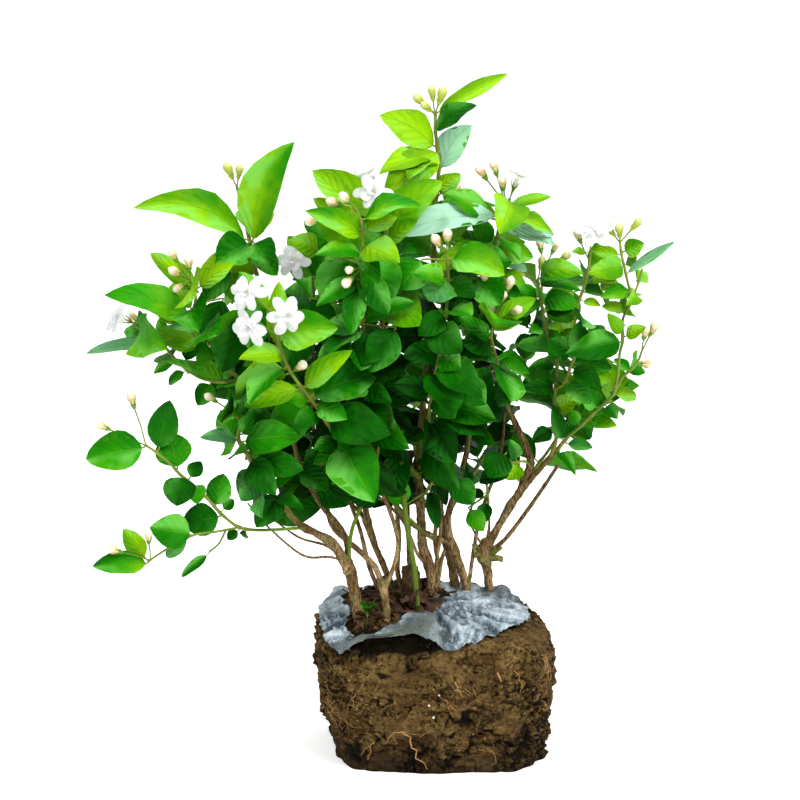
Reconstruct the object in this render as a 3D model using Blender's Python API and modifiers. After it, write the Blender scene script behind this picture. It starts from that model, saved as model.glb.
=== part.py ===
"""A jasmine plant lifted with its root ball, a torn collar of nursery film on the soil.

Every piece is a named object. Stems, leaves, buds and blooms are placed in centimetres as seen from
straight in front: how far across, how far up, and how far behind the middle of the root ball.
"""
import math
import random

import bmesh
import bpy
from mathutils import Matrix, Vector, noise
from mathutils.bvhtree import BVHTree

CM = 0.01
MM = 0.001

# Where the plant is looked at from, in centimetres
EYE_ACROSS = -2.43
EYE_UP = 67.28
EYE_FRONT = 195.63

# Root ball, in centimetres
BALL_HALF_WIDTH = 8.45
BALL_HALF_DEPTH = 7.55
BALL_HALF_HEIGHT = 5.2
BALL_MIDDLE = 5.0
BALL_SQUARENESS = 3.8
BALL_RIM_SHARPNESS = 6.0
BALL_RIGHT_RIM_SHARPNESS = 2.7
BALL_FOOT_SHARPNESS = 20.0
BALL_SEGMENTS = 40
BALL_RINGS = 20
SOIL_RELIEF = 0.3
CLOD_RELIEF = 0.42
# How wide it is, and how far its middle is shifted, as a square law of height from -1 at the foot to 1 on top
BALL_TAPER = (0.9936, 0.08, -0.039)
BALL_SHIFT = (0.28, -0.195, -0.085)

# Nursery film, in centimetres
FILM_THICKNESS = 0.08
FILM_STANDOFF = 0.2
FILM_COLUMNS = 48
FILM_ROWS = 4
FILM_CLEARANCE = 0.13
# Its outer edge, in degrees from the top of the ball, at equal steps round it from +X, and its hole, in the
# same degrees round a point to the left of the top
FILM_OUTER = (45, 44, 43, 43, 43, 43, 43, 43, 44, 44, 44, 44, 44, 45, 46, 47, 48, 48, 48, 47, 46, 46, 48, 50, 43,
              41, 41, 46, 47, 43, 40, 37.5, 37.5, 39, 41.5, 43)
FILM_HOLE = (8, 9, 13, 22, 36, 36, 33, 31, 30, 27, 24, 22, 20, 20, 22, 25, 28, 34, 22, 14, 10, 8, 7.5, 7.5)
FILM_HOLE_MIDDLE = -15
# How far it arches over the hollow at the front, in centimetres
FILM_BRIDGE = 0.65

# Gap kept between pieces that touch, and the clearance looked for round a leaf
SEAT_GAP = 0.35 * MM
CLEARANCE = 0.55 * MM

# Leaves, in centimetres
LEAF_THICKNESS = 0.09
SMALL_LEAF = 2.4
PETIOLE = 0.4
DEPTHS = (0, -0.5, 0.5, -1.0, 1.0, -1.6, 1.6, -2.3, 2.3)
SEED = 2236

# Corners closer than this after a Boolean are welded where the body stays closed
WELD = 0.000002

GREEN = (0.07, 0.30, 0.02, 1)
BARK = (0.26, 0.15, 0.07, 1)
SOIL = (0.12, 0.075, 0.035, 1)
FILM = (0.42, 0.48, 0.53, 1)
WHITE = (0.9, 0.9, 0.87, 1)

# Woody stems: each branch is a run of (across, up, behind, radius in millimetres)
WOOD = {
    "stem_left": [
        [(-5.3, 8.2, -1.6, 4.6), (-5.4, 9.5, -1.7, 4.5), (-5.7, 11.3, -1.9, 4.3), (-5.95, 12.6, -2.1, 4.4),
         (-6.3, 13.7, -2.4, 4.7)],
        [(-6.1, 13.1, -2.2, 3.8), (-7.2, 15.0, -2.9, 4.1), (-8.4, 15.8, -3.4, 3.2), (-9.5, 16.4, -3.8, 2.8),
         (-10.4, 17.3, -4.2, 2.4), (-10.9, 18.1, -4.4, 2.0)],
        [(-6.2, 13.4, -2.2, 3.2), (-6.3, 15.3, -1.7, 2.5), (-6.9, 16.5, -1.4, 2.1), (-8.0, 17.8, -1.2, 2.2),
         (-8.7, 19.0, -1.1, 2.0), (-9.4, 20.2, -1.1, 1.8)],
    ],
    "stem_front": [
        [(-3.2, 7.8, -2.6, 3.4), (-3.3, 9.2, -2.7, 3.2), (-3.5, 11.0, -2.8, 3.0), (-3.7, 12.4, -2.9, 3.0)],
        [(-3.62, 11.6, -2.84, 2.2), (-4.2, 13.3, -2.4, 2.4), (-5.1, 14.3, -1.5, 2.3), (-6.1, 15.2, -0.6, 2.2),
         (-7.2, 16.2, -0.1, 2.0), (-7.6, 17.4, 0.3, 1.9)],
        [(-3.5, 11.85, -2.9, 2.0), (-2.9, 13.3, -3.0, 1.8), (-2.6, 14.6, -2.9, 1.7), (-2.7, 16.0, -2.8, 1.6),
         (-3.3, 17.9, -2.7, 1.6), (-4.0, 19.5, -2.7, 1.5), (-4.4, 20.2, -2.8, 1.5)],
    ],
    "stump": [
        [(-1.7, 8.3, 0.6, 7.2), (-1.65, 10.2, 0.6, 7.4), (-1.6, 11.8, 0.7, 7.3), (-1.75, 13.4, 0.7, 6.4)],
    ],
    "stem_middle": [
        [(-0.1, 8.6, 1.2, 4.6), (-0.1, 10.4, 1.2, 4.4), (-0.1, 12.0, 1.2, 4.3), (-0.4, 13.6, 1.1, 4.5),
         (-0.8, 15.0, 1.0, 4.0), (-0.9, 16.5, 0.9, 3.6), (-1.0, 18.5, 0.8, 3.3), (-1.1, 20.3, 0.8, 3.1),
         (-1.1, 21.2, 0.8, 2.6)],
        [(0.1, 11.6, 1.1, 2.0), (0.4, 12.8, 0.9, 1.8), (0.55, 13.8, 0.9, 1.7), (0.8, 14.6, 1.0, 1.6)],
    ],
    "stem_dark_back": [
        [(-2.6, 9.0, 3.4, 3.0), (-2.9, 11.5, 3.2, 2.8), (-3.5, 13.2, 3.0, 2.6), (-4.1, 14.6, 2.8, 2.6),
         (-4.6, 16.3, 2.6, 2.5), (-5.0, 18.0, 2.5, 2.4), (-5.6, 20.2, 2.3, 2.1)],
    ],
    "stem_twin_back": [
        [(1.65, 9.8, 4.4, 4.0), (1.6, 11.4, 4.2, 3.8), (1.35, 13.2, 4.0, 3.4), (0.9, 14.9, 3.7, 3.0),
         (0.6, 16.4, 3.6, 2.6), (0.45, 18.3, 3.8, 2.2), (0.35, 20.0, 4.2, 2.0)],
    ],
    "stem_twin_front": [
        [(2.55, 9.6, 3.2, 4.0), (2.45, 11.4, 3.1, 3.8), (2.05, 13.0, 2.9, 3.5), (1.5, 14.5, 2.6, 3.4),
         (1.05, 16.0, 2.5, 3.0), (1.05, 17.2, 2.5, 2.7), (1.4, 18.5, 2.5, 2.5), (1.9, 20.2, 2.7, 2.2),
         (2.4, 22.0, 2.9, 2.0)],
        [(1.5, 14.5, 2.6, 2.4), (0.9, 15.15, 2.0, 2.3), (0.3, 15.5, 0.9, 2.2), (-0.3, 15.8, 0.0, 2.1),
         (-1.0, 16.15, -0.3, 2.0), (-2.0, 16.9, -0.6, 1.9), (-2.6, 17.8, -1.0, 1.9), (-3.4, 19.2, -1.5, 1.8),
         (-3.8, 20.5, -1.9, 1.7), (-4.3, 22.0, -2.3, 1.6), (-4.6, 23.3, -2.7, 1.5), (-5.0, 24.8, -3.1, 1.5)],
    ],
    "stem_right": [
        [(4.05, 10.0, 4.4, 4.2), (4.0, 12.0, 4.3, 4.0), (3.85, 13.4, 4.2, 3.8), (3.65, 14.1, 4.1, 6.4),
         (3.7, 14.8, 4.1, 5.2), (4.3, 15.7, 4.0, 3.4), (4.9, 16.8, 3.9, 3.0), (5.5, 17.9, 3.8, 3.2),
         (6.3, 19.1, 3.6, 3.2), (7.4, 20.4, 3.4, 2.6), (8.3, 21.4, 3.2, 2.2), (8.9, 22.1, 3.1, 2.0)],
        [(6.1, 18.8, 3.6, 2.6), (6.5, 20.0, 3.3, 2.6), (6.95, 21.0, 3.0, 2.8), (6.6, 22.3, 2.7, 3.0),
         (6.0, 23.6, 2.4, 2.8), (5.3, 25.1, 2.1, 2.6), (4.9, 26.4, 1.8, 2.2), (4.65, 27.3, 1.5, 1.8)],
        [(3.8, 15.0, 4.1, 1.4), (4.0, 16.4, 3.9, 1.2), (3.95, 17.9, 3.6, 1.1)],
    ],
}

# Leafy shoots. grows_on names what carries the shoot; stems are runs of (across, up, behind) with the
# radius in millimetres at both ends; a leaf is (foot, tip, width, turn, arch), its turn 0 lying flat and 90
# facing the front; buds are (joint, [tips]); fill is how many more pairs grow along the stems.
SHOOTS = {
    "top_shoot": {
        "grows_on": "stem_middle",
        "stems": [([(-1.1, 20.9, 0.8), (-1.0, 23.5, 0.9), (-0.65, 26.5, 0.8), (-0.45, 30.0, 0.6),
                    (-0.2, 33.4, 0.4), (-0.05, 36.6, 0.2), (0.05, 39.4, 0.0), (0.3, 42.3, -0.1),
                    (0.25, 43.5, -0.1), (0.05, 44.9, 0.0), (0.05, 46.2, 0.1)], 2.1, 1.0)],
        "leaves": [
            ((0.05, 43.7, -0.1), (-3.8, 46.1, -0.8), 2.6, 62, 0.06),
            ((0.1, 43.2, -0.3), (-3.9, 42.0, -2.4), 2.4, 55, 0.14),
            ((0.15, 45.0, -0.3), (2.9, 46.8, -1.0), 1.8, 45, 0.16),
            ((0.3, 46.3, 0.3), (5.07, 49.1, 1.2), 1.5, 38, 0.05),
            ((0.5, 42.4, 0.1), (2.6, 45.4, 0.9), 2.1, 75, 0.04),
            ((0.4, 40.5, 0.3), (1.8, 42.0, 0.9), 1.3, 62, 0.05),
            ((-0.2, 39.5, -0.3), (-2.6, 40.7, -1.9), 1.5, 50, 0.16),
            ((0.2, 37.2, -0.1), (2.6, 38.7, -1.2), 1.8, 65, 0.10),
            ((-0.3, 36.6, -0.1), (-3.1, 38.2, -2.3), 2.3, 60, 0.14),
        ],
        "buds": [((0.05, 46.1, 0.1), [(-1.3, 47.3, 0.1), (-0.8, 46.8, -0.5), (-0.25, 47.9, 0.4),
                                      (0.55, 47.8, 0.1)])],
        "fill": 3,
    },
    "upper_left_shoot": {
        "grows_on": "stem_left",
        "stems": [([(-9.35, 20.0, -1.1), (-10.0, 22.4, -0.9), (-10.7, 25.4, -0.6), (-11.4, 29.0, -0.3),
                    (-12.0, 32.8, -0.2), (-12.6, 35.0, -0.3), (-13.0, 37.0, -0.4), (-13.5, 39.2, -0.1),
                    (-13.9, 41.0, 0.1)], 1.9, 0.9)],
        "leaves": [
            ((-13.4, 37.3, -0.7), (-21.2, 39.6, -2.5), 2.7, 52, 0.17),
            ((-12.8, 37.3, -0.6), (-9.85, 44.2, -0.2), 3.0, 72, 0.03),
            ((-13.3, 36.8, -0.8), (-15.6, 35.0, -2.4), 1.8, 62, 0.10),
            ((-12.7, 36.7, -0.8), (-11.1, 34.7, -2.2), 1.8, 66, 0.10),
            ((-12.8, 37.8, 0.1), (-11.3, 39.2, 1.1), 1.2, 60, 0.05),
            ((-10.3, 23.0, -1.1), (-12.5, 24.5, -3.0), 2.1, 72, 0.06),
            ((-10.1, 22.7, -1.2), (-12.3, 22.1, -3.2), 0.9, 50, 0.15),
            ((-9.8, 20.8, -1.3), (-11.7, 19.0, -3.0), 0.9, 55, 0.10),
            ((-9.5, 21.0, -1.3), (-7.7, 21.9, -2.6), 1.2, 60, 0.10),
            ((-9.3, 20.4, -1.4), (-6.4, 18.4, -3.0), 1.5, 66, 0.15),
            ((-10.9, 25.4, -0.9), (-13.5, 24.0, 1.6), 1.0, 67, 0.12),
        ],
        "buds": [((-13.9, 41.0, 0.1), [(-14.6, 42.5, 0.2), (-13.7, 42.4, -0.3)])],
        "fill": 3,
    },
    "left_bud_shoot": {
        "grows_on": "upper_left_shoot",
        "stems": [([(-10.7, 25.4, -0.6), (-12.2, 26.2, -2.0), (-13.8, 27.2, -3.0), (-15.4, 28.6, -3.5),
                    (-16.6, 30.2, -3.8), (-17.2, 31.6, -4.0), (-16.9, 33.0, -4.2), (-17.3, 34.4, -4.4)],
                   1.4, 0.9)],
        "leaves": [
            ((-17.5, 31.6, -4.1), (-23.4, 33.3, -5.6), 2.4, 56, 0.12),
            ((-16.8, 33.6, -4.0), (-20.1, 36.4, -2.6), 1.6, 62, 0.08),
            ((-16.6, 33.9, -4.3), (-14.2, 35.6, -4.6), 1.4, 60, 0.10),
            ((-16.9, 30.6, -3.9), (-18.8, 31.0, -5.0), 0.9, 50, 0.20),
        ],
        "buds": [((-17.3, 34.3, -4.4), [(-18.6, 36.4, -4.5), (-17.4, 35.9, -4.2), (-18.6, 35.1, -4.9),
                                        (-18.3, 33.7, -4.6)])],
        "fill": 1,
    },
    "left_low_shoot": {
        "grows_on": "left_bud_shoot",
        "stems": [([(-13.8, 27.2, -3.0), (-15.4, 27.0, -2.2), (-17.0, 27.5, -1.8), (-18.2, 28.4, -1.8),
                    (-19.2, 29.6, -2.0), (-20.3, 30.5, -2.1), (-21.2, 31.0, -2.2)], 1.1, 0.8)],
        "leaves": [
            ((-19.6, 29.8, -2.2), (-24.8, 29.1, -3.4), 1.2, 45, 0.05),
            ((-18.9, 29.4, -1.8), (-19.5, 31.7, -1.2), 1.0, 70, 0.10),
            ((-18.4, 28.5, -2.0), (-20.0, 27.6, -2.8), 0.9, 50, 0.10),
            ((-17.6, 27.9, -1.7), (-19.0, 26.8, -1.2), 0.9, 50, 0.10),
            ((-15.8, 27.2, -2.3), (-16.9, 25.3, -3.2), 1.5, 65, 0.05),
            ((-16.3, 27.5, -1.9), (-15.2, 29.6, -2.3), 1.0, 65, 0.10),
        ],
        "buds": [((-20.3, 30.5, -2.1), [(-21.5, 31.9, -1.5)])],
        "blooms": [((-21.2, 31.0, -2.2), (-22.5, 31.8, -2.7), (-0.8, 0.45, -0.4))],
        "fill": 0,
    },
    "left_dark_shoot": {
        "grows_on": "stem_left",
        "stems": [([(-10.85, 18.0, -4.4), (-11.7, 18.8, -4.8), (-12.6, 20.3, -5.2), (-13.3, 21.6, -5.5),
                    (-14.0, 22.8, -5.7), (-13.9, 24.3, -5.8), (-14.8, 25.1, -5.9)], 1.9, 1.0)],
        "leaves": [
            ((-14.2, 23.0, -5.5), (-15.3, 25.0, -4.4), 1.8, 72, 0.08),
            ((-14.2, 22.8, -6.0), (-16.7, 23.0, -6.9), 1.2, 55, 0.10),
            ((-13.7, 23.2, -5.9), (-12.8, 25.0, -6.7), 1.2, 65, 0.10),
            ((-12.3, 19.9, -5.4), (-13.9, 18.3, -6.0), 1.6, 70, 0.12),
            ((-12.5, 20.6, -5.0), (-10.9, 21.9, -5.3), 0.9, 55, 0.12),
            ((-11.1, 18.6, -4.9), (-12.8, 16.3, -6.2), 1.9, 70, 0.08),
            ((-11.4, 18.4, -5.0), (-9.4, 17.7, -6.0), 1.4, 65, 0.10),
            ((-13.9, 24.3, -6.0), (-12.4, 26.6, -7.0), 1.3, 65, 0.10),
        ],
        "buds": [((-14.8, 25.1, -5.9), [(-16.2, 26.0, -6.2)])],
        "fill": 0,
    },
    "lower_left_spray": {
        "grows_on": "stem_left",
        "stems": [([(-9.3, 16.3, -3.8), (-10.4, 16.2, -4.8), (-12.6, 16.1, -5.4), (-14.0, 16.3, -5.7),
                    (-15.2, 17.2, -5.9), (-16.0, 18.1, -6.0), (-17.0, 19.2, -6.1), (-18.2, 20.2, -6.2),
                    (-19.0, 21.1, -6.3), (-20.1, 22.0, -6.4), (-20.7, 22.4, -6.4)], 1.2, 0.8)],
        "leaves": [
            ((-20.9, 22.2, -6.6), (-25.0, 21.4, -7.2), 2.9, 66, 0.06),
            ((-19.7, 22.2, -6.1), (-18.9, 25.7, -5.4), 2.2, 74, 0.04),
            ((-18.4, 20.8, -6.0), (-18.9, 23.3, -5.0), 2.7, 76, 0.05),
            ((-18.1, 20.0, -6.5), (-18.5, 17.9, -7.4), 2.4, 74, 0.06),
            ((-17.6, 19.9, -6.0), (-16.7, 21.2, -5.3), 1.2, 65, 0.05),
            ((-15.7, 18.0, -5.7), (-15.1, 20.3, -5.0), 1.8, 76, 0.06),
            ((-16.3, 18.3, -6.2), (-17.7, 19.2, -6.8), 1.5, 68, 0.06),
            ((-15.3, 17.0, -5.9), (-18.2, 16.6, -5.6), 2.4, 74, 0.05),
            ((-15.3, 17.5, -5.8), (-14.4, 18.4, -5.4), 0.9, 66, 0.05),
            ((-13.9, 16.1, -5.8), (-14.9, 15.4, -6.6), 0.9, 60, 0.05),
            ((-13.5, 16.3, -5.6), (-13.7, 15.5, -4.6), 0.7, 60, 0.05),
        ],
        "buds": [((-20.6, 22.4, -6.4), [(-21.7, 26.1, -6.2), (-24.0, 23.9, -7.2)])],
        "fill": 0,
    },
    "bottom_left_spray": {
        "grows_on": "lower_left_spray",
        "stems": [([(-14.1, 16.3, -5.7), (-15.6, 16.0, -7.2), (-17.4, 15.7, -7.9), (-19.1, 14.8, -8.2),
                    (-20.6, 13.8, -8.3)], 0.9, 0.8),
                  ([(-15.0, 16.1, -6.6), (-15.5, 15.1, -6.7), (-16.2, 14.5, -6.7)], 0.8, 0.7)],
        "leaves": [
            ((-17.6, 15.8, -8.1), (-20.5, 16.3, -8.8), 2.6, 72, 0.06),
            ((-17.5, 15.4, -7.9), (-19.4, 14.1, -7.0), 1.2, 62, 0.08),
            ((-18.9, 15.3, -8.0), (-18.0, 16.8, -7.4), 1.2, 68, 0.05),
            ((-20.8, 13.6, -8.4), (-24.7, 13.4, -9.0), 1.8, 58, 0.12),
            ((-20.9, 14.1, -8.2), (-22.4, 16.2, -7.8), 1.5, 72, 0.06),
            ((-16.4, 14.2, -6.7), (-18.3, 12.6, -7.0), 0.8, 55, 0.05),
        ],
        "buds": [((-20.5, 13.9, -8.2), [(-23.4, 14.7, -9.4), (-20.6, 15.9, -9.0)])],
        "fill": 0,
    },
    "front_left_shoot": {
        "grows_on": "stem_front",
        "stems": [([(-4.35, 20.1, -2.8), (-5.2, 21.2, -3.6), (-5.95, 22.05, -4.3), (-6.9, 22.95, -5.0),
                    (-7.5, 23.8, -5.5), (-8.3, 25.1, -6.1), (-9.3, 26.4, -6.7), (-10.0, 27.4, -7.1),
                    (-10.6, 28.5, -7.5), (-11.2, 30.4, -7.6), (-11.7, 32.2, -7.6)], 1.6, 1.0)],
        "leaves": [
            ((-10.8, 28.9, -7.9), (-13.9, 28.7, -9.6), 1.7, 56, 0.14),
            ((-11.1, 29.8, -7.3), (-11.0, 34.3, -6.6), 1.7, 78, 0.04),
            ((-9.2, 26.7, -7.0), (-6.0, 29.3, -8.6), 1.7, 62, 0.08),
            ((-9.6, 26.4, -7.0), (-13.6, 25.2, -9.0), 1.9, 60, 0.14),
            ((-8.4, 24.7, -6.3), (-10.0, 23.8, -7.8), 1.6, 66, 0.08),
            ((-8.0, 25.2, -5.8), (-6.9, 26.7, -5.2), 1.2, 62, 0.08),
            ((-5.8, 21.5, -4.3), (-7.3, 19.5, -5.8), 1.5, 68, 0.06),
            ((-5.5, 21.9, -4.2), (-4.4, 23.1, -4.8), 1.1, 64, 0.06),
            ((-6.9, 23.2, -4.8), (-6.4, 25.0, -4.6), 1.3, 70, 0.08),
            ((-7.2, 22.9, -5.4), (-8.6, 22.0, -6.6), 1.1, 64, 0.10),
            ((-11.9, 32.3, -7.4), (-13.8, 35.0, -6.8), 1.5, 64, 0.10),
        ],
        "blooms": [((-11.7, 32.2, -7.6), (-10.5, 31.8, -9.4), (0.35, 0.1, -0.93)),
                   ((-11.7, 32.2, -7.6), (-13.2, 33.5, -9.0), (-0.4, 0.35, -0.85)),
                   ((-11.2, 30.4, -7.6), (-13.1, 31.0, -9.3), (-0.45, -0.05, -0.9))],
        "buds": [((-10.2, 27.7, -7.2), [(-9.3, 28.3, -8.1)])],
        "fill": 0,
    },
    "centre_shoot": {
        "grows_on": "stem_twin_front",
        "stems": [([(-4.97, 24.6, -3.1), (-5.2, 26.4, -3.7), (-5.15, 28.8, -4.4), (-5.05, 31.4, -5.0),
                    (-5.1, 34.0, -5.4), (-5.1, 36.3, -5.7), (-5.1, 38.2, -5.9), (-5.5, 39.4, -6.0)],
                   1.5, 0.9)],
        "leaves": [
            ((-5.6, 39.5, -5.9), (-8.6, 42.2, -4.6), 1.8, 66, 0.05),
            ((-5.3, 37.5, -6.1), (-9.0, 39.4, -7.6), 1.9, 56, 0.14),
            ((-5.3, 36.3, -6.1), (-8.4, 36.2, -8.2), 1.5, 52, 0.16),
            ((-4.9, 36.3, -6.0), (-4.0, 34.1, -8.3), 1.4, 76, 0.10),
            ((-4.9, 34.6, -5.8), (-3.3, 31.9, -7.4), 2.1, 76, 0.06),
            ((-5.3, 34.5, -5.6), (-8.4, 32.5, -6.9), 1.5, 62, 0.16),
            ((-5.5, 33.9, -6.1), (-5.9, 30.5, -8.3), 1.8, 80, 0.06),
            ((-4.9, 31.5, -5.4), (-1.4, 32.8, -6.8), 1.7, 50, 0.16),
            ((-4.8, 29.6, -5.0), (-5.2, 27.9, -7.4), 2.3, 78, 0.06),
            ((-5.3, 31.2, -5.2), (-8.0, 30.8, -6.4), 1.7, 66, 0.10),
            ((-5.4, 28.8, -4.4), (-8.1, 29.6, -3.6), 1.8, 62, 0.12),
            ((-5.3, 26.5, -3.9), (-7.4, 25.0, -5.0), 1.8, 66, 0.08),
            ((-5.0, 26.6, -3.8), (-3.0, 25.4, -5.2), 1.6, 66, 0.08),
            ((-5.3, 38.2, -5.7), (-7.2, 40.4, -5.0), 1.3, 64, 0.05),
            ((-4.8, 38.0, -5.7), (-2.6, 38.9, -4.9), 1.5, 60, 0.08),
        ],
        "buds": [((-5.5, 39.3, -6.0), [(-7.4, 40.0, -6.6), (-6.5, 40.4, -6.9), (-8.9, 38.5, -6.4)]),
                 ((-5.1, 35.2, -5.6), [(-6.1, 35.1, -7.4), (-6.3, 34.1, -7.6)])],
        "fill": 0,
    },
    "centre_left_shoot": {
        "grows_on": "stem_middle",
        "stems": [([(-1.05, 20.0, 0.6), (-1.7, 20.7, -0.3), (-2.5, 21.8, -1.0), (-3.4, 23.3, -1.6),
                    (-4.0, 24.9, -2.0), (-4.1, 26.3, -2.3), (-3.9, 28.3, -2.6), (-3.65, 31.0, -3.0),
                    (-3.35, 34.0, -3.2), (-3.35, 37.3, -3.4), (-3.7, 39.2, -3.8)], 1.8, 1.0)],
        "leaves": [
            ((-3.9, 25.0, -2.3), (-1.5, 23.4, -3.2), 1.4, 60, 0.12),
            ((-2.7, 22.0, -1.3), (-2.6, 18.6, -3.4), 2.0, 74, 0.08),
            ((-3.1, 34.5, -3.5), (-1.8, 36.0, -5.4), 1.5, 60, 0.14),
            ((-3.2, 37.2, -3.6), (-1.2, 38.6, -5.0), 1.6, 60, 0.10),
            ((-3.5, 37.4, -3.2), (-5.6, 39.2, -2.4), 1.6, 60, 0.06),
            ((-3.4, 30.9, -3.2), (-1.0, 29.0, -4.4), 1.9, 66, 0.10),
            ((-3.7, 28.2, -2.8), (-1.9, 26.6, -4.0), 1.8, 66, 0.10),
            ((-4.1, 28.3, -2.4), (-6.4, 27.9, -2.0), 1.7, 62, 0.10),
            ((-3.8, 31.2, -2.8), (-6.3, 32.4, -1.9), 1.8, 62, 0.10),
            ((-3.3, 23.0, -1.8), (-2.2, 24.6, -2.6), 1.3, 66, 0.08),
        ],
        "blooms": [((-3.7, 39.2, -3.8), (-4.3, 40.7, -5.0), (-0.1, 0.45, -0.88)),
                   ((-3.7, 39.2, -3.8), (-5.2, 41.6, -2.2), (-0.35, 0.75, 0.35))],
        "fill": 1,
    },
    "front_middle_shoot": {
        "grows_on": "stem_middle",
        "stems": [([(-1.05, 20.6, 0.7), (-0.8, 21.6, -0.8), (-0.5, 23.8, -2.4), (-0.1, 26.4, -3.6),
                    (0.4, 29.2, -4.4), (0.8, 31.8, -4.9), (1.0, 34.2, -5.0), (0.9, 36.2, -4.9)], 1.6, 0.9)],
        "leaves": [
            ((1.0, 34.4, -5.2), (-1.6, 34.8, -7.0), 1.7, 60, 0.14),
            ((1.2, 34.4, -4.9), (2.9, 33.2, -6.4), 1.6, 66, 0.10),
            ((0.7, 31.8, -5.2), (-1.1, 30.4, -6.6), 1.8, 70, 0.08),
            ((1.0, 31.9, -4.9), (3.1, 32.2, -5.9), 1.9, 66, 0.10),
            ((0.2, 29.1, -4.7), (-2.2, 28.9, -6.0), 1.9, 66, 0.10),
            ((0.6, 29.1, -4.4), (1.9, 28.0, -6.0), 2.0, 74, 0.06),
            ((-0.3, 26.4, -3.8), (-2.8, 26.9, -5.3), 1.8, 66, 0.10),
            ((0.1, 26.3, -3.6), (1.5, 24.4, -4.8), 1.9, 72, 0.08),
            ((-0.7, 23.7, -2.5), (-2.3, 22.5, -3.6), 1.6, 68, 0.10),
            ((-0.3, 23.8, -2.4), (0.6, 21.9, -3.4), 1.4, 70, 0.08),
            ((-0.9, 21.7, -1.0), (-0.4, 20.4, -2.6), 1.2, 70, 0.08),
        ],
        "buds": [((0.9, 36.2, -4.9), [(0.9, 37.8, -5.6), (0.0, 37.4, -5.4)])],
        "fill": 0,
    },
    "right_centre_shoot": {
        "grows_on": "stem_right",
        "stems": [([(4.68, 27.1, 1.6), (4.2, 28.6, 1.0), (3.8, 30.0, 0.5), (3.6, 32.0, 0.0),
                    (3.85, 34.2, -0.6), (4.2, 36.4, -1.2), (4.6, 38.2, -1.4), (5.0, 39.4, -1.5),
                    (5.3, 40.2, -1.5)], 1.7, 0.9)],
        "leaves": [
            ((4.2, 39.0, -1.8), (-3.3, 37.5, -4.2), 2.4, 48, 0.10),
            ((4.0, 36.5, -1.5), (-0.3, 35.1, -3.8), 2.1, 60, 0.12),
            ((4.5, 36.5, -1.4), (7.0, 36.0, -3.0), 1.9, 66, 0.08),
            ((4.5, 36.1, -1.0), (6.6, 35.0, -0.2), 1.1, 60, 0.05),
            ((4.1, 36.9, -1.3), (2.4, 39.1, -1.9), 1.4, 70, 0.05),
            ((4.4, 38.9, -1.2), (0.9, 40.3, -0.3), 1.4, 55, 0.10),
            ((5.2, 39.4, -1.6), (8.2, 40.35, -1.6), 1.1, 45, 0.05),
            ((4.9, 38.3, -1.2), (8.5, 37.6, 0.8), 1.3, 60, 0.05),
            ((3.7, 33.9, -0.8), (1.4, 33.4, -2.2), 1.9, 66, 0.10),
            ((4.1, 34.1, -0.7), (6.2, 33.2, -2.0), 1.6, 66, 0.10),
            ((3.6, 31.8, -0.3), (2.4, 29.9, -1.8), 1.8, 72, 0.06),
            ((3.8, 32.1, 0.0), (5.6, 33.0, 1.0), 1.5, 62, 0.08),
        ],
        "buds": [((5.1, 39.6, -1.5), [(3.1, 42.3, -1.0), (4.1, 42.7, -1.7), (4.7, 41.6, -2.3)])],
        "blooms": [((5.3, 40.2, -1.5), (5.9, 41.9, -1.8), (0.3, 0.9, -0.2))],
        "fill": 1,
    },
    "front_bud_shoot": {
        "grows_on": "stem_right",
        "stems": [([(4.95, 26.2, 1.85), (4.75, 27.2, 0.2), (4.35, 28.9, -1.8), (4.05, 30.4, -3.4),
                    (4.3, 31.4, -4.2)], 1.2, 0.9)],
        "leaves": [
            ((3.9, 30.2, -3.5), (1.8, 31.7, -5.4), 1.3, 62, 0.06),
            ((4.4, 30.8, -3.8), (6.1, 31.3, -4.6), 0.9, 55, 0.08),
            ((4.6, 28.6, -1.7), (6.8, 27.6, -2.9), 1.0, 55, 0.12),
            ((4.3, 28.7, -1.9), (2.7, 28.1, -3.4), 1.0, 60, 0.08),
            ((4.5, 31.5, -4.1), (7.2, 33.1, -3.4), 1.5, 62, 0.08),
        ],
        "buds": [((4.3, 31.3, -4.2), [(4.9, 33.4, -4.8), (3.9, 32.6, -5.0), (6.0, 32.3, -4.9),
                                      (4.2, 35.1, -4.2), (3.5, 34.9, -4.6), (5.4, 34.4, -4.4)])],
        "fill": 0,
    },
    "right_flower_shoot": {
        "grows_on": "stem_right",
        "stems": [([(8.3, 21.4, 3.2), (8.75, 22.8, 2.6), (8.6, 24.6, 2.2), (8.65, 26.3, 2.0),
                    (8.75, 28.4, 1.7), (8.3, 29.5, 1.5), (7.9, 31.0, 1.3), (7.55, 33.0, 1.0),
                    (7.3, 34.4, 0.8)], 1.5, 0.9)],
        "leaves": [
            ((8.5, 26.5, 1.2), (6.1, 26.6, -2.1), 1.5, 58, 0.12),
            ((8.5, 28.2, 1.5), (6.9, 28.2, 0.3), 1.0, 58, 0.10),
            ((8.9, 28.7, 1.5), (8.5, 30.9, 0.2), 1.7, 72, 0.06),
            ((7.5, 34.1, 0.6), (10.4, 33.7, -0.6), 1.0, 48, 0.12),
            ((7.7, 33.0, 0.8), (10.2, 32.5, -0.8), 1.7, 64, 0.10),
            ((7.5, 34.5, 0.5), (10.5, 34.9, -1.6), 1.9, 58, 0.26),
            ((8.8, 24.9, 2.0), (10.3, 25.8, 0.8), 1.6, 68, 0.06),
            ((7.8, 30.9, 1.1), (6.7, 30.6, 0.0), 0.9, 60, 0.06),
            ((8.1, 31.2, 1.1), (9.2, 30.7, -0.2), 0.8, 60, 0.06),
            ((7.3, 33.1, 0.9), (4.9, 33.6, -0.8), 1.6, 58, 0.06),
            ((7.5, 32.4, 0.9), (5.4, 32.4, -0.2), 1.0, 62, 0.06),
            ((8.6, 23.6, 2.3), (7.0, 22.6, 1.4), 1.3, 64, 0.10),
        ],
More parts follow.
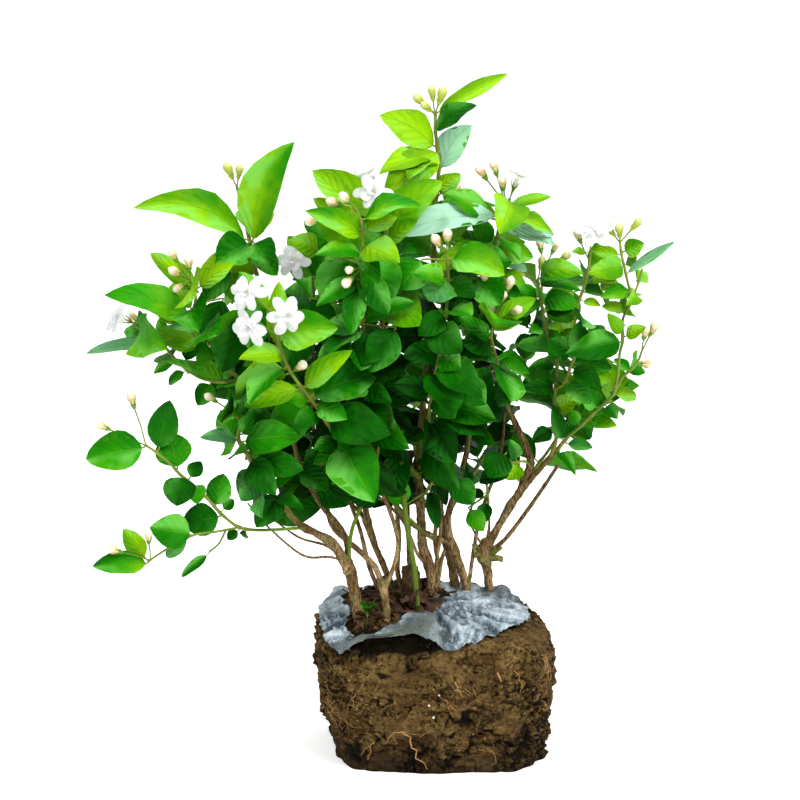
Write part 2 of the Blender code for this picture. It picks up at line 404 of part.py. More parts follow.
        "buds": [((7.3, 34.4, 0.8), [(5.6, 35.0, 0.4), (9.4, 36.2, -1.0), (7.6, 35.9, 0.4)])],
        "fill": 1,
    },
    "right_tall_shoot": {
        "grows_on": "right_flower_shoot",
        "stems": [([(8.65, 26.4, 2.0), (9.35, 27.1, 1.0), (9.7, 28.1, 0.4), (10.1, 29.2, 0.0),
                    (9.95, 31.0, -0.3), (10.25, 32.8, -0.5), (10.7, 34.2, -0.6), (11.0, 35.8, -0.7),
                    (11.0, 36.5, -0.8)], 1.2, 0.9)],
        "leaves": [
            ((10.2, 29.3, -0.3), (10.4, 31.4, -1.8), 1.5, 74, 0.05),
            ((9.9, 29.1, 0.1), (8.2, 30.1, -1.4), 1.6, 70, 0.05),
            ((9.8, 28.2, 0.2), (11.9, 26.6, -1.2), 1.6, 68, 0.06),
            ((9.9, 28.5, 0.5), (12.8, 28.1, 1.0), 1.4, 60, 0.08),
            ((10.8, 34.3, -0.8), (13.0, 34.3, -1.6), 1.0, 48, 0.06),
            ((10.9, 36.3, -0.9), (9.7, 36.4, -1.7), 0.7, 50, 0.06),
            ((10.4, 32.9, -0.6), (11.8, 32.5, -1.4), 0.8, 52, 0.06),
            ((10.1, 32.3, -0.6), (8.0, 32.1, -1.8), 1.3, 60, 0.10),
            ((9.5, 27.0, 0.8), (11.2, 25.4, -0.4), 1.7, 68, 0.08),
        ],
        "blooms": [((11.0, 36.5, -0.8), (11.3, 38.0, -1.5), (0.15, 0.65, -0.6))],
        "buds": [((10.95, 35.7, -0.7), [(10.0, 37.8, 0.2)])],
        "fill": 0,
    },
    "right_low_shoot": {
        "grows_on": "stem_right",
        "stems": [([(8.8, 22.0, 3.1), (9.6, 23.0, 3.0), (10.4, 23.7, 2.8), (11.6, 24.9, 2.4),
                    (12.8, 26.1, 2.0), (13.4, 27.3, 1.7), (14.4, 28.3, 1.4), (14.8, 29.3, 1.2)], 1.3, 0.8)],
        "leaves": [
            ((9.1, 22.7, 2.9), (8.5, 25.3, 1.4), 1.3, 72, 0.10),
            ((9.4, 22.4, 2.8), (11.4, 22.2, 1.6), 1.1, 62, 0.10),
            ((9.0, 21.8, 2.0), (10.1, 20.5, -2.2), 1.0, 62, 0.08),
            ((10.9, 24.2, 2.4), (13.1, 23.8, 1.4), 1.2, 62, 0.10),
            ((10.3, 23.9, 2.7), (9.6, 25.0, 2.0), 1.0, 64, 0.06),
            ((11.6, 25.1, 2.3), (10.6, 26.6, 1.0), 1.6, 70, 0.08),
            ((12.2, 25.3, 2.0), (13.1, 24.3, 0.8), 1.3, 68, 0.06),
            ((12.8, 26.3, 2.6), (12.6, 28.4, 3.2), 2.2, 74, 0.08),
            ((13.0, 26.1, 2.2), (14.5, 26.0, 2.8), 1.2, 66, 0.06),
            ((13.9, 27.9, 1.3), (12.8, 28.7, 1.6), 0.9, 50, 0.08),
        ],
        "buds": [((14.8, 29.2, 1.2), [(15.7, 31.2, 0.9), (15.0, 30.9, 0.4)]),
                 ((14.4, 28.3, 1.4), [(15.4, 28.3, 1.6)])],
        "fill": 1,
    },
    "right_outer_shoot": {
        "grows_on": "right_low_shoot",
        "stems": [([(12.85, 26.2, 2.0), (13.1, 27.6, 0.6), (13.2, 29.0, 0.2), (13.4, 30.0, 0.1),
                    (13.4, 31.6, 0.0), (13.95, 32.9, -0.1), (13.6, 34.6, -0.2), (13.2, 36.3, -0.3),
                    (13.1, 37.1, -0.3)], 1.1, 0.8),
                  ([(13.95, 32.9, -0.1), (14.4, 34.0, 0.1), (14.7, 35.2, 0.2)], 0.8, 0.7)],
        "leaves": [
            ((13.2, 29.9, -0.1), (9.4, 29.1, -2.4), 2.4, 66, 0.06),
            ((13.4, 36.3, -0.4), (14.8, 37.0, -1.2), 1.4, 72, 0.06),
            ((13.0, 36.2, -0.5), (11.1, 36.5, -1.3), 1.0, 55, 0.08),
            ((13.3, 35.3, -0.5), (11.0, 34.9, -2.0), 1.8, 72, 0.06),
            ((13.7, 34.9, 0.0), (17.0, 37.2, 0.8), 0.8, 60, 0.04),
            ((13.8, 33.6, -0.4), (11.8, 33.2, -1.8), 1.2, 62, 0.08),
            ((13.6, 32.2, -0.2), (11.9, 32.5, -1.0), 1.0, 60, 0.08),
            ((13.3, 30.6, -0.2), (12.3, 32.0, -1.4), 1.1, 74, 0.06),
            ((13.6, 30.2, 0.0), (15.0, 31.0, -0.8), 1.1, 64, 0.06),
        ],
        "buds": [((13.1, 37.1, -0.3), [(14.4, 38.6, -0.5), (12.1, 38.3, -0.1), (13.0, 38.2, -0.9)])],
        "fill": 0,
    },
    "inner_right_shoot": {
        "grows_on": "stem_right",
        "stems": [([(6.9, 20.9, 2.9), (6.5, 21.2, 1.8), (5.6, 21.1, 0.8), (4.8, 21.4, 0.1)], 0.9, 0.8)],
        "leaves": [
            ((6.2, 21.0, 1.4), (5.2, 19.9, 0.2), 1.7, 72, 0.08),
            ((5.3, 20.9, 0.4), (3.3, 19.6, -0.8), 1.7, 68, 0.10),
            ((4.9, 21.5, 0.0), (3.6, 22.0, -0.9), 1.0, 62, 0.08),
            ((5.9, 21.4, 1.2), (5.4, 22.8, 0.4), 1.1, 66, 0.08),
        ],
        "fill": 0,
    },
    "low_right_twig": {
        "grows_on": "stem_right",
        "stems": [([(3.95, 17.7, 3.6), (3.9, 18.6, 3.3), (3.8, 19.5, 2.9)], 0.9, 0.8)],
        "leaves": [
            ((3.9, 18.3, 3.2), (3.3, 16.4, 2.2), 1.2, 72, 0.08),
            ((3.7, 18.8, 3.1), (2.2, 18.6, 2.0), 0.9, 60, 0.08),
            ((3.8, 19.5, 2.8), (4.6, 21.0, 2.0), 1.0, 66, 0.08),
        ],
        "fill": 0,
    },
    "centre_right_shoot": {
        "grows_on": "stem_twin_front",
        "stems": [([(2.35, 21.8, 2.9), (2.6, 23.6, 2.2), (2.8, 26.0, 1.4), (2.6, 28.6, 0.6),
                    (2.2, 31.0, -0.6), (2.1, 33.0, -1.6)], 1.6, 0.9)],
        "leaves": [
            ((2.7, 25.4, 1.3), (0.7, 26.1, -0.6), 2.0, 70, 0.08),
            ((3.0, 25.5, 1.2), (4.8, 24.2, -0.4), 2.2, 70, 0.08),
            ((2.5, 23.6, 1.9), (0.0, 24.2, 0.0), 1.8, 70, 0.08),
            ((2.4, 28.6, 0.4), (0.8, 29.8, -1.0), 2.0, 68, 0.08),
            ((2.8, 28.5, 0.5), (4.9, 29.2, -0.6), 1.4, 60, 0.08),
            ((2.0, 31.1, -0.8), (0.6, 32.7, -2.2), 1.7, 68, 0.08),
            ((2.8, 23.4, 2.1), (4.3, 22.4, 1.0), 1.2, 64, 0.08),
        ],
        "fill": 1,
    },
    "low_centre_twig": {
        "grows_on": "stem_middle",
        "stems": [([(-0.95, 18.4, 0.7), (-0.4, 19.2, -0.7), (0.3, 20.4, -1.3)], 1.0, 0.8)],
        "leaves": [
            ((-0.3, 19.2, -0.9), (0.3, 16.2, -1.8), 1.1, 78, 0.06),
            ((0.4, 20.3, -1.3), (0.9, 17.9, -2.2), 0.9, 74, 0.06),
            ((0.4, 20.5, -1.3), (1.5, 21.4, -2.0), 0.9, 66, 0.08),
            ((-0.2, 19.6, -1.1), (-0.6, 20.9, -2.0), 0.8, 66, 0.08),
        ],
        "fill": 0,
    },
    "inner_left_shoot": {
        "grows_on": "stem_front",
        "stems": [([(-7.57, 17.2, 0.3), (-8.0, 19.6, 0.9), (-8.5, 22.4, 1.2), (-8.7, 25.6, 1.3),
                    (-8.6, 28.8, 1.2), (-8.5, 32.0, 0.9), (-8.6, 34.8, 0.6)], 1.6, 0.9)],
        "leaves": [
            ((-8.6, 34.8, 0.4), (-10.3, 37.5, -1.0), 2.2, 64, 0.08),
            ((-8.4, 34.6, 0.3), (-7.4, 37.2, -0.8), 1.8, 66, 0.08),
        ],
        "blooms": [((-8.6, 34.8, 0.6), (-9.9, 35.8, -1.8), (-0.4, 0.4, -0.8))],
        "fill": 4,
    },
    "back_left_shoot": {
        "grows_on": "stem_dark_back",
        "stems": [([(-5.58, 20.0, 2.3), (-5.9, 23.0, 3.6), (-6.2, 26.5, 4.8), (-6.4, 30.0, 5.6),
                    (-6.5, 33.4, 6.0), (-6.6, 36.2, 6.2)], 1.8, 1.0)],
        "leaves": [((-6.6, 36.2, 6.1), (-9.2, 38.6, 5.4), 2.2, 55, 0.08)],
        "buds": [((-6.6, 36.2, 6.2), [(-6.2, 38.2, 6.4), (-7.2, 38.0, 6.8)])],
        "fill": 5,
    },
    "back_low_left_shoot": {
        "grows_on": "stem_dark_back",
        "stems": [([(-4.7, 16.6, 2.6), (-6.2, 18.4, 4.4), (-8.4, 20.8, 6.0), (-10.4, 23.6, 7.0),
                    (-12.0, 26.8, 7.6), (-13.0, 30.0, 8.0)], 1.4, 0.9)],
        "leaves": [],
        "fill": 4,
    },
    "back_shoot": {
        "grows_on": "stem_twin_back",
        "stems": [([(0.37, 19.8, 4.2), (0.1, 23.0, 5.4), (0.0, 26.5, 6.4), (0.3, 30.0, 7.2),
                    (0.7, 33.5, 7.8), (1.1, 37.0, 8.0), (1.2, 39.4, 8.0)], 1.9, 1.0)],
        "leaves": [],
        "buds": [((1.2, 39.4, 8.0), [(1.6, 41.2, 8.6), (0.6, 41.0, 8.2)])],
        "fill": 6,
    },
    "back_far_shoot": {
        "grows_on": "stem_twin_back",
        "stems": [([(0.45, 18.2, 3.9), (-0.7, 20.4, 6.4), (-1.8, 23.6, 8.6), (-2.8, 27.0, 10.2),
                    (-3.4, 30.6, 11.2), (-3.6, 33.8, 11.6)], 1.5, 0.9)],
        "leaves": [],
        "fill": 5,
    },
    "back_right_shoot": {
        "grows_on": "stem_twin_back",
        "stems": [([(0.6, 16.6, 3.6), (2.0, 19.0, 6.0), (3.8, 22.0, 7.6), (5.4, 25.5, 8.8),
                    (6.6, 29.0, 9.4), (7.4, 32.5, 9.6), (7.8, 35.2, 9.6)], 1.6, 0.9)],
        "leaves": [],
        "buds": [((7.8, 35.2, 9.6), [(8.6, 37.0, 9.8), (7.4, 37.2, 10.2)])],
        "fill": 6,
    },
    "back_right_low_shoot": {
        "grows_on": "stem_right",
        "stems": [([(5.5, 17.9, 3.9), (6.8, 20.0, 5.6), (8.6, 22.6, 6.8), (10.2, 25.6, 7.4),
                    (11.4, 29.0, 7.4)], 1.3, 0.9)],
        "leaves": [],
        "fill": 4,
    },
}


def place(spot):
    """A point in metres, from how far across, up and behind it looks from the front, in centimetres."""
    across, up, behind = spot
    scale = 1 + behind / EYE_FRONT
    return Vector((EYE_ACROSS + (across - EYE_ACROSS) * scale, behind, EYE_UP + (up - EYE_UP) * scale)) * CM


def material(name, colour, roughness):
    made = bpy.data.materials.new(name)
    made.use_nodes = True
    shader = made.node_tree.nodes["Principled BSDF"]
    shader.inputs["Base Color"].default_value = colour
    shader.inputs["Roughness"].default_value = roughness
    shader.inputs["Metallic"].default_value = 0.0
    return made


def add_object(name, mesh, collection):
    made = bpy.data.objects.new(name, mesh)
    collection.objects.link(made)
    return made


def mesh_from(name, points, faces):
    mesh = bpy.data.meshes.new(name)
    mesh.from_pydata(points, [], faces)
    mesh.update()
    return mesh


def loft(sections):
    """Points and triangles of a closed body through four-cornered sections, the last of which may be a point."""
    points = [corner for section in sections for corner in section]
    faces = [(0, 2, 1), (0, 3, 2)]
    start = 0
    for section, after in zip(sections, sections[1:]):
        following = start + 4
        for corner in range(4):
            turned = (corner + 1) % 4
            if len(after) == 1:
                faces.append((start + corner, start + turned, following))
            elif corner % 2 == 0:
                faces.append((start + corner, start + turned, following + turned))
                faces.append((start + corner, following + turned, following + corner))
            else:
                faces.append((start + corner, start + turned, following + corner))
                faces.append((start + turned, following + turned, following + corner))
        start = following
    if len(sections[-1]) == 4:
        faces += [(start, start + 1, start + 2), (start, start + 2, start + 3)]
    if sum(points[a].dot(points[b].cross(points[c])) for a, b, c in faces) < 0:
        faces = [(a, c, b) for a, b, c in faces]
    return points, faces


def diamond(centre, side, normal, half_width, half_thickness, lift=0.0):
    """A knife-edged section: right edge, top, left edge, bottom."""
    raised = centre + normal * lift
    return [raised + side * half_width, centre + normal * half_thickness,
            raised - side * half_width, centre - normal * half_thickness]


def leaf_frame(foot, tip, turn):
    """The length, direction, side and upper face of a blade; its turn is 0 lying flat and 90 facing front."""
    span = tip - foot
    along = span.normalized()
    facing = Vector((0, -math.sin(math.radians(turn)), math.cos(math.radians(turn))))
    side = along.cross(facing)
    if side.length < 0.05:
        side = along.cross(Vector((0.3, -0.8, 0.5)))
    side.normalize()
    return span.length, along, side, side.cross(along)


def leaf_sections(root, foot, tip, width, turn, arch, fold, grown=0.0):
    """Sections of a leaf: petiole sunk in the stem at the root, two widths of the blade, and the tip."""
    length, along, side, normal = leaf_frame(foot, tip, turn)
    half_thickness = LEAF_THICKNESS * CM / 2 + grown
    stalk = min(0.07 * CM, width * 0.12) + grown
    petiole = (foot - root).normalized()
    across = petiole.cross(normal).normalized()
    over = across.cross(petiole)
    sections = [diamond(root, across, over, stalk, stalk)]
    shares = ((0.28, 0.93), (0.66, 0.82)) if length > SMALL_LEAF * CM else ((0.45, 1.0),)
    for share, part in shares:
        centre = foot + along * (length * share) + normal * (arch * length * 4 * share * (1 - share))
        half = width / 2 * part + grown
        sections.append(diamond(centre, side, normal, half * math.cos(fold), half_thickness,
                                half * math.sin(fold)))
    sections.append([tip + along * grown])
    return sections


def bud_sections(root, tip, length, radius):
    """A bud on its stalk, as one turned body: joint, neck, belly and tip."""
    along = (tip - root).normalized()
    side = along.orthogonal().normalized()
    over = along.cross(side)
    neck = tip - along * length
    rings = ((root, 0.055 * CM), (neck, 0.06 * CM), (tip - along * length * 0.45, radius))
    sections = [diamond(centre, side, over, size, size) for centre, size in rings]
    return sections + [[tip]]


def tube(name, spots, radii, sides, collection):
    """A closed tube along the spots, from a curve with filled caps."""
    curve = bpy.data.curves.new(name, "CURVE")
    curve.dimensions = "3D"
    curve.bevel_depth = 1.0
    curve.bevel_resolution = (sides - 4) // 2
    curve.use_fill_caps = True
    spline = curve.splines.new("POLY")
    spline.points.add(len(spots) - 1)
    for point, spot, radius in zip(spline.points, spots, radii):
        point.co = (*spot, 1)
        point.radius = radius
    holder = add_object(name, curve, collection)
    bpy.context.view_layer.update()
    mesh = bpy.data.meshes.new_from_object(holder.evaluated_get(bpy.context.evaluated_depsgraph_get()))
    bpy.data.objects.remove(holder)
    bpy.data.curves.remove(curve)
    work = bmesh.new()
    work.from_mesh(mesh)
    bmesh.ops.remove_doubles(work, verts=work.verts, dist=0.00001)
    bmesh.ops.triangulate(work, faces=work.faces)
    bmesh.ops.recalc_face_normals(work, faces=work.faces)
    work.to_mesh(mesh)
    work.free()
    return add_object(name, mesh, collection)


def shell_of(vertex, seen):
    """Every vertex joined by edges to the first."""
    shell = [vertex]
    seen.add(vertex)
    for reached in shell:
        for edge in reached.link_edges:
            other = edge.other_vert(reached)
            if other not in seen:
                seen.add(other)
                shell.append(other)
    return shell


def tidy(mesh, distance):
    """Welds and triangulates a mesh, keeps its largest shell, and says whether it is closed."""
    work = bmesh.new()
    work.from_mesh(mesh)
    if distance:
        bmesh.ops.remove_doubles(work, verts=work.verts, dist=distance)
        bmesh.ops.dissolve_degenerate(work, edges=work.edges, dist=distance * 0.5)
    bmesh.ops.triangulate(work, faces=work.faces)
    seen = set()
    shells = [shell_of(vertex, seen) for vertex in work.verts if vertex not in seen]
    shells.sort(key=len)
    scraps = [vertex for shell in shells[:-1] for vertex in shell]
    bmesh.ops.delete(work, geom=scraps, context="VERTS")
    closed = all(len(edge.link_faces) == 2 for edge in work.edges)
    work.to_mesh(mesh)
    work.free()
    return closed


def combine(made, operation, others):
    """Joins other bodies to an object, or cuts them out of it, by one Boolean."""
    group = bpy.data.collections.new(made.name + "_others")
    bpy.context.scene.collection.children.link(group)
    for other in others:
        group.objects.link(other)
    step = made.modifiers.new("combine", "BOOLEAN")
    step.operation = operation
    step.operand_type = "COLLECTION"
    step.collection = group
    for solver, distance in (("EXACT", WELD), ("EXACT", 0), ("MANIFOLD", 0)):
        step.solver = solver
        bpy.context.view_layer.update()
        mesh = bpy.data.meshes.new_from_object(made.evaluated_get(bpy.context.evaluated_depsgraph_get()))
        if tidy(mesh, distance):
            break
    made.modifiers.clear()
    made.data = mesh
    bpy.data.collections.remove(group)


def fuse(main, repeats):
    """Joins loose bodies to the main one, and removes them."""
    if repeats:
        combine(main, "UNION", repeats)
    for repeat in repeats:
        bpy.data.objects.remove(repeat)


def cut(main, cutters):
    """Cuts a set of bodies out of the main one."""
    combine(main, "DIFFERENCE", cutters)


class Crowd:
    """The bodies placed so far, each with its box, so that a new leaf can be kept clear of them."""

    def __init__(self):
        self.bodies = []

    def add(self, points, faces, owner, kind):
        low = [min(point[axis] for point in points) for axis in range(3)]
        high = [max(point[axis] for point in points) for axis in range(3)]
        self.bodies.append((low, high, BVHTree.FromPolygons(points, faces), owner, kind))

    def add_object(self, made, owner, kind):
        points = [vertex.co.copy() for vertex in made.data.vertices]
        self.add(points, [tuple(face.vertices) for face in made.data.polygons], owner, kind)

    def hits(self, points, faces, spared=None, kinds=("stem",)):
        """Whether a body meets one placed before, apart from the given kinds of the shoot that is spared."""
        low = [min(point[axis] for point in points) for axis in range(3)]
        high = [max(point[axis] for point in points) for axis in range(3)]
        shape = None
        for other_low, other_high, tree, owner, kind in self.bodies:
            if owner == spared and kind in kinds:
                continue
            if any(low[axis] > other_high[axis] or high[axis] < other_low[axis] for axis in range(3)):
                continue
            shape = shape or BVHTree.FromPolygons(points, faces)
            if tree.overlap(shape):
                return True
        return False


def nearest_on_stems(spot, stems):
    """The closest point on a shoot's stems, with the radius there and the stem's direction."""
    best = None
    for points, radii in stems:
        for start, end, radius, after in zip(points, points[1:], radii, radii[1:]):
            run = end - start
            share = min(max((spot - start).dot(run) / run.length_squared, 0.04), 0.96)
            near = start + run * share
            gap = (spot - near).length
            if best is None or gap < best[0]:
                best = (gap, near, radius + (after - radius) * share, run.normalized())
    return best[1], best[2], best[3]


def try_leaf(crowd, owner, stems, foot, tip, width, turn, arch, fold, strict=True):
    """The leaf's sections if it clears what stands near it, or else other shoots only, or None."""
    near, radius, _ = nearest_on_stems(foot, stems)
    out = foot - near
    if out.length < radius + 0.15 * CM:
        out = (tip - near).normalized() * (radius + 0.25 * CM)
        foot = near + out
    root = near + out.normalized() * radius * 0.3
    whole = leaf_sections(root, foot, tip, width, turn, arch, fold, CLEARANCE)
    start = foot + (tip - foot) * 0.12
    blade = leaf_sections(start - (tip - foot) * 0.02, start, tip, width, turn, arch, fold, CLEARANCE)
    if crowd.hits(*loft(whole), spared=owner, kinds=("stem",) if strict else ("stem", "bud", "leaf")):
        return None
    if strict and crowd.hits(*loft(blade)):
        return None
    return leaf_sections(root, foot, tip, width, turn, arch, fold)


def shaped_leaf(crowd, owner, stems, leaf, draw):
    """A leaf placed by hand, its tip moved forward or back until it is clear."""
    foot, tip, width, turn, arch = leaf
    fold = math.radians(draw.uniform(8, 22))
    for strict, shift in [(True, shift) for shift in DEPTHS] + [(False, shift) for shift in DEPTHS]:
        for scale, tilt in ((1.0, 0), (0.92, 12), (0.85, -14)):
            moved = (tip[0], tip[1], tip[2] + shift)
            eased = (foot[0], foot[1], foot[2] + shift * 0.1)
            sections = try_leaf(crowd, owner, stems, place(eased), place(moved), width * scale * CM,
                                turn + tilt, arch, fold, strict)
            if sections:
                return sections
    return None


def grown_leaves(crowd, owner, stems, pairs, draw):
    """More leaves in opposite pairs along the stems, each pair turned a quarter from the last."""
    made = []
    route = [spot for points, _ in stems[:1] for spot in points]
    lengths = [(end - start).length for start, end in zip(route, route[1:])]
    whole = sum(lengths)
    quarter = draw.uniform(0, math.pi)
    for count in range(pairs):
        distance = whole * (0.22 + 0.76 * (count + 0.5) / pairs)
        index = 0
        while index < len(lengths) - 1 and distance > lengths[index]:
            distance -= lengths[index]
            index += 1
        node = route[index] + (route[index + 1] - route[index]) * min(distance / lengths[index], 0.95)
        along = (route[index + 1] - route[index]).normalized()
        quarter += math.pi / 2 + draw.uniform(-0.3, 0.3)
        for half in (0, math.pi):
            for attempt in range(12):
                angle = quarter + half + draw.uniform(-0.25, 0.25) * (1 + attempt * 0.35)
                outward = Matrix.Rotation(angle, 3, along) @ along.orthogonal().normalized()
                lean = draw.uniform(-0.15, 0.75)
                direction = (outward + Vector((0, 0, lean))).normalized()
                length = draw.uniform(3.1, 5.0) * CM * (1 - 0.035 * attempt)
                foot = node + direction * PETIOLE * CM
                tip = foot + direction * length
                width = length * draw.uniform(0.5, 0.62)
                turn = draw.uniform(-20, 65) if node.y < 0.03 else draw.uniform(-70, 15)
                arch = draw.uniform(0.04, 0.16)
                fold = math.radians(draw.uniform(8, 24))
                sections = try_leaf(crowd, owner, stems, foot, tip, width, turn, arch, fold)
                if sections:
                    crowd.add(*loft(sections), owner, "leaf")
                    made.append(sections)
                    break
    return made


def bloom_frame(facing):
    """Axes of a bloom: its facing direction and two across it."""
    toward = Vector(facing)
    toward = Vector((toward.x, toward.z, toward.y)).normalized()
    side = toward.cross(Vector((0, 0, 1)))
    if side.length < 0.1:
        side = Vector((1, 0, 0))
    side.normalize()
    return toward, side, side.cross(toward)


def petal_sections(centre, toward, out, length, width, cup):
    """A petal from the heart of the bloom: root sunk in the tube, broad part beyond the middle, tip."""
    across = toward.cross(out).normalized()
    normal = across.cross(out).normalized()
    sections = []
    for share, part, thickness in ((0.04, 0.1, 0.06), (0.62, 1.0, 0.05)):
        spot = centre + out * (length * share) + toward * (cup * length * share * share)
        sections.append(diamond(spot, across, normal, width / 2 * part, thickness * CM, width * 0.06 * part))
    sections.append([centre + out * length + toward * (cup * length)])
    return sections


def bloom_bodies(centre, facing):
    """The tube and heart of a bloom, and its petals in layers."""
    toward, side, over = bloom_frame(facing)
    bodies = []
    for count, length, width, cup, first, depth in ((5, 1.3, 0.86, 0.08, 0.0, 0.0),
                                                    (3, 0.95, 0.8, 0.7, 0.4, 0.25)):
        for petal in range(count):
            angle = (petal + first) * math.tau / count
            out = side * math.cos(angle) + over * math.sin(angle)
            heart = centre + toward * depth * CM
            bodies.append(petal_sections(heart, toward, out, length * CM, width * CM, cup))
    return bodies, toward


def ball_point(azimuth, polar, relief=1.0):
    """A point on the root ball in metres: a block with rounded corners and rim, flat underneath."""
    drop, rise = math.sin(polar), math.cos(polar)
    east, north = math.cos(azimuth), math.sin(azimuth)
    right = max(0.0, min(1.0, east + 0.25 * north))
    sharpness = BALL_RIM_SHARPNESS + (BALL_RIGHT_RIM_SHARPNESS - BALL_RIM_SHARPNESS) * right
    sharpness = sharpness if rise > 0 else BALL_FOOT_SHARPNESS
    rim = (abs(drop) ** sharpness + abs(rise) ** sharpness) ** (1 / sharpness)
    reach, level = drop / rim, rise / rim
    round_off = (abs(east) ** BALL_SQUARENESS + abs(north) ** BALL_SQUARENESS) ** (1 / BALL_SQUARENESS)
    taper = BALL_TAPER[0] + BALL_TAPER[1] * level + BALL_TAPER[2] * level * level
    shift = BALL_SHIFT[0] + BALL_SHIFT[1] * level + BALL_SHIFT[2] * level * level
    x = BALL_HALF_WIDTH * taper * reach * east / round_off + shift
    y = BALL_HALF_DEPTH * taper * reach * north / round_off
    tilt = max(level, 0) * (0.035 * x + 0.055 * y)
    z = BALL_MIDDLE + BALL_HALF_HEIGHT * level + tilt
    spot = Vector((x, y, z))
    bump = noise.noise(spot * 0.38 + Vector((4.1, 7.7, 1.3))) + 0.5 * noise.noise(spot * 0.9)
    out = Vector((reach * east, reach * north, 1.2 * max(level, 0) ** 3))
    clods = abs(noise.noise(spot * 0.6 + Vector((5.0, 1.0, 2.0)))) * 1.6 - 0.35
    side = max(0.0, min(1.0, (0.75 - level) / 0.35))
    spot += out.normalized() * (bump * SOIL_RELIEF * relief + clods * CLOD_RELIEF * side)
    if spot.z < 0.35:
        spot.z = 0.0
    return spot * CM


def soil_recess(azimuth, polar):
    """How far the soil is eaten away under the film at the front left, in centimetres."""
    around = (math.degrees(azimuth) % 360 - 250) / 28
    down = (math.degrees(polar) - 48) / 12
    return 0.9 * max(0.0, 1 - around * around) * max(0.0, 1 - down * down)


def make_root_ball(collection):
    work = bmesh.new()
    bmesh.ops.create_uvsphere(work, u_segments=BALL_SEGMENTS, v_segments=BALL_RINGS, radius=1.0)
    for vertex in work.verts:
        azimuth = math.atan2(vertex.co.y, vertex.co.x)
        polar = math.acos(max(-1.0, min(1.0, vertex.co.z)))
        spot = ball_point(azimuth, polar)
        eaten = soil_recess(azimuth, polar) * CM
        inward = Vector((-math.cos(azimuth), -math.sin(azimuth), -0.7)).normalized()
        vertex.co = spot + inward * eaten
    bmesh.ops.triangulate(work, faces=work.faces)
    mesh = bpy.data.meshes.new("root_ball")
    work.to_mesh(mesh)
    work.free()
    return add_object("root_ball", mesh, collection)


def around_ball(azimuth, values):
    """A value that runs smoothly round the ball through values given at equal steps from +X."""
    turn = (azimuth / math.tau % 1) * len(values)
    index = int(turn)
    share = turn - index
    share = share * share * (3 - 2 * share)
    return values[index % len(values)] * (1 - share) + values[(index + 1) % len(values)] * share


def film_place(spoke, share, hole, outer):
    """Azimuth and angle from the top of a spot on the film, from its hole to its outer edge."""
    reach = hole * (1 - share) + outer * share
    across = FILM_HOLE_MIDDLE * (1 - share) + reach * math.cos(spoke)
    behind = reach * math.sin(spoke)
    return math.atan2(behind, across), math.radians(math.hypot(across, behind))


def film_bridge(azimuth, share):
    """How far the film arches over the hollow at the front, in centimetres."""
    around = (math.degrees(azimuth) % 360 - 250) / 24
    return FILM_BRIDGE * max(0.0, 1 - around * around) * share


def make_film(collection, ball):
    """The torn collar: an open sheet over the rim of the ball, with an uneven hole round the stems."""
    soil = BVHTree.FromPolygons([vertex.co.copy() for vertex in ball.data.vertices],
                                [tuple(face.vertices) for face in ball.data.polygons])
    work = bmesh.new()
    bmesh.ops.create_grid(work, x_segments=FILM_COLUMNS, y_segments=FILM_ROWS, size=0.5)
    for vertex in work.verts:
        azimuth = (vertex.co.x + 0.5) * math.tau
        share = vertex.co.y + 0.5
        azimuth, polar = film_place(azimuth, share, around_ball(azimuth, FILM_HOLE),
                                    around_ball(azimuth, FILM_OUTER))
        spot = ball_point(azimuth, polar, 0.6)
        out = Vector((math.cos(azimuth) * math.sin(polar) ** 3, math.sin(azimuth) * math.sin(polar) ** 3,
                      math.cos(polar))).normalized()
        crinkle = 0.5 + 0.5 * noise.noise(spot * 70 + Vector((2.2, 9.1, 5.0)))
        spot = spot + out * (FILM_STANDOFF + 0.16 * crinkle + film_bridge(azimuth, share)) * CM
        near, normal, _, _ = soil.find_nearest(spot)
        if (spot - near).dot(normal) < FILM_CLEARANCE * CM:
            spot = near + normal * FILM_CLEARANCE * CM
        vertex.co = spot
    bmesh.ops.remove_doubles(work, verts=work.verts, dist=0.0002)
    bmesh.ops.recalc_face_normals(work, faces=work.faces)
    mesh = bpy.data.meshes.new("nursery_film")
    work.to_mesh(mesh)
    work.free()
    film = add_object("nursery_film", mesh, collection)
    wall = film.modifiers.new("wall", "SOLIDIFY")
    wall.thickness = FILM_THICKNESS * CM
    wall.offset = 1.0
    bpy.context.view_layer.update()
    film.data = bpy.data.meshes.new_from_object(film.evaluated_get(bpy.context.evaluated_depsgraph_get()))
    film.modifiers.clear()
    tidy(film.data, 0)
    return film


def make_wood(collection, cutters, crowd):
    """The woody stems, and for each a slightly larger copy that cuts its seat in what touches it."""
    grown = {}
    for name, branches in WOOD.items():
        bodies = []
        seats = []
        for branch in branches:
            points = [place(spot[:3]) for spot in branch]
            radii = [spot[3] * MM for spot in branch]
            sides = 8 if max(radii) > 6 * MM and len(branches) == 1 else 6
            bodies.append(tube(name, points, radii, sides, collection))
            longer = points[:-1] + [points[-1] + (points[-1] - points[-2]).normalized() * SEAT_GAP]
            seats.append(tube(name + "_seat", longer, [radius + SEAT_GAP for radius in radii], sides, cutters))
        for body in bodies:
            crowd.add_object(body, name, "stem")
        fuse(bodies[0], bodies[1:])
        bodies[0].name = name
        grown[name] = seats
    return grown


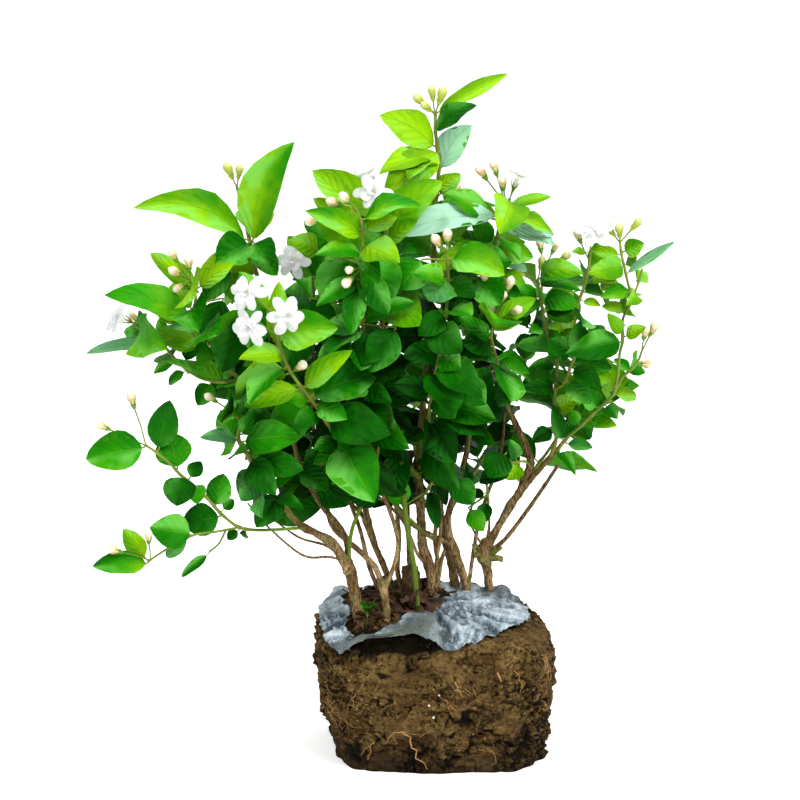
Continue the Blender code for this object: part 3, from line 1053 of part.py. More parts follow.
def make_shoots(collection, cutters, crowd, grown):
    """The leafy shoots: stems, buds and calyxes first, then the leaves that fit between them."""
    draw = random.Random(SEED)
    parts = {}
    for name, shoot in SHOOTS.items():
        stems = []
        bodies = []
        seats = []
        for spots, first, last in shoot["stems"]:
            points = [place(spot) for spot in spots]
            steps = max(len(points) - 1, 1)
            radii = [(first + (last - first) * step / steps) * MM for step in range(len(points))]
            stems.append((points, radii))
            bodies.append(tube(name, points, radii, 4, collection))
            seats.append(tube(name + "_seat", points, [radius + SEAT_GAP for radius in radii], 4, cutters))
            crowd.add_object(bodies[-1], name, "stem")
        grown[name] = seats
        extras = []
        for joint, tips in shoot.get("buds", ()):
            near, radius, _ = nearest_on_stems(place(joint), stems)
            for tip in tips:
                end = place(tip)
                root = near + (end - near).normalized() * radius * 0.2
                size = draw.uniform(0.85, 1.1)
                extras.append(bud_sections(root, end, size * CM, 0.27 * size * CM))
        for joint, centre, facing in shoot.get("blooms", ()):
            toward = bloom_frame(facing)[0]
            near, radius, _ = nearest_on_stems(place(joint), stems)
            neck = place(centre) - toward * 0.95 * CM
            root = near + (neck - near).normalized() * radius * 0.2
            extras.append(calyx_sections(root, neck, toward))
        for sections in extras:
            crowd.add(*loft(sections), name, "bud")
        parts[name] = (stems, bodies, extras)
    return parts


def calyx_sections(root, neck, toward):
    """A bloom's stalk and calyx: a stalk from the stem that widens into a cup below the flower."""
    side = toward.orthogonal().normalized()
    over = toward.cross(side)
    start = neck - toward * 0.35 * CM
    run = (start - root).normalized()
    across = (side - run * side.dot(run)).normalized()
    return [diamond(root, across, run.cross(across), 0.055 * CM, 0.055 * CM),
            diamond(start, side, over, 0.08 * CM, 0.08 * CM),
            diamond(neck, side, over, 0.2 * CM, 0.2 * CM)]


def make_blooms(collection, crowd):
    """Each bloom is a white body of its own, seated on its calyx."""
    made = []
    for shoot in SHOOTS.values():
        for _, centre, facing in shoot.get("blooms", ()):
            name = f"bloom_{len(made) + 1}"
            spot = place(centre)
            bodies, toward = bloom_bodies(spot, facing)
            bottom = spot - toward * (0.95 * CM - SEAT_GAP)
            flower = tube(name, [bottom, spot + toward * 0.45 * CM], [0.13 * CM, 0.27 * CM], 4, collection)
            repeats = []
            crowd.add_object(flower, name, "bloom")
            for index, sections in enumerate(bodies):
                points, faces = loft(sections)
                crowd.add(points, faces, name, "bloom")
                repeats.append(add_object(f"{name}_petal_{index}", mesh_from(name, points, faces), collection))
            fuse(flower, repeats)
            flower.name = name
            made.append(flower)
    return made


def build():
    for old in list(bpy.data.objects):
        bpy.data.objects.remove(old)
    plant = bpy.data.collections.new("root_balled_jasmine")
    cutters = bpy.data.collections.new("cutters")
    for collection in (plant, cutters):
        bpy.context.scene.collection.children.link(collection)

    crowd = Crowd()
    grown = make_wood(plant, cutters, crowd)
    wood_seats = [seat for name in WOOD for seat in grown[name]]
    ball = make_root_ball(plant)
    film = make_film(plant, ball)
    cut(ball, wood_seats)
    cut(film, wood_seats)
    crowd.add_object(film, "nursery_film", "film")

    parts = make_shoots(plant, cutters, crowd, grown)
    blooms = make_blooms(plant, crowd)
    draw = random.Random(SEED + 1)
    leaves = {name: [] for name in SHOOTS}
    for name, shoot in SHOOTS.items():
        for leaf in shoot["leaves"]:
            sections = shaped_leaf(crowd, name, parts[name][0], leaf, draw)
            if sections:
                crowd.add(*loft(sections), name, "leaf")
                leaves[name].append(sections)
            else:
                print("no room for a leaf of", name, leaf[1])
    for name, shoot in SHOOTS.items():
        leaves[name] += grown_leaves(crowd, name, parts[name][0], shoot["fill"], draw)

    for name, (stems, bodies, extras) in parts.items():
        repeats = bodies[1:]
        for index, sections in enumerate(extras + leaves[name]):
            points, faces = loft(sections)
            repeats.append(add_object(f"{name}_{index}", mesh_from(name, points, faces), plant))
        fuse(bodies[0], repeats)
        cut(bodies[0], grown[SHOOTS[name]["grows_on"]])
        bodies[0].name = name
        print(name, "leaves", len(leaves[name]), "triangles", len(bodies[0].data.polygons))

    finishes = {"leaf": (GREEN, 0.35), "bark": (BARK, 0.85), "soil": (SOIL, 0.95), "film": (FILM, 0.4),
                "petal": (WHITE, 0.5)}
    for made in list(plant.objects):
        kind = "leaf"
        if made.name in WOOD:
            kind = "bark"
        elif made in blooms:
            kind = "petal"
        elif made is ball:
            kind = "soil"
        elif made is film:
            kind = "film"
        colour, roughness = finishes[kind]
        made.data.materials.clear()
        made.data.materials.append(material(made.name, colour, roughness))
    for seat in cutters.objects:
        seat.hide_render = True
        seat.display_type = "WIRE"
    print("leaves in all", sum(len(found) for found in leaves.values()),
          "triangles in all", sum(len(made.data.polygons) for made in plant.objects))


build()
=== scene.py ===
"""Looks for the root-balled jasmine: fine leaves, buds, petals, bark, film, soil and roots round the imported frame.

Plant positions are in centimetres as seen from straight in front: how far across, how far up, and how far
behind the middle of the root ball. They are the ones the solids were made from.
"""
import math
import random

import bmesh
import bpy
from mathutils import Matrix, Vector, noise
from mathutils.bvhtree import BVHTree


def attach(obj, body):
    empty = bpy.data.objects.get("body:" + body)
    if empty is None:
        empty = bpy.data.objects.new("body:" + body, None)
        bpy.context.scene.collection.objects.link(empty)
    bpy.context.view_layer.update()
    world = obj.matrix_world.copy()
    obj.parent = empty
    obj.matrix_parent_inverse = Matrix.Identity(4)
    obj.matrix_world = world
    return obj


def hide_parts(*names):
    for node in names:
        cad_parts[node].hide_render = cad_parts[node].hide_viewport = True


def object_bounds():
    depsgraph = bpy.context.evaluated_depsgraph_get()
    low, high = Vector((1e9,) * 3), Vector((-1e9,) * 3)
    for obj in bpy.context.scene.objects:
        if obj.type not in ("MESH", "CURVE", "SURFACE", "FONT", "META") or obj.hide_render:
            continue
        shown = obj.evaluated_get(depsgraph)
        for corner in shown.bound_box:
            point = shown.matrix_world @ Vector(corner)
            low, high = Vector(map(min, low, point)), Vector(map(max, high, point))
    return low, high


bl_info = {
    "name": "Root-balled Jasmine",
    "version": (1, 0, 0),
    "blender": (4, 5, 0),
    "location": "View3D > Sidebar > Jasmine",
    "description": "Dresses the packed jasmine plant with leaves, blooms, bark, film and soil",
    "category": "Object",
}

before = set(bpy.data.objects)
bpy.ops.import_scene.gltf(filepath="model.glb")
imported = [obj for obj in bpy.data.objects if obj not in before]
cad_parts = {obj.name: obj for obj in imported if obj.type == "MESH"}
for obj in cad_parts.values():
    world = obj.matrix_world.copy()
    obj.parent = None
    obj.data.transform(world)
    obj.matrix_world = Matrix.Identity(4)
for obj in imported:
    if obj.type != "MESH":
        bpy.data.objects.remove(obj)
CAD_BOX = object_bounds()

CM = 0.01
MM = 0.001

EYE_ACROSS = -2.43
EYE_UP = 67.28
EYE_FRONT = 195.63

# Root ball, in centimetres
BALL_HALF_WIDTH = 8.45
BALL_HALF_DEPTH = 7.55
BALL_HALF_HEIGHT = 5.2
BALL_MIDDLE = 5.0
BALL_SQUARENESS = 3.8
BALL_RIM_SHARPNESS = 6.0
BALL_RIGHT_RIM_SHARPNESS = 2.7
BALL_FOOT_SHARPNESS = 20.0
SOIL_RELIEF = 0.3
CLOD_RELIEF = 0.42
BALL_TAPER = (0.9936, 0.08, -0.039)
BALL_SHIFT = (0.28, -0.195, -0.085)
SOIL_SEGMENTS = 430
SOIL_RINGS = 220

# Hollows and cracks in the front of the soil: where, half their width and height, and depth, in centimetres
HOLLOWS = ((2.2, 1.9, 1.2, 0.16, 0.3), (-5.9, -1.2, 0.7, 0.6, 0.35), (-2.0, 5.8, 0.2, 0.7, 0.25),
           (-3.8, 4.9, 0.6, 0.35, 0.3), (6.9, 0.3, 0.18, 0.7, 0.25), (0.9, 4.0, 0.3, 0.6, 0.2),
           (3.4, 2.6, 0.8, 0.12, 0.2), (6.3, 5.0, 0.6, 0.13, 0.25), (1.3, -1.4, 1.4, 0.4, 0.2),
           (-0.6, 1.6, 0.15, 0.5, 0.2), (5.2, -0.3, 0.8, 0.12, 0.2), (-7.0, 1.2, 0.5, 0.3, 0.25))

# Film: height over the soil, how far its outer edge and its hole reach at equal steps from +X in degrees from
# the top and from the hole's own middle, its arch over the hollow at the front, and the lines and spokes of its
# mesh
FILM_STANDOFF = 0.2
FILM_OUTER = (45, 44, 43, 43, 43, 43, 43, 43, 44, 44, 44, 44, 44, 45, 46, 47, 48, 48, 48, 47, 46, 46, 48, 50, 43,
              41, 41, 46, 47, 43, 40, 37.5, 37.5, 39, 41.5, 43)
FILM_HOLE = (8, 9, 13, 22, 36, 36, 33, 31, 30, 27, 24, 22, 20, 20, 22, 25, 28, 34, 22, 14, 10, 8, 7.5, 7.5)
FILM_HOLE_MIDDLE = -15
FILM_BRIDGE = 0.65
FILM_LINES = 64
FILM_SPOKES = 520
# Pleats of the film: where in degrees from +X, half their width in degrees, and height in centimetres
FILM_PLEATS = ((278, 3.2, -0.42), (285, 3.5, 0.3), (270, 3.0, 0.2), (304, 2.2, -0.16), (313, 2.6, 0.2),
               (322, 2.2, -0.2), (331, 2.4, 0.22), (340, 2.2, -0.2), (349, 2.6, 0.2), (0, 2.4, -0.2),
               (12, 3.0, 0.2), (28, 3.0, -0.2), (50, 4.0, 0.15), (95, 4.0, -0.2), (140, 4.0, 0.2),
               (186, 3.0, -0.35), (196, 3.5, 0.3), (206, 3.0, -0.35), (216, 3.5, 0.3), (226, 2.6, -0.25))
# Bigger roots on the front of the soil: their points across and up in centimetres, and radius in millimetres
ROOTS = (((-2.28, 0.99), (-1.7, 0.2), (-1.3, -0.9), (-0.85, -1.5), (-0.45, -2.2), 0.75),
         ((-2.28, 0.99), (-2.9, 0.75), (-3.5, -0.1), (-3.7, -0.4), 0.4), ((-2.28, 0.99), (-1.5, 0.7), (-1.0, 0.6), 0.3),
         ((-4.3, -0.1), (-4.6, -0.9), (-4.9, -1.5), (-5.3, -2.0), 0.4), ((-4.6, -0.9), (-5.1, -1.0), (-5.6, -1.6), 0.3),
         ((0.9, 3.3), (1.4, 2.7), (1.7, 2.3), 0.35), ((1.0, 3.0), (1.3, 2.2), (1.5, 1.9), 0.3),
         ((2.9, 4.1), (3.3, 3.3), (3.5, 3.0), 0.35), ((4.0, -0.6), (4.6, -1.4), (4.4, -2.0), 0.3),
         ((-5.7, 3.6), (-6.3, 2.6), (-6.6, 1.8), 0.3), ((5.9, 5.6), (6.5, 4.6), (6.4, 3.8), 0.3),
         ((1.65, 4.8), (1.85, 4.2), (2.1, 3.5), 0.55), ((1.5, 4.4), (2.1, 4.1), (2.6, 3.6), 0.4),
         ((1.8, 4.75), (2.3, 4.4), (2.7, 3.8), 0.35), ((4.8, 5.25), (4.9, 4.9), (5.0, 4.6), 0.75),
         ((-0.34, 2.84), (-0.28, 2.72), 0.95), ((0.1, 2.04), (0.16, 1.9), 1.15), ((-7.4, 3.5), (-7.35, 3.38), 0.9),
         ((0.4, 3.8), (0.45, 3.7), 0.85))
# Where fibres lie thick: across, up, how far they spread each way in centimetres, and how many
FIBRES = ((-7.2, 2.8, 0.5, 0.8, 46), (-5.4, 2.4, 1.0, 0.9, 16), (7.9, 5.8, 0.4, 0.6, 22), (-5.6, 0.8, 1.2, 0.8, 20),
          (7.5, 2.6, 0.5, 1.0, 12))

# Gap between pieces that touch, and the clearance looked for round a leaf
SEAT_GAP = 0.35 * MM
CLEARANCE = 0.55 * MM

# Leaves of the solids, in centimetres
LEAF_THICKNESS = 0.09
SMALL_LEAF = 2.4
PETIOLE = 0.4
DEPTHS = (0, -0.5, 0.5, -1.0, 1.0, -1.6, 1.6, -2.3, 2.3)
SEED = 2236

# Petals of a bloom in layers from the outside: how many, length and width in centimetres, lean towards the
# front in degrees, arch, curl, fold, turn of the first, and how far forward they start in centimetres
PETAL_LAYERS = ((6, 1.38, 0.8, 2, -0.02, 0.1, 0.14, 0.0, 0.0),
                (4, 1.04, 0.76, 26, -0.08, 0.06, 0.2, 0.5, 0.08),
                (3, 0.66, 0.6, 52, -0.2, -0.1, 0.35, 0.3, 0.12))
# Woody stems: each branch is a run of (across, up, behind, radius in millimetres)
WOOD = {
    "stem_left": [
        [(-5.3, 8.2, -1.6, 4.6), (-5.4, 9.5, -1.7, 4.5), (-5.7, 11.3, -1.9, 4.3), (-5.95, 12.6, -2.1, 4.4),
         (-6.3, 13.7, -2.4, 4.7)],
        [(-6.1, 13.1, -2.2, 3.8), (-7.2, 15.0, -2.9, 4.1), (-8.4, 15.8, -3.4, 3.2), (-9.5, 16.4, -3.8, 2.8),
         (-10.4, 17.3, -4.2, 2.4), (-10.9, 18.1, -4.4, 2.0)],
        [(-6.2, 13.4, -2.2, 3.2), (-6.3, 15.3, -1.7, 2.5), (-6.9, 16.5, -1.4, 2.1), (-8.0, 17.8, -1.2, 2.2),
         (-8.7, 19.0, -1.1, 2.0), (-9.4, 20.2, -1.1, 1.8)],
    ],
    "stem_front": [
        [(-3.2, 7.8, -2.6, 3.4), (-3.3, 9.2, -2.7, 3.2), (-3.5, 11.0, -2.8, 3.0), (-3.7, 12.4, -2.9, 3.0)],
        [(-3.62, 11.6, -2.84, 2.2), (-4.2, 13.3, -2.4, 2.4), (-5.1, 14.3, -1.5, 2.3), (-6.1, 15.2, -0.6, 2.2),
         (-7.2, 16.2, -0.1, 2.0), (-7.6, 17.4, 0.3, 1.9)],
        [(-3.5, 11.85, -2.9, 2.0), (-2.9, 13.3, -3.0, 1.8), (-2.6, 14.6, -2.9, 1.7), (-2.7, 16.0, -2.8, 1.6),
         (-3.3, 17.9, -2.7, 1.6), (-4.0, 19.5, -2.7, 1.5), (-4.4, 20.2, -2.8, 1.5)],
    ],
    "stump": [
        [(-1.7, 8.3, 0.6, 7.2), (-1.65, 10.2, 0.6, 7.4), (-1.6, 11.8, 0.7, 7.3), (-1.75, 13.4, 0.7, 6.4)],
    ],
    "stem_middle": [
        [(-0.1, 8.6, 1.2, 4.6), (-0.1, 10.4, 1.2, 4.4), (-0.1, 12.0, 1.2, 4.3), (-0.4, 13.6, 1.1, 4.5),
         (-0.8, 15.0, 1.0, 4.0), (-0.9, 16.5, 0.9, 3.6), (-1.0, 18.5, 0.8, 3.3), (-1.1, 20.3, 0.8, 3.1),
         (-1.1, 21.2, 0.8, 2.6)],
        [(0.1, 11.6, 1.1, 2.0), (0.4, 12.8, 0.9, 1.8), (0.55, 13.8, 0.9, 1.7), (0.8, 14.6, 1.0, 1.6)],
    ],
    "stem_dark_back": [
        [(-2.6, 9.0, 3.4, 3.0), (-2.9, 11.5, 3.2, 2.8), (-3.5, 13.2, 3.0, 2.6), (-4.1, 14.6, 2.8, 2.6),
         (-4.6, 16.3, 2.6, 2.5), (-5.0, 18.0, 2.5, 2.4), (-5.6, 20.2, 2.3, 2.1)],
    ],
    "stem_twin_back": [
        [(1.65, 9.8, 4.4, 4.0), (1.6, 11.4, 4.2, 3.8), (1.35, 13.2, 4.0, 3.4), (0.9, 14.9, 3.7, 3.0),
         (0.6, 16.4, 3.6, 2.6), (0.45, 18.3, 3.8, 2.2), (0.35, 20.0, 4.2, 2.0)],
    ],
    "stem_twin_front": [
        [(2.55, 9.6, 3.2, 4.0), (2.45, 11.4, 3.1, 3.8), (2.05, 13.0, 2.9, 3.5), (1.5, 14.5, 2.6, 3.4),
         (1.05, 16.0, 2.5, 3.0), (1.05, 17.2, 2.5, 2.7), (1.4, 18.5, 2.5, 2.5), (1.9, 20.2, 2.7, 2.2),
         (2.4, 22.0, 2.9, 2.0)],
        [(1.5, 14.5, 2.6, 2.4), (0.9, 15.15, 2.0, 2.3), (0.3, 15.5, 0.9, 2.2), (-0.3, 15.8, 0.0, 2.1),
         (-1.0, 16.15, -0.3, 2.0), (-2.0, 16.9, -0.6, 1.9), (-2.6, 17.8, -1.0, 1.9), (-3.4, 19.2, -1.5, 1.8),
         (-3.8, 20.5, -1.9, 1.7), (-4.3, 22.0, -2.3, 1.6), (-4.6, 23.3, -2.7, 1.5), (-5.0, 24.8, -3.1, 1.5)],
    ],
    "stem_right": [
        [(4.05, 10.0, 4.4, 4.2), (4.0, 12.0, 4.3, 4.0), (3.85, 13.4, 4.2, 3.8), (3.65, 14.1, 4.1, 6.4),
         (3.7, 14.8, 4.1, 5.2), (4.3, 15.7, 4.0, 3.4), (4.9, 16.8, 3.9, 3.0), (5.5, 17.9, 3.8, 3.2),
         (6.3, 19.1, 3.6, 3.2), (7.4, 20.4, 3.4, 2.6), (8.3, 21.4, 3.2, 2.2), (8.9, 22.1, 3.1, 2.0)],
        [(6.1, 18.8, 3.6, 2.6), (6.5, 20.0, 3.3, 2.6), (6.95, 21.0, 3.0, 2.8), (6.6, 22.3, 2.7, 3.0),
         (6.0, 23.6, 2.4, 2.8), (5.3, 25.1, 2.1, 2.6), (4.9, 26.4, 1.8, 2.2), (4.65, 27.3, 1.5, 1.8)],
        [(3.8, 15.0, 4.1, 1.4), (4.0, 16.4, 3.9, 1.2), (3.95, 17.9, 3.6, 1.1)],
    ],
}

# Leafy shoots. grows_on names what carries the shoot; stems are runs of (across, up, behind) with the
# radius in millimetres at both ends; a leaf is (foot, tip, width, turn, arch), its turn 0 lying flat and 90
# facing the front; buds are (joint, [tips]); fill is how many more pairs grow along the stems.
SHOOTS = {
    "top_shoot": {
        "grows_on": "stem_middle",
        "stems": [([(-1.1, 20.9, 0.8), (-1.0, 23.5, 0.9), (-0.65, 26.5, 0.8), (-0.45, 30.0, 0.6),
                    (-0.2, 33.4, 0.4), (-0.05, 36.6, 0.2), (0.05, 39.4, 0.0), (0.3, 42.3, -0.1),
                    (0.25, 43.5, -0.1), (0.05, 44.9, 0.0), (0.05, 46.2, 0.1)], 2.1, 1.0)],
        "leaves": [
            ((0.05, 43.7, -0.1), (-3.8, 46.1, -0.8), 2.6, 62, 0.06),
            ((0.1, 43.2, -0.3), (-3.9, 42.0, -2.4), 2.4, 55, 0.14),
            ((0.15, 45.0, -0.3), (2.9, 46.8, -1.0), 1.8, 45, 0.16),
            ((0.3, 46.3, 0.3), (5.07, 49.1, 1.2), 1.5, 38, 0.05),
            ((0.5, 42.4, 0.1), (2.6, 45.4, 0.9), 2.1, 75, 0.04),
            ((0.4, 40.5, 0.3), (1.8, 42.0, 0.9), 1.3, 62, 0.05),
            ((-0.2, 39.5, -0.3), (-2.6, 40.7, -1.9), 1.5, 50, 0.16),
            ((0.2, 37.2, -0.1), (2.6, 38.7, -1.2), 1.8, 65, 0.10),
            ((-0.3, 36.6, -0.1), (-3.1, 38.2, -2.3), 2.3, 60, 0.14),
        ],
        "buds": [((0.05, 46.1, 0.1), [(-1.3, 47.3, 0.1), (-0.8, 46.8, -0.5), (-0.25, 47.9, 0.4),
                                      (0.55, 47.8, 0.1)])],
        "fill": 3,
    },
    "upper_left_shoot": {
        "grows_on": "stem_left",
        "stems": [([(-9.35, 20.0, -1.1), (-10.0, 22.4, -0.9), (-10.7, 25.4, -0.6), (-11.4, 29.0, -0.3),
                    (-12.0, 32.8, -0.2), (-12.6, 35.0, -0.3), (-13.0, 37.0, -0.4), (-13.5, 39.2, -0.1),
                    (-13.9, 41.0, 0.1)], 1.9, 0.9)],
        "leaves": [
            ((-13.4, 37.3, -0.7), (-21.2, 39.6, -2.5), 2.7, 52, 0.17),
            ((-12.8, 37.3, -0.6), (-9.85, 44.2, -0.2), 3.0, 72, 0.03),
            ((-13.3, 36.8, -0.8), (-15.6, 35.0, -2.4), 1.8, 62, 0.10),
            ((-12.7, 36.7, -0.8), (-11.1, 34.7, -2.2), 1.8, 66, 0.10),
            ((-12.8, 37.8, 0.1), (-11.3, 39.2, 1.1), 1.2, 60, 0.05),
            ((-10.3, 23.0, -1.1), (-12.5, 24.5, -3.0), 2.1, 72, 0.06),
            ((-10.1, 22.7, -1.2), (-12.3, 22.1, -3.2), 0.9, 50, 0.15),
            ((-9.8, 20.8, -1.3), (-11.7, 19.0, -3.0), 0.9, 55, 0.10),
            ((-9.5, 21.0, -1.3), (-7.7, 21.9, -2.6), 1.2, 60, 0.10),
            ((-9.3, 20.4, -1.4), (-6.4, 18.4, -3.0), 1.5, 66, 0.15),
            ((-10.9, 25.4, -0.9), (-13.5, 24.0, 1.6), 1.0, 67, 0.12),
        ],
        "buds": [((-13.9, 41.0, 0.1), [(-14.6, 42.5, 0.2), (-13.7, 42.4, -0.3)])],
        "fill": 3,
    },
    "left_bud_shoot": {
        "grows_on": "upper_left_shoot",
        "stems": [([(-10.7, 25.4, -0.6), (-12.2, 26.2, -2.0), (-13.8, 27.2, -3.0), (-15.4, 28.6, -3.5),
                    (-16.6, 30.2, -3.8), (-17.2, 31.6, -4.0), (-16.9, 33.0, -4.2), (-17.3, 34.4, -4.4)],
                   1.4, 0.9)],
        "leaves": [
            ((-17.5, 31.6, -4.1), (-23.4, 33.3, -5.6), 2.4, 56, 0.12),
            ((-16.8, 33.6, -4.0), (-20.1, 36.4, -2.6), 1.6, 62, 0.08),
            ((-16.6, 33.9, -4.3), (-14.2, 35.6, -4.6), 1.4, 60, 0.10),
            ((-16.9, 30.6, -3.9), (-18.8, 31.0, -5.0), 0.9, 50, 0.20),
        ],
        "buds": [((-17.3, 34.3, -4.4), [(-18.6, 36.4, -4.5), (-17.4, 35.9, -4.2), (-18.6, 35.1, -4.9),
                                        (-18.3, 33.7, -4.6)])],
        "fill": 1,
    },
    "left_low_shoot": {
        "grows_on": "left_bud_shoot",
        "stems": [([(-13.8, 27.2, -3.0), (-15.4, 27.0, -2.2), (-17.0, 27.5, -1.8), (-18.2, 28.4, -1.8),
                    (-19.2, 29.6, -2.0), (-20.3, 30.5, -2.1), (-21.2, 31.0, -2.2)], 1.1, 0.8)],
        "leaves": [
            ((-19.6, 29.8, -2.2), (-24.8, 29.1, -3.4), 1.2, 45, 0.05),
            ((-18.9, 29.4, -1.8), (-19.5, 31.7, -1.2), 1.0, 70, 0.10),
            ((-18.4, 28.5, -2.0), (-20.0, 27.6, -2.8), 0.9, 50, 0.10),
            ((-17.6, 27.9, -1.7), (-19.0, 26.8, -1.2), 0.9, 50, 0.10),
            ((-15.8, 27.2, -2.3), (-16.9, 25.3, -3.2), 1.5, 65, 0.05),
            ((-16.3, 27.5, -1.9), (-15.2, 29.6, -2.3), 1.0, 65, 0.10),
        ],
        "buds": [((-20.3, 30.5, -2.1), [(-21.5, 31.9, -1.5)])],
        "blooms": [((-21.2, 31.0, -2.2), (-22.5, 31.8, -2.7), (-0.8, 0.45, -0.4))],
        "fill": 0,
    },
    "left_dark_shoot": {
        "grows_on": "stem_left",
        "stems": [([(-10.85, 18.0, -4.4), (-11.7, 18.8, -4.8), (-12.6, 20.3, -5.2), (-13.3, 21.6, -5.5),
                    (-14.0, 22.8, -5.7), (-13.9, 24.3, -5.8), (-14.8, 25.1, -5.9)], 1.9, 1.0)],
        "leaves": [
            ((-14.2, 23.0, -5.5), (-15.3, 25.0, -4.4), 1.8, 72, 0.08),
            ((-14.2, 22.8, -6.0), (-16.7, 23.0, -6.9), 1.2, 55, 0.10),
            ((-13.7, 23.2, -5.9), (-12.8, 25.0, -6.7), 1.2, 65, 0.10),
            ((-12.3, 19.9, -5.4), (-13.9, 18.3, -6.0), 1.6, 70, 0.12),
            ((-12.5, 20.6, -5.0), (-10.9, 21.9, -5.3), 0.9, 55, 0.12),
            ((-11.1, 18.6, -4.9), (-12.8, 16.3, -6.2), 1.9, 70, 0.08),
            ((-11.4, 18.4, -5.0), (-9.4, 17.7, -6.0), 1.4, 65, 0.10),
            ((-13.9, 24.3, -6.0), (-12.4, 26.6, -7.0), 1.3, 65, 0.10),
        ],
        "buds": [((-14.8, 25.1, -5.9), [(-16.2, 26.0, -6.2)])],
        "fill": 0,
    },
    "lower_left_spray": {
        "grows_on": "stem_left",
        "stems": [([(-9.3, 16.3, -3.8), (-10.4, 16.2, -4.8), (-12.6, 16.1, -5.4), (-14.0, 16.3, -5.7),
                    (-15.2, 17.2, -5.9), (-16.0, 18.1, -6.0), (-17.0, 19.2, -6.1), (-18.2, 20.2, -6.2),
                    (-19.0, 21.1, -6.3), (-20.1, 22.0, -6.4), (-20.7, 22.4, -6.4)], 1.2, 0.8)],
        "leaves": [
            ((-20.9, 22.2, -6.6), (-25.0, 21.4, -7.2), 2.9, 66, 0.06),
            ((-19.7, 22.2, -6.1), (-18.9, 25.7, -5.4), 2.2, 74, 0.04),
            ((-18.4, 20.8, -6.0), (-18.9, 23.3, -5.0), 2.7, 76, 0.05),
            ((-18.1, 20.0, -6.5), (-18.5, 17.9, -7.4), 2.4, 74, 0.06),
            ((-17.6, 19.9, -6.0), (-16.7, 21.2, -5.3), 1.2, 65, 0.05),
            ((-15.7, 18.0, -5.7), (-15.1, 20.3, -5.0), 1.8, 76, 0.06),
            ((-16.3, 18.3, -6.2), (-17.7, 19.2, -6.8), 1.5, 68, 0.06),
            ((-15.3, 17.0, -5.9), (-18.2, 16.6, -5.6), 2.4, 74, 0.05),
            ((-15.3, 17.5, -5.8), (-14.4, 18.4, -5.4), 0.9, 66, 0.05),
            ((-13.9, 16.1, -5.8), (-14.9, 15.4, -6.6), 0.9, 60, 0.05),
            ((-13.5, 16.3, -5.6), (-13.7, 15.5, -4.6), 0.7, 60, 0.05),
        ],
        "buds": [((-20.6, 22.4, -6.4), [(-21.7, 26.1, -6.2), (-24.0, 23.9, -7.2)])],
        "fill": 0,
    },
    "bottom_left_spray": {
        "grows_on": "lower_left_spray",
        "stems": [([(-14.1, 16.3, -5.7), (-15.6, 16.0, -7.2), (-17.4, 15.7, -7.9), (-19.1, 14.8, -8.2),
                    (-20.6, 13.8, -8.3)], 0.9, 0.8),
                  ([(-15.0, 16.1, -6.6), (-15.5, 15.1, -6.7), (-16.2, 14.5, -6.7)], 0.8, 0.7)],
        "leaves": [
            ((-17.6, 15.8, -8.1), (-20.5, 16.3, -8.8), 2.6, 72, 0.06),
            ((-17.5, 15.4, -7.9), (-19.4, 14.1, -7.0), 1.2, 62, 0.08),
            ((-18.9, 15.3, -8.0), (-18.0, 16.8, -7.4), 1.2, 68, 0.05),
            ((-20.8, 13.6, -8.4), (-24.7, 13.4, -9.0), 1.8, 58, 0.12),
            ((-20.9, 14.1, -8.2), (-22.4, 16.2, -7.8), 1.5, 72, 0.06),
            ((-16.4, 14.2, -6.7), (-18.3, 12.6, -7.0), 0.8, 55, 0.05),
        ],
        "buds": [((-20.5, 13.9, -8.2), [(-23.4, 14.7, -9.4), (-20.6, 15.9, -9.0)])],
        "fill": 0,
    },
    "front_left_shoot": {
        "grows_on": "stem_front",
        "stems": [([(-4.35, 20.1, -2.8), (-5.2, 21.2, -3.6), (-5.95, 22.05, -4.3), (-6.9, 22.95, -5.0),
                    (-7.5, 23.8, -5.5), (-8.3, 25.1, -6.1), (-9.3, 26.4, -6.7), (-10.0, 27.4, -7.1),
                    (-10.6, 28.5, -7.5), (-11.2, 30.4, -7.6), (-11.7, 32.2, -7.6)], 1.6, 1.0)],
        "leaves": [
            ((-10.8, 28.9, -7.9), (-13.9, 28.7, -9.6), 1.7, 56, 0.14),
            ((-11.1, 29.8, -7.3), (-11.0, 34.3, -6.6), 1.7, 78, 0.04),
            ((-9.2, 26.7, -7.0), (-6.0, 29.3, -8.6), 1.7, 62, 0.08),
            ((-9.6, 26.4, -7.0), (-13.6, 25.2, -9.0), 1.9, 60, 0.14),
            ((-8.4, 24.7, -6.3), (-10.0, 23.8, -7.8), 1.6, 66, 0.08),
            ((-8.0, 25.2, -5.8), (-6.9, 26.7, -5.2), 1.2, 62, 0.08),
            ((-5.8, 21.5, -4.3), (-7.3, 19.5, -5.8), 1.5, 68, 0.06),
            ((-5.5, 21.9, -4.2), (-4.4, 23.1, -4.8), 1.1, 64, 0.06),
            ((-6.9, 23.2, -4.8), (-6.4, 25.0, -4.6), 1.3, 70, 0.08),
            ((-7.2, 22.9, -5.4), (-8.6, 22.0, -6.6), 1.1, 64, 0.10),
            ((-11.9, 32.3, -7.4), (-13.8, 35.0, -6.8), 1.5, 64, 0.10),
        ],
        "blooms": [((-11.7, 32.2, -7.6), (-10.5, 31.8, -9.4), (0.35, 0.1, -0.93)),
                   ((-11.7, 32.2, -7.6), (-13.2, 33.5, -9.0), (-0.4, 0.35, -0.85)),
                   ((-11.2, 30.4, -7.6), (-13.1, 31.0, -9.3), (-0.45, -0.05, -0.9))],
        "buds": [((-10.2, 27.7, -7.2), [(-9.3, 28.3, -8.1)])],
        "fill": 0,
    },
    "centre_shoot": {
        "grows_on": "stem_twin_front",
        "stems": [([(-4.97, 24.6, -3.1), (-5.2, 26.4, -3.7), (-5.15, 28.8, -4.4), (-5.05, 31.4, -5.0),
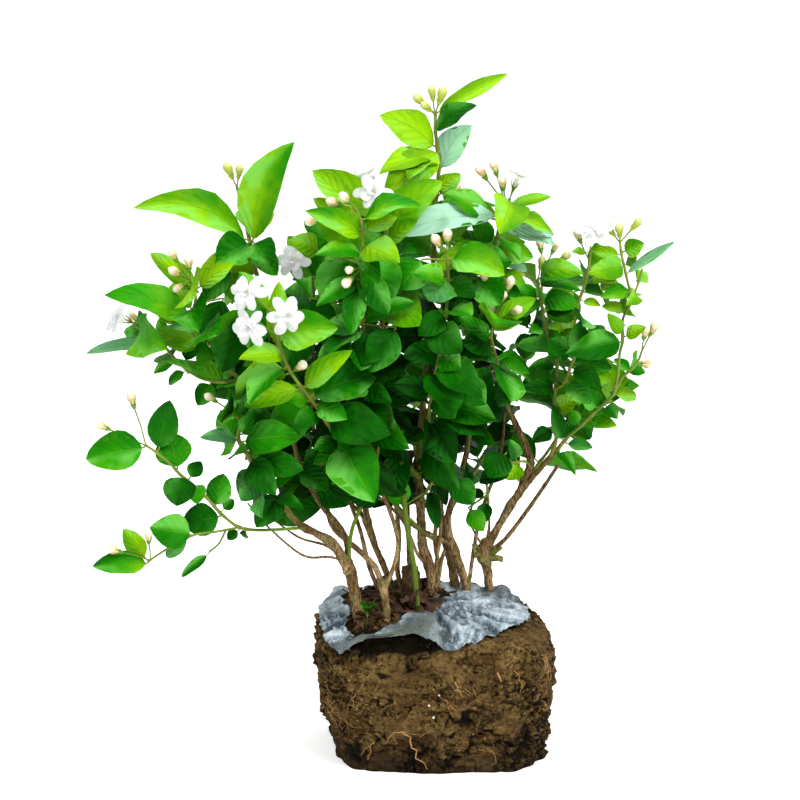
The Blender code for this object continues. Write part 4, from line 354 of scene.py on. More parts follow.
                    (-5.1, 34.0, -5.4), (-5.1, 36.3, -5.7), (-5.1, 38.2, -5.9), (-5.5, 39.4, -6.0)],
                   1.5, 0.9)],
        "leaves": [
            ((-5.6, 39.5, -5.9), (-8.6, 42.2, -4.6), 1.8, 66, 0.05),
            ((-5.3, 37.5, -6.1), (-9.0, 39.4, -7.6), 1.9, 56, 0.14),
            ((-5.3, 36.3, -6.1), (-8.4, 36.2, -8.2), 1.5, 52, 0.16),
            ((-4.9, 36.3, -6.0), (-4.0, 34.1, -8.3), 1.4, 76, 0.10),
            ((-4.9, 34.6, -5.8), (-3.3, 31.9, -7.4), 2.1, 76, 0.06),
            ((-5.3, 34.5, -5.6), (-8.4, 32.5, -6.9), 1.5, 62, 0.16),
            ((-5.5, 33.9, -6.1), (-5.9, 30.5, -8.3), 1.8, 80, 0.06),
            ((-4.9, 31.5, -5.4), (-1.4, 32.8, -6.8), 1.7, 50, 0.16),
            ((-4.8, 29.6, -5.0), (-5.2, 27.9, -7.4), 2.3, 78, 0.06),
            ((-5.3, 31.2, -5.2), (-8.0, 30.8, -6.4), 1.7, 66, 0.10),
            ((-5.4, 28.8, -4.4), (-8.1, 29.6, -3.6), 1.8, 62, 0.12),
            ((-5.3, 26.5, -3.9), (-7.4, 25.0, -5.0), 1.8, 66, 0.08),
            ((-5.0, 26.6, -3.8), (-3.0, 25.4, -5.2), 1.6, 66, 0.08),
            ((-5.3, 38.2, -5.7), (-7.2, 40.4, -5.0), 1.3, 64, 0.05),
            ((-4.8, 38.0, -5.7), (-2.6, 38.9, -4.9), 1.5, 60, 0.08),
        ],
        "buds": [((-5.5, 39.3, -6.0), [(-7.4, 40.0, -6.6), (-6.5, 40.4, -6.9), (-8.9, 38.5, -6.4)]),
                 ((-5.1, 35.2, -5.6), [(-6.1, 35.1, -7.4), (-6.3, 34.1, -7.6)])],
        "fill": 0,
    },
    "centre_left_shoot": {
        "grows_on": "stem_middle",
        "stems": [([(-1.05, 20.0, 0.6), (-1.7, 20.7, -0.3), (-2.5, 21.8, -1.0), (-3.4, 23.3, -1.6),
                    (-4.0, 24.9, -2.0), (-4.1, 26.3, -2.3), (-3.9, 28.3, -2.6), (-3.65, 31.0, -3.0),
                    (-3.35, 34.0, -3.2), (-3.35, 37.3, -3.4), (-3.7, 39.2, -3.8)], 1.8, 1.0)],
        "leaves": [
            ((-3.9, 25.0, -2.3), (-1.5, 23.4, -3.2), 1.4, 60, 0.12),
            ((-2.7, 22.0, -1.3), (-2.6, 18.6, -3.4), 2.0, 74, 0.08),
            ((-3.1, 34.5, -3.5), (-1.8, 36.0, -5.4), 1.5, 60, 0.14),
            ((-3.2, 37.2, -3.6), (-1.2, 38.6, -5.0), 1.6, 60, 0.10),
            ((-3.5, 37.4, -3.2), (-5.6, 39.2, -2.4), 1.6, 60, 0.06),
            ((-3.4, 30.9, -3.2), (-1.0, 29.0, -4.4), 1.9, 66, 0.10),
            ((-3.7, 28.2, -2.8), (-1.9, 26.6, -4.0), 1.8, 66, 0.10),
            ((-4.1, 28.3, -2.4), (-6.4, 27.9, -2.0), 1.7, 62, 0.10),
            ((-3.8, 31.2, -2.8), (-6.3, 32.4, -1.9), 1.8, 62, 0.10),
            ((-3.3, 23.0, -1.8), (-2.2, 24.6, -2.6), 1.3, 66, 0.08),
        ],
        "blooms": [((-3.7, 39.2, -3.8), (-4.3, 40.7, -5.0), (-0.1, 0.45, -0.88)),
                   ((-3.7, 39.2, -3.8), (-5.2, 41.6, -2.2), (-0.35, 0.75, 0.35))],
        "fill": 1,
    },
    "front_middle_shoot": {
        "grows_on": "stem_middle",
        "stems": [([(-1.05, 20.6, 0.7), (-0.8, 21.6, -0.8), (-0.5, 23.8, -2.4), (-0.1, 26.4, -3.6),
                    (0.4, 29.2, -4.4), (0.8, 31.8, -4.9), (1.0, 34.2, -5.0), (0.9, 36.2, -4.9)], 1.6, 0.9)],
        "leaves": [
            ((1.0, 34.4, -5.2), (-1.6, 34.8, -7.0), 1.7, 60, 0.14),
            ((1.2, 34.4, -4.9), (2.9, 33.2, -6.4), 1.6, 66, 0.10),
            ((0.7, 31.8, -5.2), (-1.1, 30.4, -6.6), 1.8, 70, 0.08),
            ((1.0, 31.9, -4.9), (3.1, 32.2, -5.9), 1.9, 66, 0.10),
            ((0.2, 29.1, -4.7), (-2.2, 28.9, -6.0), 1.9, 66, 0.10),
            ((0.6, 29.1, -4.4), (1.9, 28.0, -6.0), 2.0, 74, 0.06),
            ((-0.3, 26.4, -3.8), (-2.8, 26.9, -5.3), 1.8, 66, 0.10),
            ((0.1, 26.3, -3.6), (1.5, 24.4, -4.8), 1.9, 72, 0.08),
            ((-0.7, 23.7, -2.5), (-2.3, 22.5, -3.6), 1.6, 68, 0.10),
            ((-0.3, 23.8, -2.4), (0.6, 21.9, -3.4), 1.4, 70, 0.08),
            ((-0.9, 21.7, -1.0), (-0.4, 20.4, -2.6), 1.2, 70, 0.08),
        ],
        "buds": [((0.9, 36.2, -4.9), [(0.9, 37.8, -5.6), (0.0, 37.4, -5.4)])],
        "fill": 0,
    },
    "right_centre_shoot": {
        "grows_on": "stem_right",
        "stems": [([(4.68, 27.1, 1.6), (4.2, 28.6, 1.0), (3.8, 30.0, 0.5), (3.6, 32.0, 0.0),
                    (3.85, 34.2, -0.6), (4.2, 36.4, -1.2), (4.6, 38.2, -1.4), (5.0, 39.4, -1.5),
                    (5.3, 40.2, -1.5)], 1.7, 0.9)],
        "leaves": [
            ((4.2, 39.0, -1.8), (-3.3, 37.5, -4.2), 2.4, 48, 0.10),
            ((4.0, 36.5, -1.5), (-0.3, 35.1, -3.8), 2.1, 60, 0.12),
            ((4.5, 36.5, -1.4), (7.0, 36.0, -3.0), 1.9, 66, 0.08),
            ((4.5, 36.1, -1.0), (6.6, 35.0, -0.2), 1.1, 60, 0.05),
            ((4.1, 36.9, -1.3), (2.4, 39.1, -1.9), 1.4, 70, 0.05),
            ((4.4, 38.9, -1.2), (0.9, 40.3, -0.3), 1.4, 55, 0.10),
            ((5.2, 39.4, -1.6), (8.2, 40.35, -1.6), 1.1, 45, 0.05),
            ((4.9, 38.3, -1.2), (8.5, 37.6, 0.8), 1.3, 60, 0.05),
            ((3.7, 33.9, -0.8), (1.4, 33.4, -2.2), 1.9, 66, 0.10),
            ((4.1, 34.1, -0.7), (6.2, 33.2, -2.0), 1.6, 66, 0.10),
            ((3.6, 31.8, -0.3), (2.4, 29.9, -1.8), 1.8, 72, 0.06),
            ((3.8, 32.1, 0.0), (5.6, 33.0, 1.0), 1.5, 62, 0.08),
        ],
        "buds": [((5.1, 39.6, -1.5), [(3.1, 42.3, -1.0), (4.1, 42.7, -1.7), (4.7, 41.6, -2.3)])],
        "blooms": [((5.3, 40.2, -1.5), (5.9, 41.9, -1.8), (0.3, 0.9, -0.2))],
        "fill": 1,
    },
    "front_bud_shoot": {
        "grows_on": "stem_right",
        "stems": [([(4.95, 26.2, 1.85), (4.75, 27.2, 0.2), (4.35, 28.9, -1.8), (4.05, 30.4, -3.4),
                    (4.3, 31.4, -4.2)], 1.2, 0.9)],
        "leaves": [
            ((3.9, 30.2, -3.5), (1.8, 31.7, -5.4), 1.3, 62, 0.06),
            ((4.4, 30.8, -3.8), (6.1, 31.3, -4.6), 0.9, 55, 0.08),
            ((4.6, 28.6, -1.7), (6.8, 27.6, -2.9), 1.0, 55, 0.12),
            ((4.3, 28.7, -1.9), (2.7, 28.1, -3.4), 1.0, 60, 0.08),
            ((4.5, 31.5, -4.1), (7.2, 33.1, -3.4), 1.5, 62, 0.08),
        ],
        "buds": [((4.3, 31.3, -4.2), [(4.9, 33.4, -4.8), (3.9, 32.6, -5.0), (6.0, 32.3, -4.9),
                                      (4.2, 35.1, -4.2), (3.5, 34.9, -4.6), (5.4, 34.4, -4.4)])],
        "fill": 0,
    },
    "right_flower_shoot": {
        "grows_on": "stem_right",
        "stems": [([(8.3, 21.4, 3.2), (8.75, 22.8, 2.6), (8.6, 24.6, 2.2), (8.65, 26.3, 2.0),
                    (8.75, 28.4, 1.7), (8.3, 29.5, 1.5), (7.9, 31.0, 1.3), (7.55, 33.0, 1.0),
                    (7.3, 34.4, 0.8)], 1.5, 0.9)],
        "leaves": [
            ((8.5, 26.5, 1.2), (6.1, 26.6, -2.1), 1.5, 58, 0.12),
            ((8.5, 28.2, 1.5), (6.9, 28.2, 0.3), 1.0, 58, 0.10),
            ((8.9, 28.7, 1.5), (8.5, 30.9, 0.2), 1.7, 72, 0.06),
            ((7.5, 34.1, 0.6), (10.4, 33.7, -0.6), 1.0, 48, 0.12),
            ((7.7, 33.0, 0.8), (10.2, 32.5, -0.8), 1.7, 64, 0.10),
            ((7.5, 34.5, 0.5), (10.5, 34.9, -1.6), 1.9, 58, 0.26),
            ((8.8, 24.9, 2.0), (10.3, 25.8, 0.8), 1.6, 68, 0.06),
            ((7.8, 30.9, 1.1), (6.7, 30.6, 0.0), 0.9, 60, 0.06),
            ((8.1, 31.2, 1.1), (9.2, 30.7, -0.2), 0.8, 60, 0.06),
            ((7.3, 33.1, 0.9), (4.9, 33.6, -0.8), 1.6, 58, 0.06),
            ((7.5, 32.4, 0.9), (5.4, 32.4, -0.2), 1.0, 62, 0.06),
            ((8.6, 23.6, 2.3), (7.0, 22.6, 1.4), 1.3, 64, 0.10),
        ],
        "buds": [((7.3, 34.4, 0.8), [(5.6, 35.0, 0.4), (9.4, 36.2, -1.0), (7.6, 35.9, 0.4)])],
        "fill": 1,
    },
    "right_tall_shoot": {
        "grows_on": "right_flower_shoot",
        "stems": [([(8.65, 26.4, 2.0), (9.35, 27.1, 1.0), (9.7, 28.1, 0.4), (10.1, 29.2, 0.0),
                    (9.95, 31.0, -0.3), (10.25, 32.8, -0.5), (10.7, 34.2, -0.6), (11.0, 35.8, -0.7),
                    (11.0, 36.5, -0.8)], 1.2, 0.9)],
        "leaves": [
            ((10.2, 29.3, -0.3), (10.4, 31.4, -1.8), 1.5, 74, 0.05),
            ((9.9, 29.1, 0.1), (8.2, 30.1, -1.4), 1.6, 70, 0.05),
            ((9.8, 28.2, 0.2), (11.9, 26.6, -1.2), 1.6, 68, 0.06),
            ((9.9, 28.5, 0.5), (12.8, 28.1, 1.0), 1.4, 60, 0.08),
            ((10.8, 34.3, -0.8), (13.0, 34.3, -1.6), 1.0, 48, 0.06),
            ((10.9, 36.3, -0.9), (9.7, 36.4, -1.7), 0.7, 50, 0.06),
            ((10.4, 32.9, -0.6), (11.8, 32.5, -1.4), 0.8, 52, 0.06),
            ((10.1, 32.3, -0.6), (8.0, 32.1, -1.8), 1.3, 60, 0.10),
            ((9.5, 27.0, 0.8), (11.2, 25.4, -0.4), 1.7, 68, 0.08),
        ],
        "blooms": [((11.0, 36.5, -0.8), (11.3, 38.0, -1.5), (0.15, 0.65, -0.6))],
        "buds": [((10.95, 35.7, -0.7), [(10.0, 37.8, 0.2)])],
        "fill": 0,
    },
    "right_low_shoot": {
        "grows_on": "stem_right",
        "stems": [([(8.8, 22.0, 3.1), (9.6, 23.0, 3.0), (10.4, 23.7, 2.8), (11.6, 24.9, 2.4),
                    (12.8, 26.1, 2.0), (13.4, 27.3, 1.7), (14.4, 28.3, 1.4), (14.8, 29.3, 1.2)], 1.3, 0.8)],
        "leaves": [
            ((9.1, 22.7, 2.9), (8.5, 25.3, 1.4), 1.3, 72, 0.10),
            ((9.4, 22.4, 2.8), (11.4, 22.2, 1.6), 1.1, 62, 0.10),
            ((9.0, 21.8, 2.0), (10.1, 20.5, -2.2), 1.0, 62, 0.08),
            ((10.9, 24.2, 2.4), (13.1, 23.8, 1.4), 1.2, 62, 0.10),
            ((10.3, 23.9, 2.7), (9.6, 25.0, 2.0), 1.0, 64, 0.06),
            ((11.6, 25.1, 2.3), (10.6, 26.6, 1.0), 1.6, 70, 0.08),
            ((12.2, 25.3, 2.0), (13.1, 24.3, 0.8), 1.3, 68, 0.06),
            ((12.8, 26.3, 2.6), (12.6, 28.4, 3.2), 2.2, 74, 0.08),
            ((13.0, 26.1, 2.2), (14.5, 26.0, 2.8), 1.2, 66, 0.06),
            ((13.9, 27.9, 1.3), (12.8, 28.7, 1.6), 0.9, 50, 0.08),
        ],
        "buds": [((14.8, 29.2, 1.2), [(15.7, 31.2, 0.9), (15.0, 30.9, 0.4)]),
                 ((14.4, 28.3, 1.4), [(15.4, 28.3, 1.6)])],
        "fill": 1,
    },
    "right_outer_shoot": {
        "grows_on": "right_low_shoot",
        "stems": [([(12.85, 26.2, 2.0), (13.1, 27.6, 0.6), (13.2, 29.0, 0.2), (13.4, 30.0, 0.1),
                    (13.4, 31.6, 0.0), (13.95, 32.9, -0.1), (13.6, 34.6, -0.2), (13.2, 36.3, -0.3),
                    (13.1, 37.1, -0.3)], 1.1, 0.8),
                  ([(13.95, 32.9, -0.1), (14.4, 34.0, 0.1), (14.7, 35.2, 0.2)], 0.8, 0.7)],
        "leaves": [
            ((13.2, 29.9, -0.1), (9.4, 29.1, -2.4), 2.4, 66, 0.06),
            ((13.4, 36.3, -0.4), (14.8, 37.0, -1.2), 1.4, 72, 0.06),
            ((13.0, 36.2, -0.5), (11.1, 36.5, -1.3), 1.0, 55, 0.08),
            ((13.3, 35.3, -0.5), (11.0, 34.9, -2.0), 1.8, 72, 0.06),
            ((13.7, 34.9, 0.0), (17.0, 37.2, 0.8), 0.8, 60, 0.04),
            ((13.8, 33.6, -0.4), (11.8, 33.2, -1.8), 1.2, 62, 0.08),
            ((13.6, 32.2, -0.2), (11.9, 32.5, -1.0), 1.0, 60, 0.08),
            ((13.3, 30.6, -0.2), (12.3, 32.0, -1.4), 1.1, 74, 0.06),
            ((13.6, 30.2, 0.0), (15.0, 31.0, -0.8), 1.1, 64, 0.06),
        ],
        "buds": [((13.1, 37.1, -0.3), [(14.4, 38.6, -0.5), (12.1, 38.3, -0.1), (13.0, 38.2, -0.9)])],
        "fill": 0,
    },
    "inner_right_shoot": {
        "grows_on": "stem_right",
        "stems": [([(6.9, 20.9, 2.9), (6.5, 21.2, 1.8), (5.6, 21.1, 0.8), (4.8, 21.4, 0.1)], 0.9, 0.8)],
        "leaves": [
            ((6.2, 21.0, 1.4), (5.2, 19.9, 0.2), 1.7, 72, 0.08),
            ((5.3, 20.9, 0.4), (3.3, 19.6, -0.8), 1.7, 68, 0.10),
            ((4.9, 21.5, 0.0), (3.6, 22.0, -0.9), 1.0, 62, 0.08),
            ((5.9, 21.4, 1.2), (5.4, 22.8, 0.4), 1.1, 66, 0.08),
        ],
        "fill": 0,
    },
    "low_right_twig": {
        "grows_on": "stem_right",
        "stems": [([(3.95, 17.7, 3.6), (3.9, 18.6, 3.3), (3.8, 19.5, 2.9)], 0.9, 0.8)],
        "leaves": [
            ((3.9, 18.3, 3.2), (3.3, 16.4, 2.2), 1.2, 72, 0.08),
            ((3.7, 18.8, 3.1), (2.2, 18.6, 2.0), 0.9, 60, 0.08),
            ((3.8, 19.5, 2.8), (4.6, 21.0, 2.0), 1.0, 66, 0.08),
        ],
        "fill": 0,
    },
    "centre_right_shoot": {
        "grows_on": "stem_twin_front",
        "stems": [([(2.35, 21.8, 2.9), (2.6, 23.6, 2.2), (2.8, 26.0, 1.4), (2.6, 28.6, 0.6),
                    (2.2, 31.0, -0.6), (2.1, 33.0, -1.6)], 1.6, 0.9)],
        "leaves": [
            ((2.7, 25.4, 1.3), (0.7, 26.1, -0.6), 2.0, 70, 0.08),
            ((3.0, 25.5, 1.2), (4.8, 24.2, -0.4), 2.2, 70, 0.08),
            ((2.5, 23.6, 1.9), (0.0, 24.2, 0.0), 1.8, 70, 0.08),
            ((2.4, 28.6, 0.4), (0.8, 29.8, -1.0), 2.0, 68, 0.08),
            ((2.8, 28.5, 0.5), (4.9, 29.2, -0.6), 1.4, 60, 0.08),
            ((2.0, 31.1, -0.8), (0.6, 32.7, -2.2), 1.7, 68, 0.08),
            ((2.8, 23.4, 2.1), (4.3, 22.4, 1.0), 1.2, 64, 0.08),
        ],
        "fill": 1,
    },
    "low_centre_twig": {
        "grows_on": "stem_middle",
        "stems": [([(-0.95, 18.4, 0.7), (-0.4, 19.2, -0.7), (0.3, 20.4, -1.3)], 1.0, 0.8)],
        "leaves": [
            ((-0.3, 19.2, -0.9), (0.3, 16.2, -1.8), 1.1, 78, 0.06),
            ((0.4, 20.3, -1.3), (0.9, 17.9, -2.2), 0.9, 74, 0.06),
            ((0.4, 20.5, -1.3), (1.5, 21.4, -2.0), 0.9, 66, 0.08),
            ((-0.2, 19.6, -1.1), (-0.6, 20.9, -2.0), 0.8, 66, 0.08),
        ],
        "fill": 0,
    },
    "inner_left_shoot": {
        "grows_on": "stem_front",
        "stems": [([(-7.57, 17.2, 0.3), (-8.0, 19.6, 0.9), (-8.5, 22.4, 1.2), (-8.7, 25.6, 1.3),
                    (-8.6, 28.8, 1.2), (-8.5, 32.0, 0.9), (-8.6, 34.8, 0.6)], 1.6, 0.9)],
        "leaves": [
            ((-8.6, 34.8, 0.4), (-10.3, 37.5, -1.0), 2.2, 64, 0.08),
            ((-8.4, 34.6, 0.3), (-7.4, 37.2, -0.8), 1.8, 66, 0.08),
        ],
        "blooms": [((-8.6, 34.8, 0.6), (-9.9, 35.8, -1.8), (-0.4, 0.4, -0.8))],
        "fill": 4,
    },
    "back_left_shoot": {
        "grows_on": "stem_dark_back",
        "stems": [([(-5.58, 20.0, 2.3), (-5.9, 23.0, 3.6), (-6.2, 26.5, 4.8), (-6.4, 30.0, 5.6),
                    (-6.5, 33.4, 6.0), (-6.6, 36.2, 6.2)], 1.8, 1.0)],
        "leaves": [((-6.6, 36.2, 6.1), (-9.2, 38.6, 5.4), 2.2, 55, 0.08)],
        "buds": [((-6.6, 36.2, 6.2), [(-6.2, 38.2, 6.4), (-7.2, 38.0, 6.8)])],
        "fill": 5,
    },
    "back_low_left_shoot": {
        "grows_on": "stem_dark_back",
        "stems": [([(-4.7, 16.6, 2.6), (-6.2, 18.4, 4.4), (-8.4, 20.8, 6.0), (-10.4, 23.6, 7.0),
                    (-12.0, 26.8, 7.6), (-13.0, 30.0, 8.0)], 1.4, 0.9)],
        "leaves": [],
        "fill": 4,
    },
    "back_shoot": {
        "grows_on": "stem_twin_back",
        "stems": [([(0.37, 19.8, 4.2), (0.1, 23.0, 5.4), (0.0, 26.5, 6.4), (0.3, 30.0, 7.2),
                    (0.7, 33.5, 7.8), (1.1, 37.0, 8.0), (1.2, 39.4, 8.0)], 1.9, 1.0)],
        "leaves": [],
        "buds": [((1.2, 39.4, 8.0), [(1.6, 41.2, 8.6), (0.6, 41.0, 8.2)])],
        "fill": 6,
    },
    "back_far_shoot": {
        "grows_on": "stem_twin_back",
        "stems": [([(0.45, 18.2, 3.9), (-0.7, 20.4, 6.4), (-1.8, 23.6, 8.6), (-2.8, 27.0, 10.2),
                    (-3.4, 30.6, 11.2), (-3.6, 33.8, 11.6)], 1.5, 0.9)],
        "leaves": [],
        "fill": 5,
    },
    "back_right_shoot": {
        "grows_on": "stem_twin_back",
        "stems": [([(0.6, 16.6, 3.6), (2.0, 19.0, 6.0), (3.8, 22.0, 7.6), (5.4, 25.5, 8.8),
                    (6.6, 29.0, 9.4), (7.4, 32.5, 9.6), (7.8, 35.2, 9.6)], 1.6, 0.9)],
        "leaves": [],
        "buds": [((7.8, 35.2, 9.6), [(8.6, 37.0, 9.8), (7.4, 37.2, 10.2)])],
        "fill": 6,
    },
    "back_right_low_shoot": {
        "grows_on": "stem_right",
        "stems": [([(5.5, 17.9, 3.9), (6.8, 20.0, 5.6), (8.6, 22.6, 6.8), (10.2, 25.6, 7.4),
                    (11.4, 29.0, 7.4)], 1.3, 0.9)],
        "leaves": [],
        "fill": 4,
    },
}


# Leaves that the solids leave out: foot, tip, width, turn and arch as in the shoots, then tint and paleness, the share
# of painted sheen
LATE_LEAVES = (
    ((-10.9, 25.4, 0.9), (-13.5, 24.0, 2.6), 1.0, 55, 0.12, 0.9, 0.0),
    ((0.2, 43.4, -0.6), (-3.6, 40.1, -2.6), 2.9, 55, 0.12, 0.95, 0.1),
    ((-4.0, 39.1, -3.0), (-8.5, 42.2, -3.4), 2.7, 50, 0.1, 0.9, 0),
    ((-5.8, 38.2, -4), (-8.5, 40.2, -4.6), 1.8, 60, 0.08, 0.95, 0),
    ((-4.8, 36.1, -4.2), (-8.4, 39.1, -5), 2.8, 58, 0.1, 0.7, 0.35),
    ((-3.0, 38.2, -3.2), (0.5, 41.5, -3.0), 2.9, 52, 0.12, 0.75, 0),
    ((3.7, 38.9, -1.5), (0.7, 40.6, -2.0), 2.1, 45, 0.1, 0.6, 0.1),
    ((0.2, 40.9, -0.5), (1.8, 41.9, -0.8), 1.2, 50, 0.06, 1.0, 0),
    ((5.0, 37.9, -1.0), (8.6, 37.0, -1.6), 2.0, 38, 0.1, 0.5, 1.0),
    ((-14.3, 35.7, -2), (-16.7, 34.9, -3.0), 1.7, 50, 0.1, 1.05, 0),
    ((-13.2, 37.0, -2), (-15.4, 35.7, -3.4), 3.0, 60, 0.1, 0.28, 0.0),
    ((-12.7, 37.0, -2), (-11.5, 35.4, -3.4), 2.3, 62, 0.1, 0.22, 0),
    ((-15.0, 32.9, -3), (-16.3, 29.7, -4), 2.6, 72, 0.08, 0.12, 0),
    ((-13.8, 31.6, -3), (-15.1, 27.7, -4), 2.8, 70, 0.08, 0.08, 0),
    ((-16.3, 31.6, -2.5), (-17.7, 28.6, -3.5), 2.2, 70, 0.08, 0.18, 0.3),
    ((-12.2, 32.9, -3), (-13.1, 29.3, -4), 2.6, 72, 0.08, 0.3, 0),
    ((-11.3, 29.7, -3), (-12.3, 26.8, -4), 2.6, 70, 0.08, 0.05, 0),
    ((-14.5, 35.2, -2), (-16.3, 32.9, -3), 2.4, 60, 0.08, 0.2, 0),
    ((-9.5, 30.8, -3.5), (-10.6, 27.7, -4.4), 2.6, 70, 0.08, 0.1, 0),
    ((-8.2, 36.4, -3), (-10.3, 37.2, -3.6), 2.0, 55, 0.08, 0.9, 0),
    ((-13.1, 29.3, -1.5), (-15.6, 26.8, -2.5), 2.8, 60, 0.08, 0.0, 0),
    ((-8.8, 32.9, -4), (-7.4, 29.7, -5), 2.6, 70, 0.08, 0.15, 0),
    ((-6.3, 35.7, -5), (-8.0, 32.9, -6), 2.7, 66, 0.1, 0.3, 0.1),
    ((-4.4, 35.7, -5.5), (-3.0, 32.9, -6.4), 3.0, 60, 0.1, 0.35, 0.25),
    ((-1.0, 35.7, -5.5), (-2.4, 33.7, -6.4), 2.8, 60, 0.1, 0.45, 0),
    ((1.2, 34.7, -5), (-0.4, 32.9, -6), 3.0, 60, 0.1, 0.55, 0.5),
    ((3.1, 34.4, -4.5), (4.7, 32.6, -5.4), 2.6, 60, 0.1, 0.4, 0.2),
    ((-2.8, 30.8, -6.0), (-4.6, 27.7, -6.8), 2.6, 66, 0.1, 0.1, 0.15),
    ((-7.4, 26.6, -5), (-9.6, 25.6, -6), 2.4, 40, 0.1, 0.7, 0),
    ((-6.0, 29.3, -6), (-3.0, 29.2, -6.6), 2.4, 60, 0.1, 0.05, 0.1),
    ((-0.3, 30.8, -5.5), (2.0, 29.2, -6.2), 2.6, 60, 0.1, 0.12, 0.1),
    ((-5.6, 24.2, -4.5), (-6.7, 21.9, -5.2), 2.2, 70, 0.1, 0.1, 0),
    ((-3.0, 22.8, -4.5), (-1.9, 20.1, -5.2), 2.4, 72, 0.1, 0.02, 0),
    ((2.0, 26.7, -4), (3.7, 25.4, -4.8), 2.4, 60, 0.1, 0.15, 0.1),
    ((-9.6, 20.6, -3.5), (-7.5, 19.1, -4.2), 1.9, 62, 0.1, 0.05, 0),
    ((1.5, 19.8, -2.0), (2.8, 18.0, -2.6), 2.0, 72, 0.1, 0.05, 0),
    ((5.1, 21.7, -1), (3.9, 20.0, -1.6), 2.2, 66, 0.1, 0.05, 0),
    ((-2.3, 18.0, -1.5), (-3.0, 20.6, -2.0), 1.8, 80, 0.05, 0.5, 0),
    ((-0.3, 18.3, 1), (0.5, 16.3, 0.6), 1.8, 78, 0.05, 0.45, 0),
    ((2.6, 17.6, 1.5), (3.6, 16.0, 1.2), 1.5, 78, 0.05, 0.6, 0),
    ((-12.8, 20.6, -1.5), (-13.9, 18.5, -2.4), 1.9, 60, 0.1, 0.1, 0.5),
)

# Thin twigs that the solids leave out, by the stem that carries them: their points, the radius in millimetres
# at both ends, and whether they are green
TWIGS = {
    "stem_left": (([(-6.3, 13.7, -2.4), (-7.5, 14.1, -3.0), (-9.4, 14.2, -3.6), (-11.7, 16.1, -4.0),
                    (-13.4, 18.1, -4.2)], 1.1, 0.6, 0.0),
                  ([(-5.9, 13.0, -2.1), (-7.5, 14.8, -2.0), (-9.6, 15.5, -1.6), (-11.2, 16.6, -1.4)], 1.2, 0.7, 0.0),
                  ([(-6.2, 12.7, -2.3), (-5.9, 16.1, -2.6), (-4.4, 19.8, -2.8), (-3.9, 22.8, -3.0)], 1.5, 1.1, 1.0)),
    "stump": (([(-1.1, 9.3, -1.0), (-1.4, 13.3, -1.2), (-1.9, 16.1, -1.5), (-2.3, 20.6, -2.0), (-2.6, 23.5, -2.4)],
               2.0, 1.6, 1.0),),
    "stem_middle": (([(0.0, 12.4, 1.0), (0.5, 16.9, 0.4), (-0.4, 22.8, -0.5), (-1.0, 27.2, -1.2)], 1.4, 1.0, 0.0),
                    ([(-0.4, 13.6, 1.1), (-1.1, 14.2, 0.6), (-2.3, 16.9, -0.2), (-4.4, 19.1, -1.2),
                      (-5.3, 21.3, -2.0)], 1.3, 0.9, 0.0),
                    ([(-1.1, 20.2, 0.3), (-2.2, 20.8, -0.8), (-3.05, 21.8, -1.6), (-3.9, 23.4, -2.4),
                      (-4.45, 25.2, -3.0)], 1.7, 1.4, 0.9)),
    "stem_dark_back": (([(-2.9, 11.5, 3.2), (-4.5, 15.4, 3.6), (-6.4, 20.6, 3.4), (-7.4, 23.5, 3.0)],
                        1.6, 1.1, 0.0),),
    "stem_twin_front": (([(2.45, 11.4, 3.1), (3.3, 16.9, 3.3), (4.7, 21.3, 3.2), (5.1, 25.0, 3.0)], 1.5, 1.0, 0.0),
                        ([(1.2, 15.1, 3.0), (0.5, 15.3, 1.6), (-0.4, 15.7, 0.0), (-1.65, 16.8, -0.8), (-2.83, 18.05, -1.3),
                          (-4.4, 19.4, -1.9), (-5.8, 20.0, -2.4)], 1.7, 1.3, 0.6)),
    "stem_right": (([(3.9, 14.4, 4.1), (5.3, 15.6, 3.7), (7.5, 18.7, 3.3), (8.9, 20.9, 3.0)], 1.8, 1.3, 0.0),
                   ([(3.7, 14.6, 4.1), (2.6, 16.9, 3.6), (3.2, 19.1, 3.3)], 0.9, 0.6, 0.0),
                   ([(3.8, 14.0, 4.1), (3.2, 14.3, 3.8), (2.8, 14.2, 3.7)], 2.6, 2.3, 0.5),
                   ([(3.8, 14.2, 4.1), (3.1, 14.8, 3.8), (2.9, 15.1, 3.8)], 2.4, 1.9, 0.5),
                   ([(3.9, 14.0, 4.1), (4.6, 14.0, 3.8), (5.0, 13.9, 3.8)], 2.6, 2.2, 0.5),
                   ([(3.9, 14.2, 4.1), (4.6, 14.7, 3.9), (4.9, 14.9, 3.9)], 2.5, 2.1, 0.5),
                   ([(3.8, 13.9, 4.1), (3.6, 14.0, 3.4), (3.6, 13.9, 3.1)], 2.6, 2.3, 0.5)),
}

THIN_STEMS = (([(-1.9, 10.6, 1.6), (-2.6, 13.0, 1.6), (-2.5, 15.6, 1.4), (-2.8, 18.6, 1.2), (-3.2, 21.5, 0.8)],
               2.0, 1.4, 0.0),
              ([(-1.4, 10.8, 2.0), (-1.7, 13.0, 2.2), (-1.8, 15.6, 2.4), (-1.9, 19.0, 2.6), (-1.6, 22.0, 2.6)],
               2.2, 1.5, 0.0),
              ([(-3.6, 10.9, 1.8), (-4.6, 13.2, 1.9), (-5.3, 16.1, 2.0), (-6.1, 18.5, 1.8), (-6.3, 20.5, 1.6)],
               1.8, 1.2, 0.0),
              ([(0.3, 11.2, 2.6), (0.3, 13.5, 2.8), (0.1, 15.8, 3.0), (0.5, 19.0, 3.2), (0.7, 21.0, 3.2)],
               1.8, 1.3, 0.0))
# Gaps in the crown, across, up and radius as seen from the front
GAPS = ((6.4, 29.7, 1.7), (7.0, 24.7, 1.5), (5.0, 22.3, 0.9), (2.8, 22.0, 0.8), (-13.2, 22.8, 0.9), (-9.9, 21.9, 0.8),
        (-13.8, 19.6, 0.8))

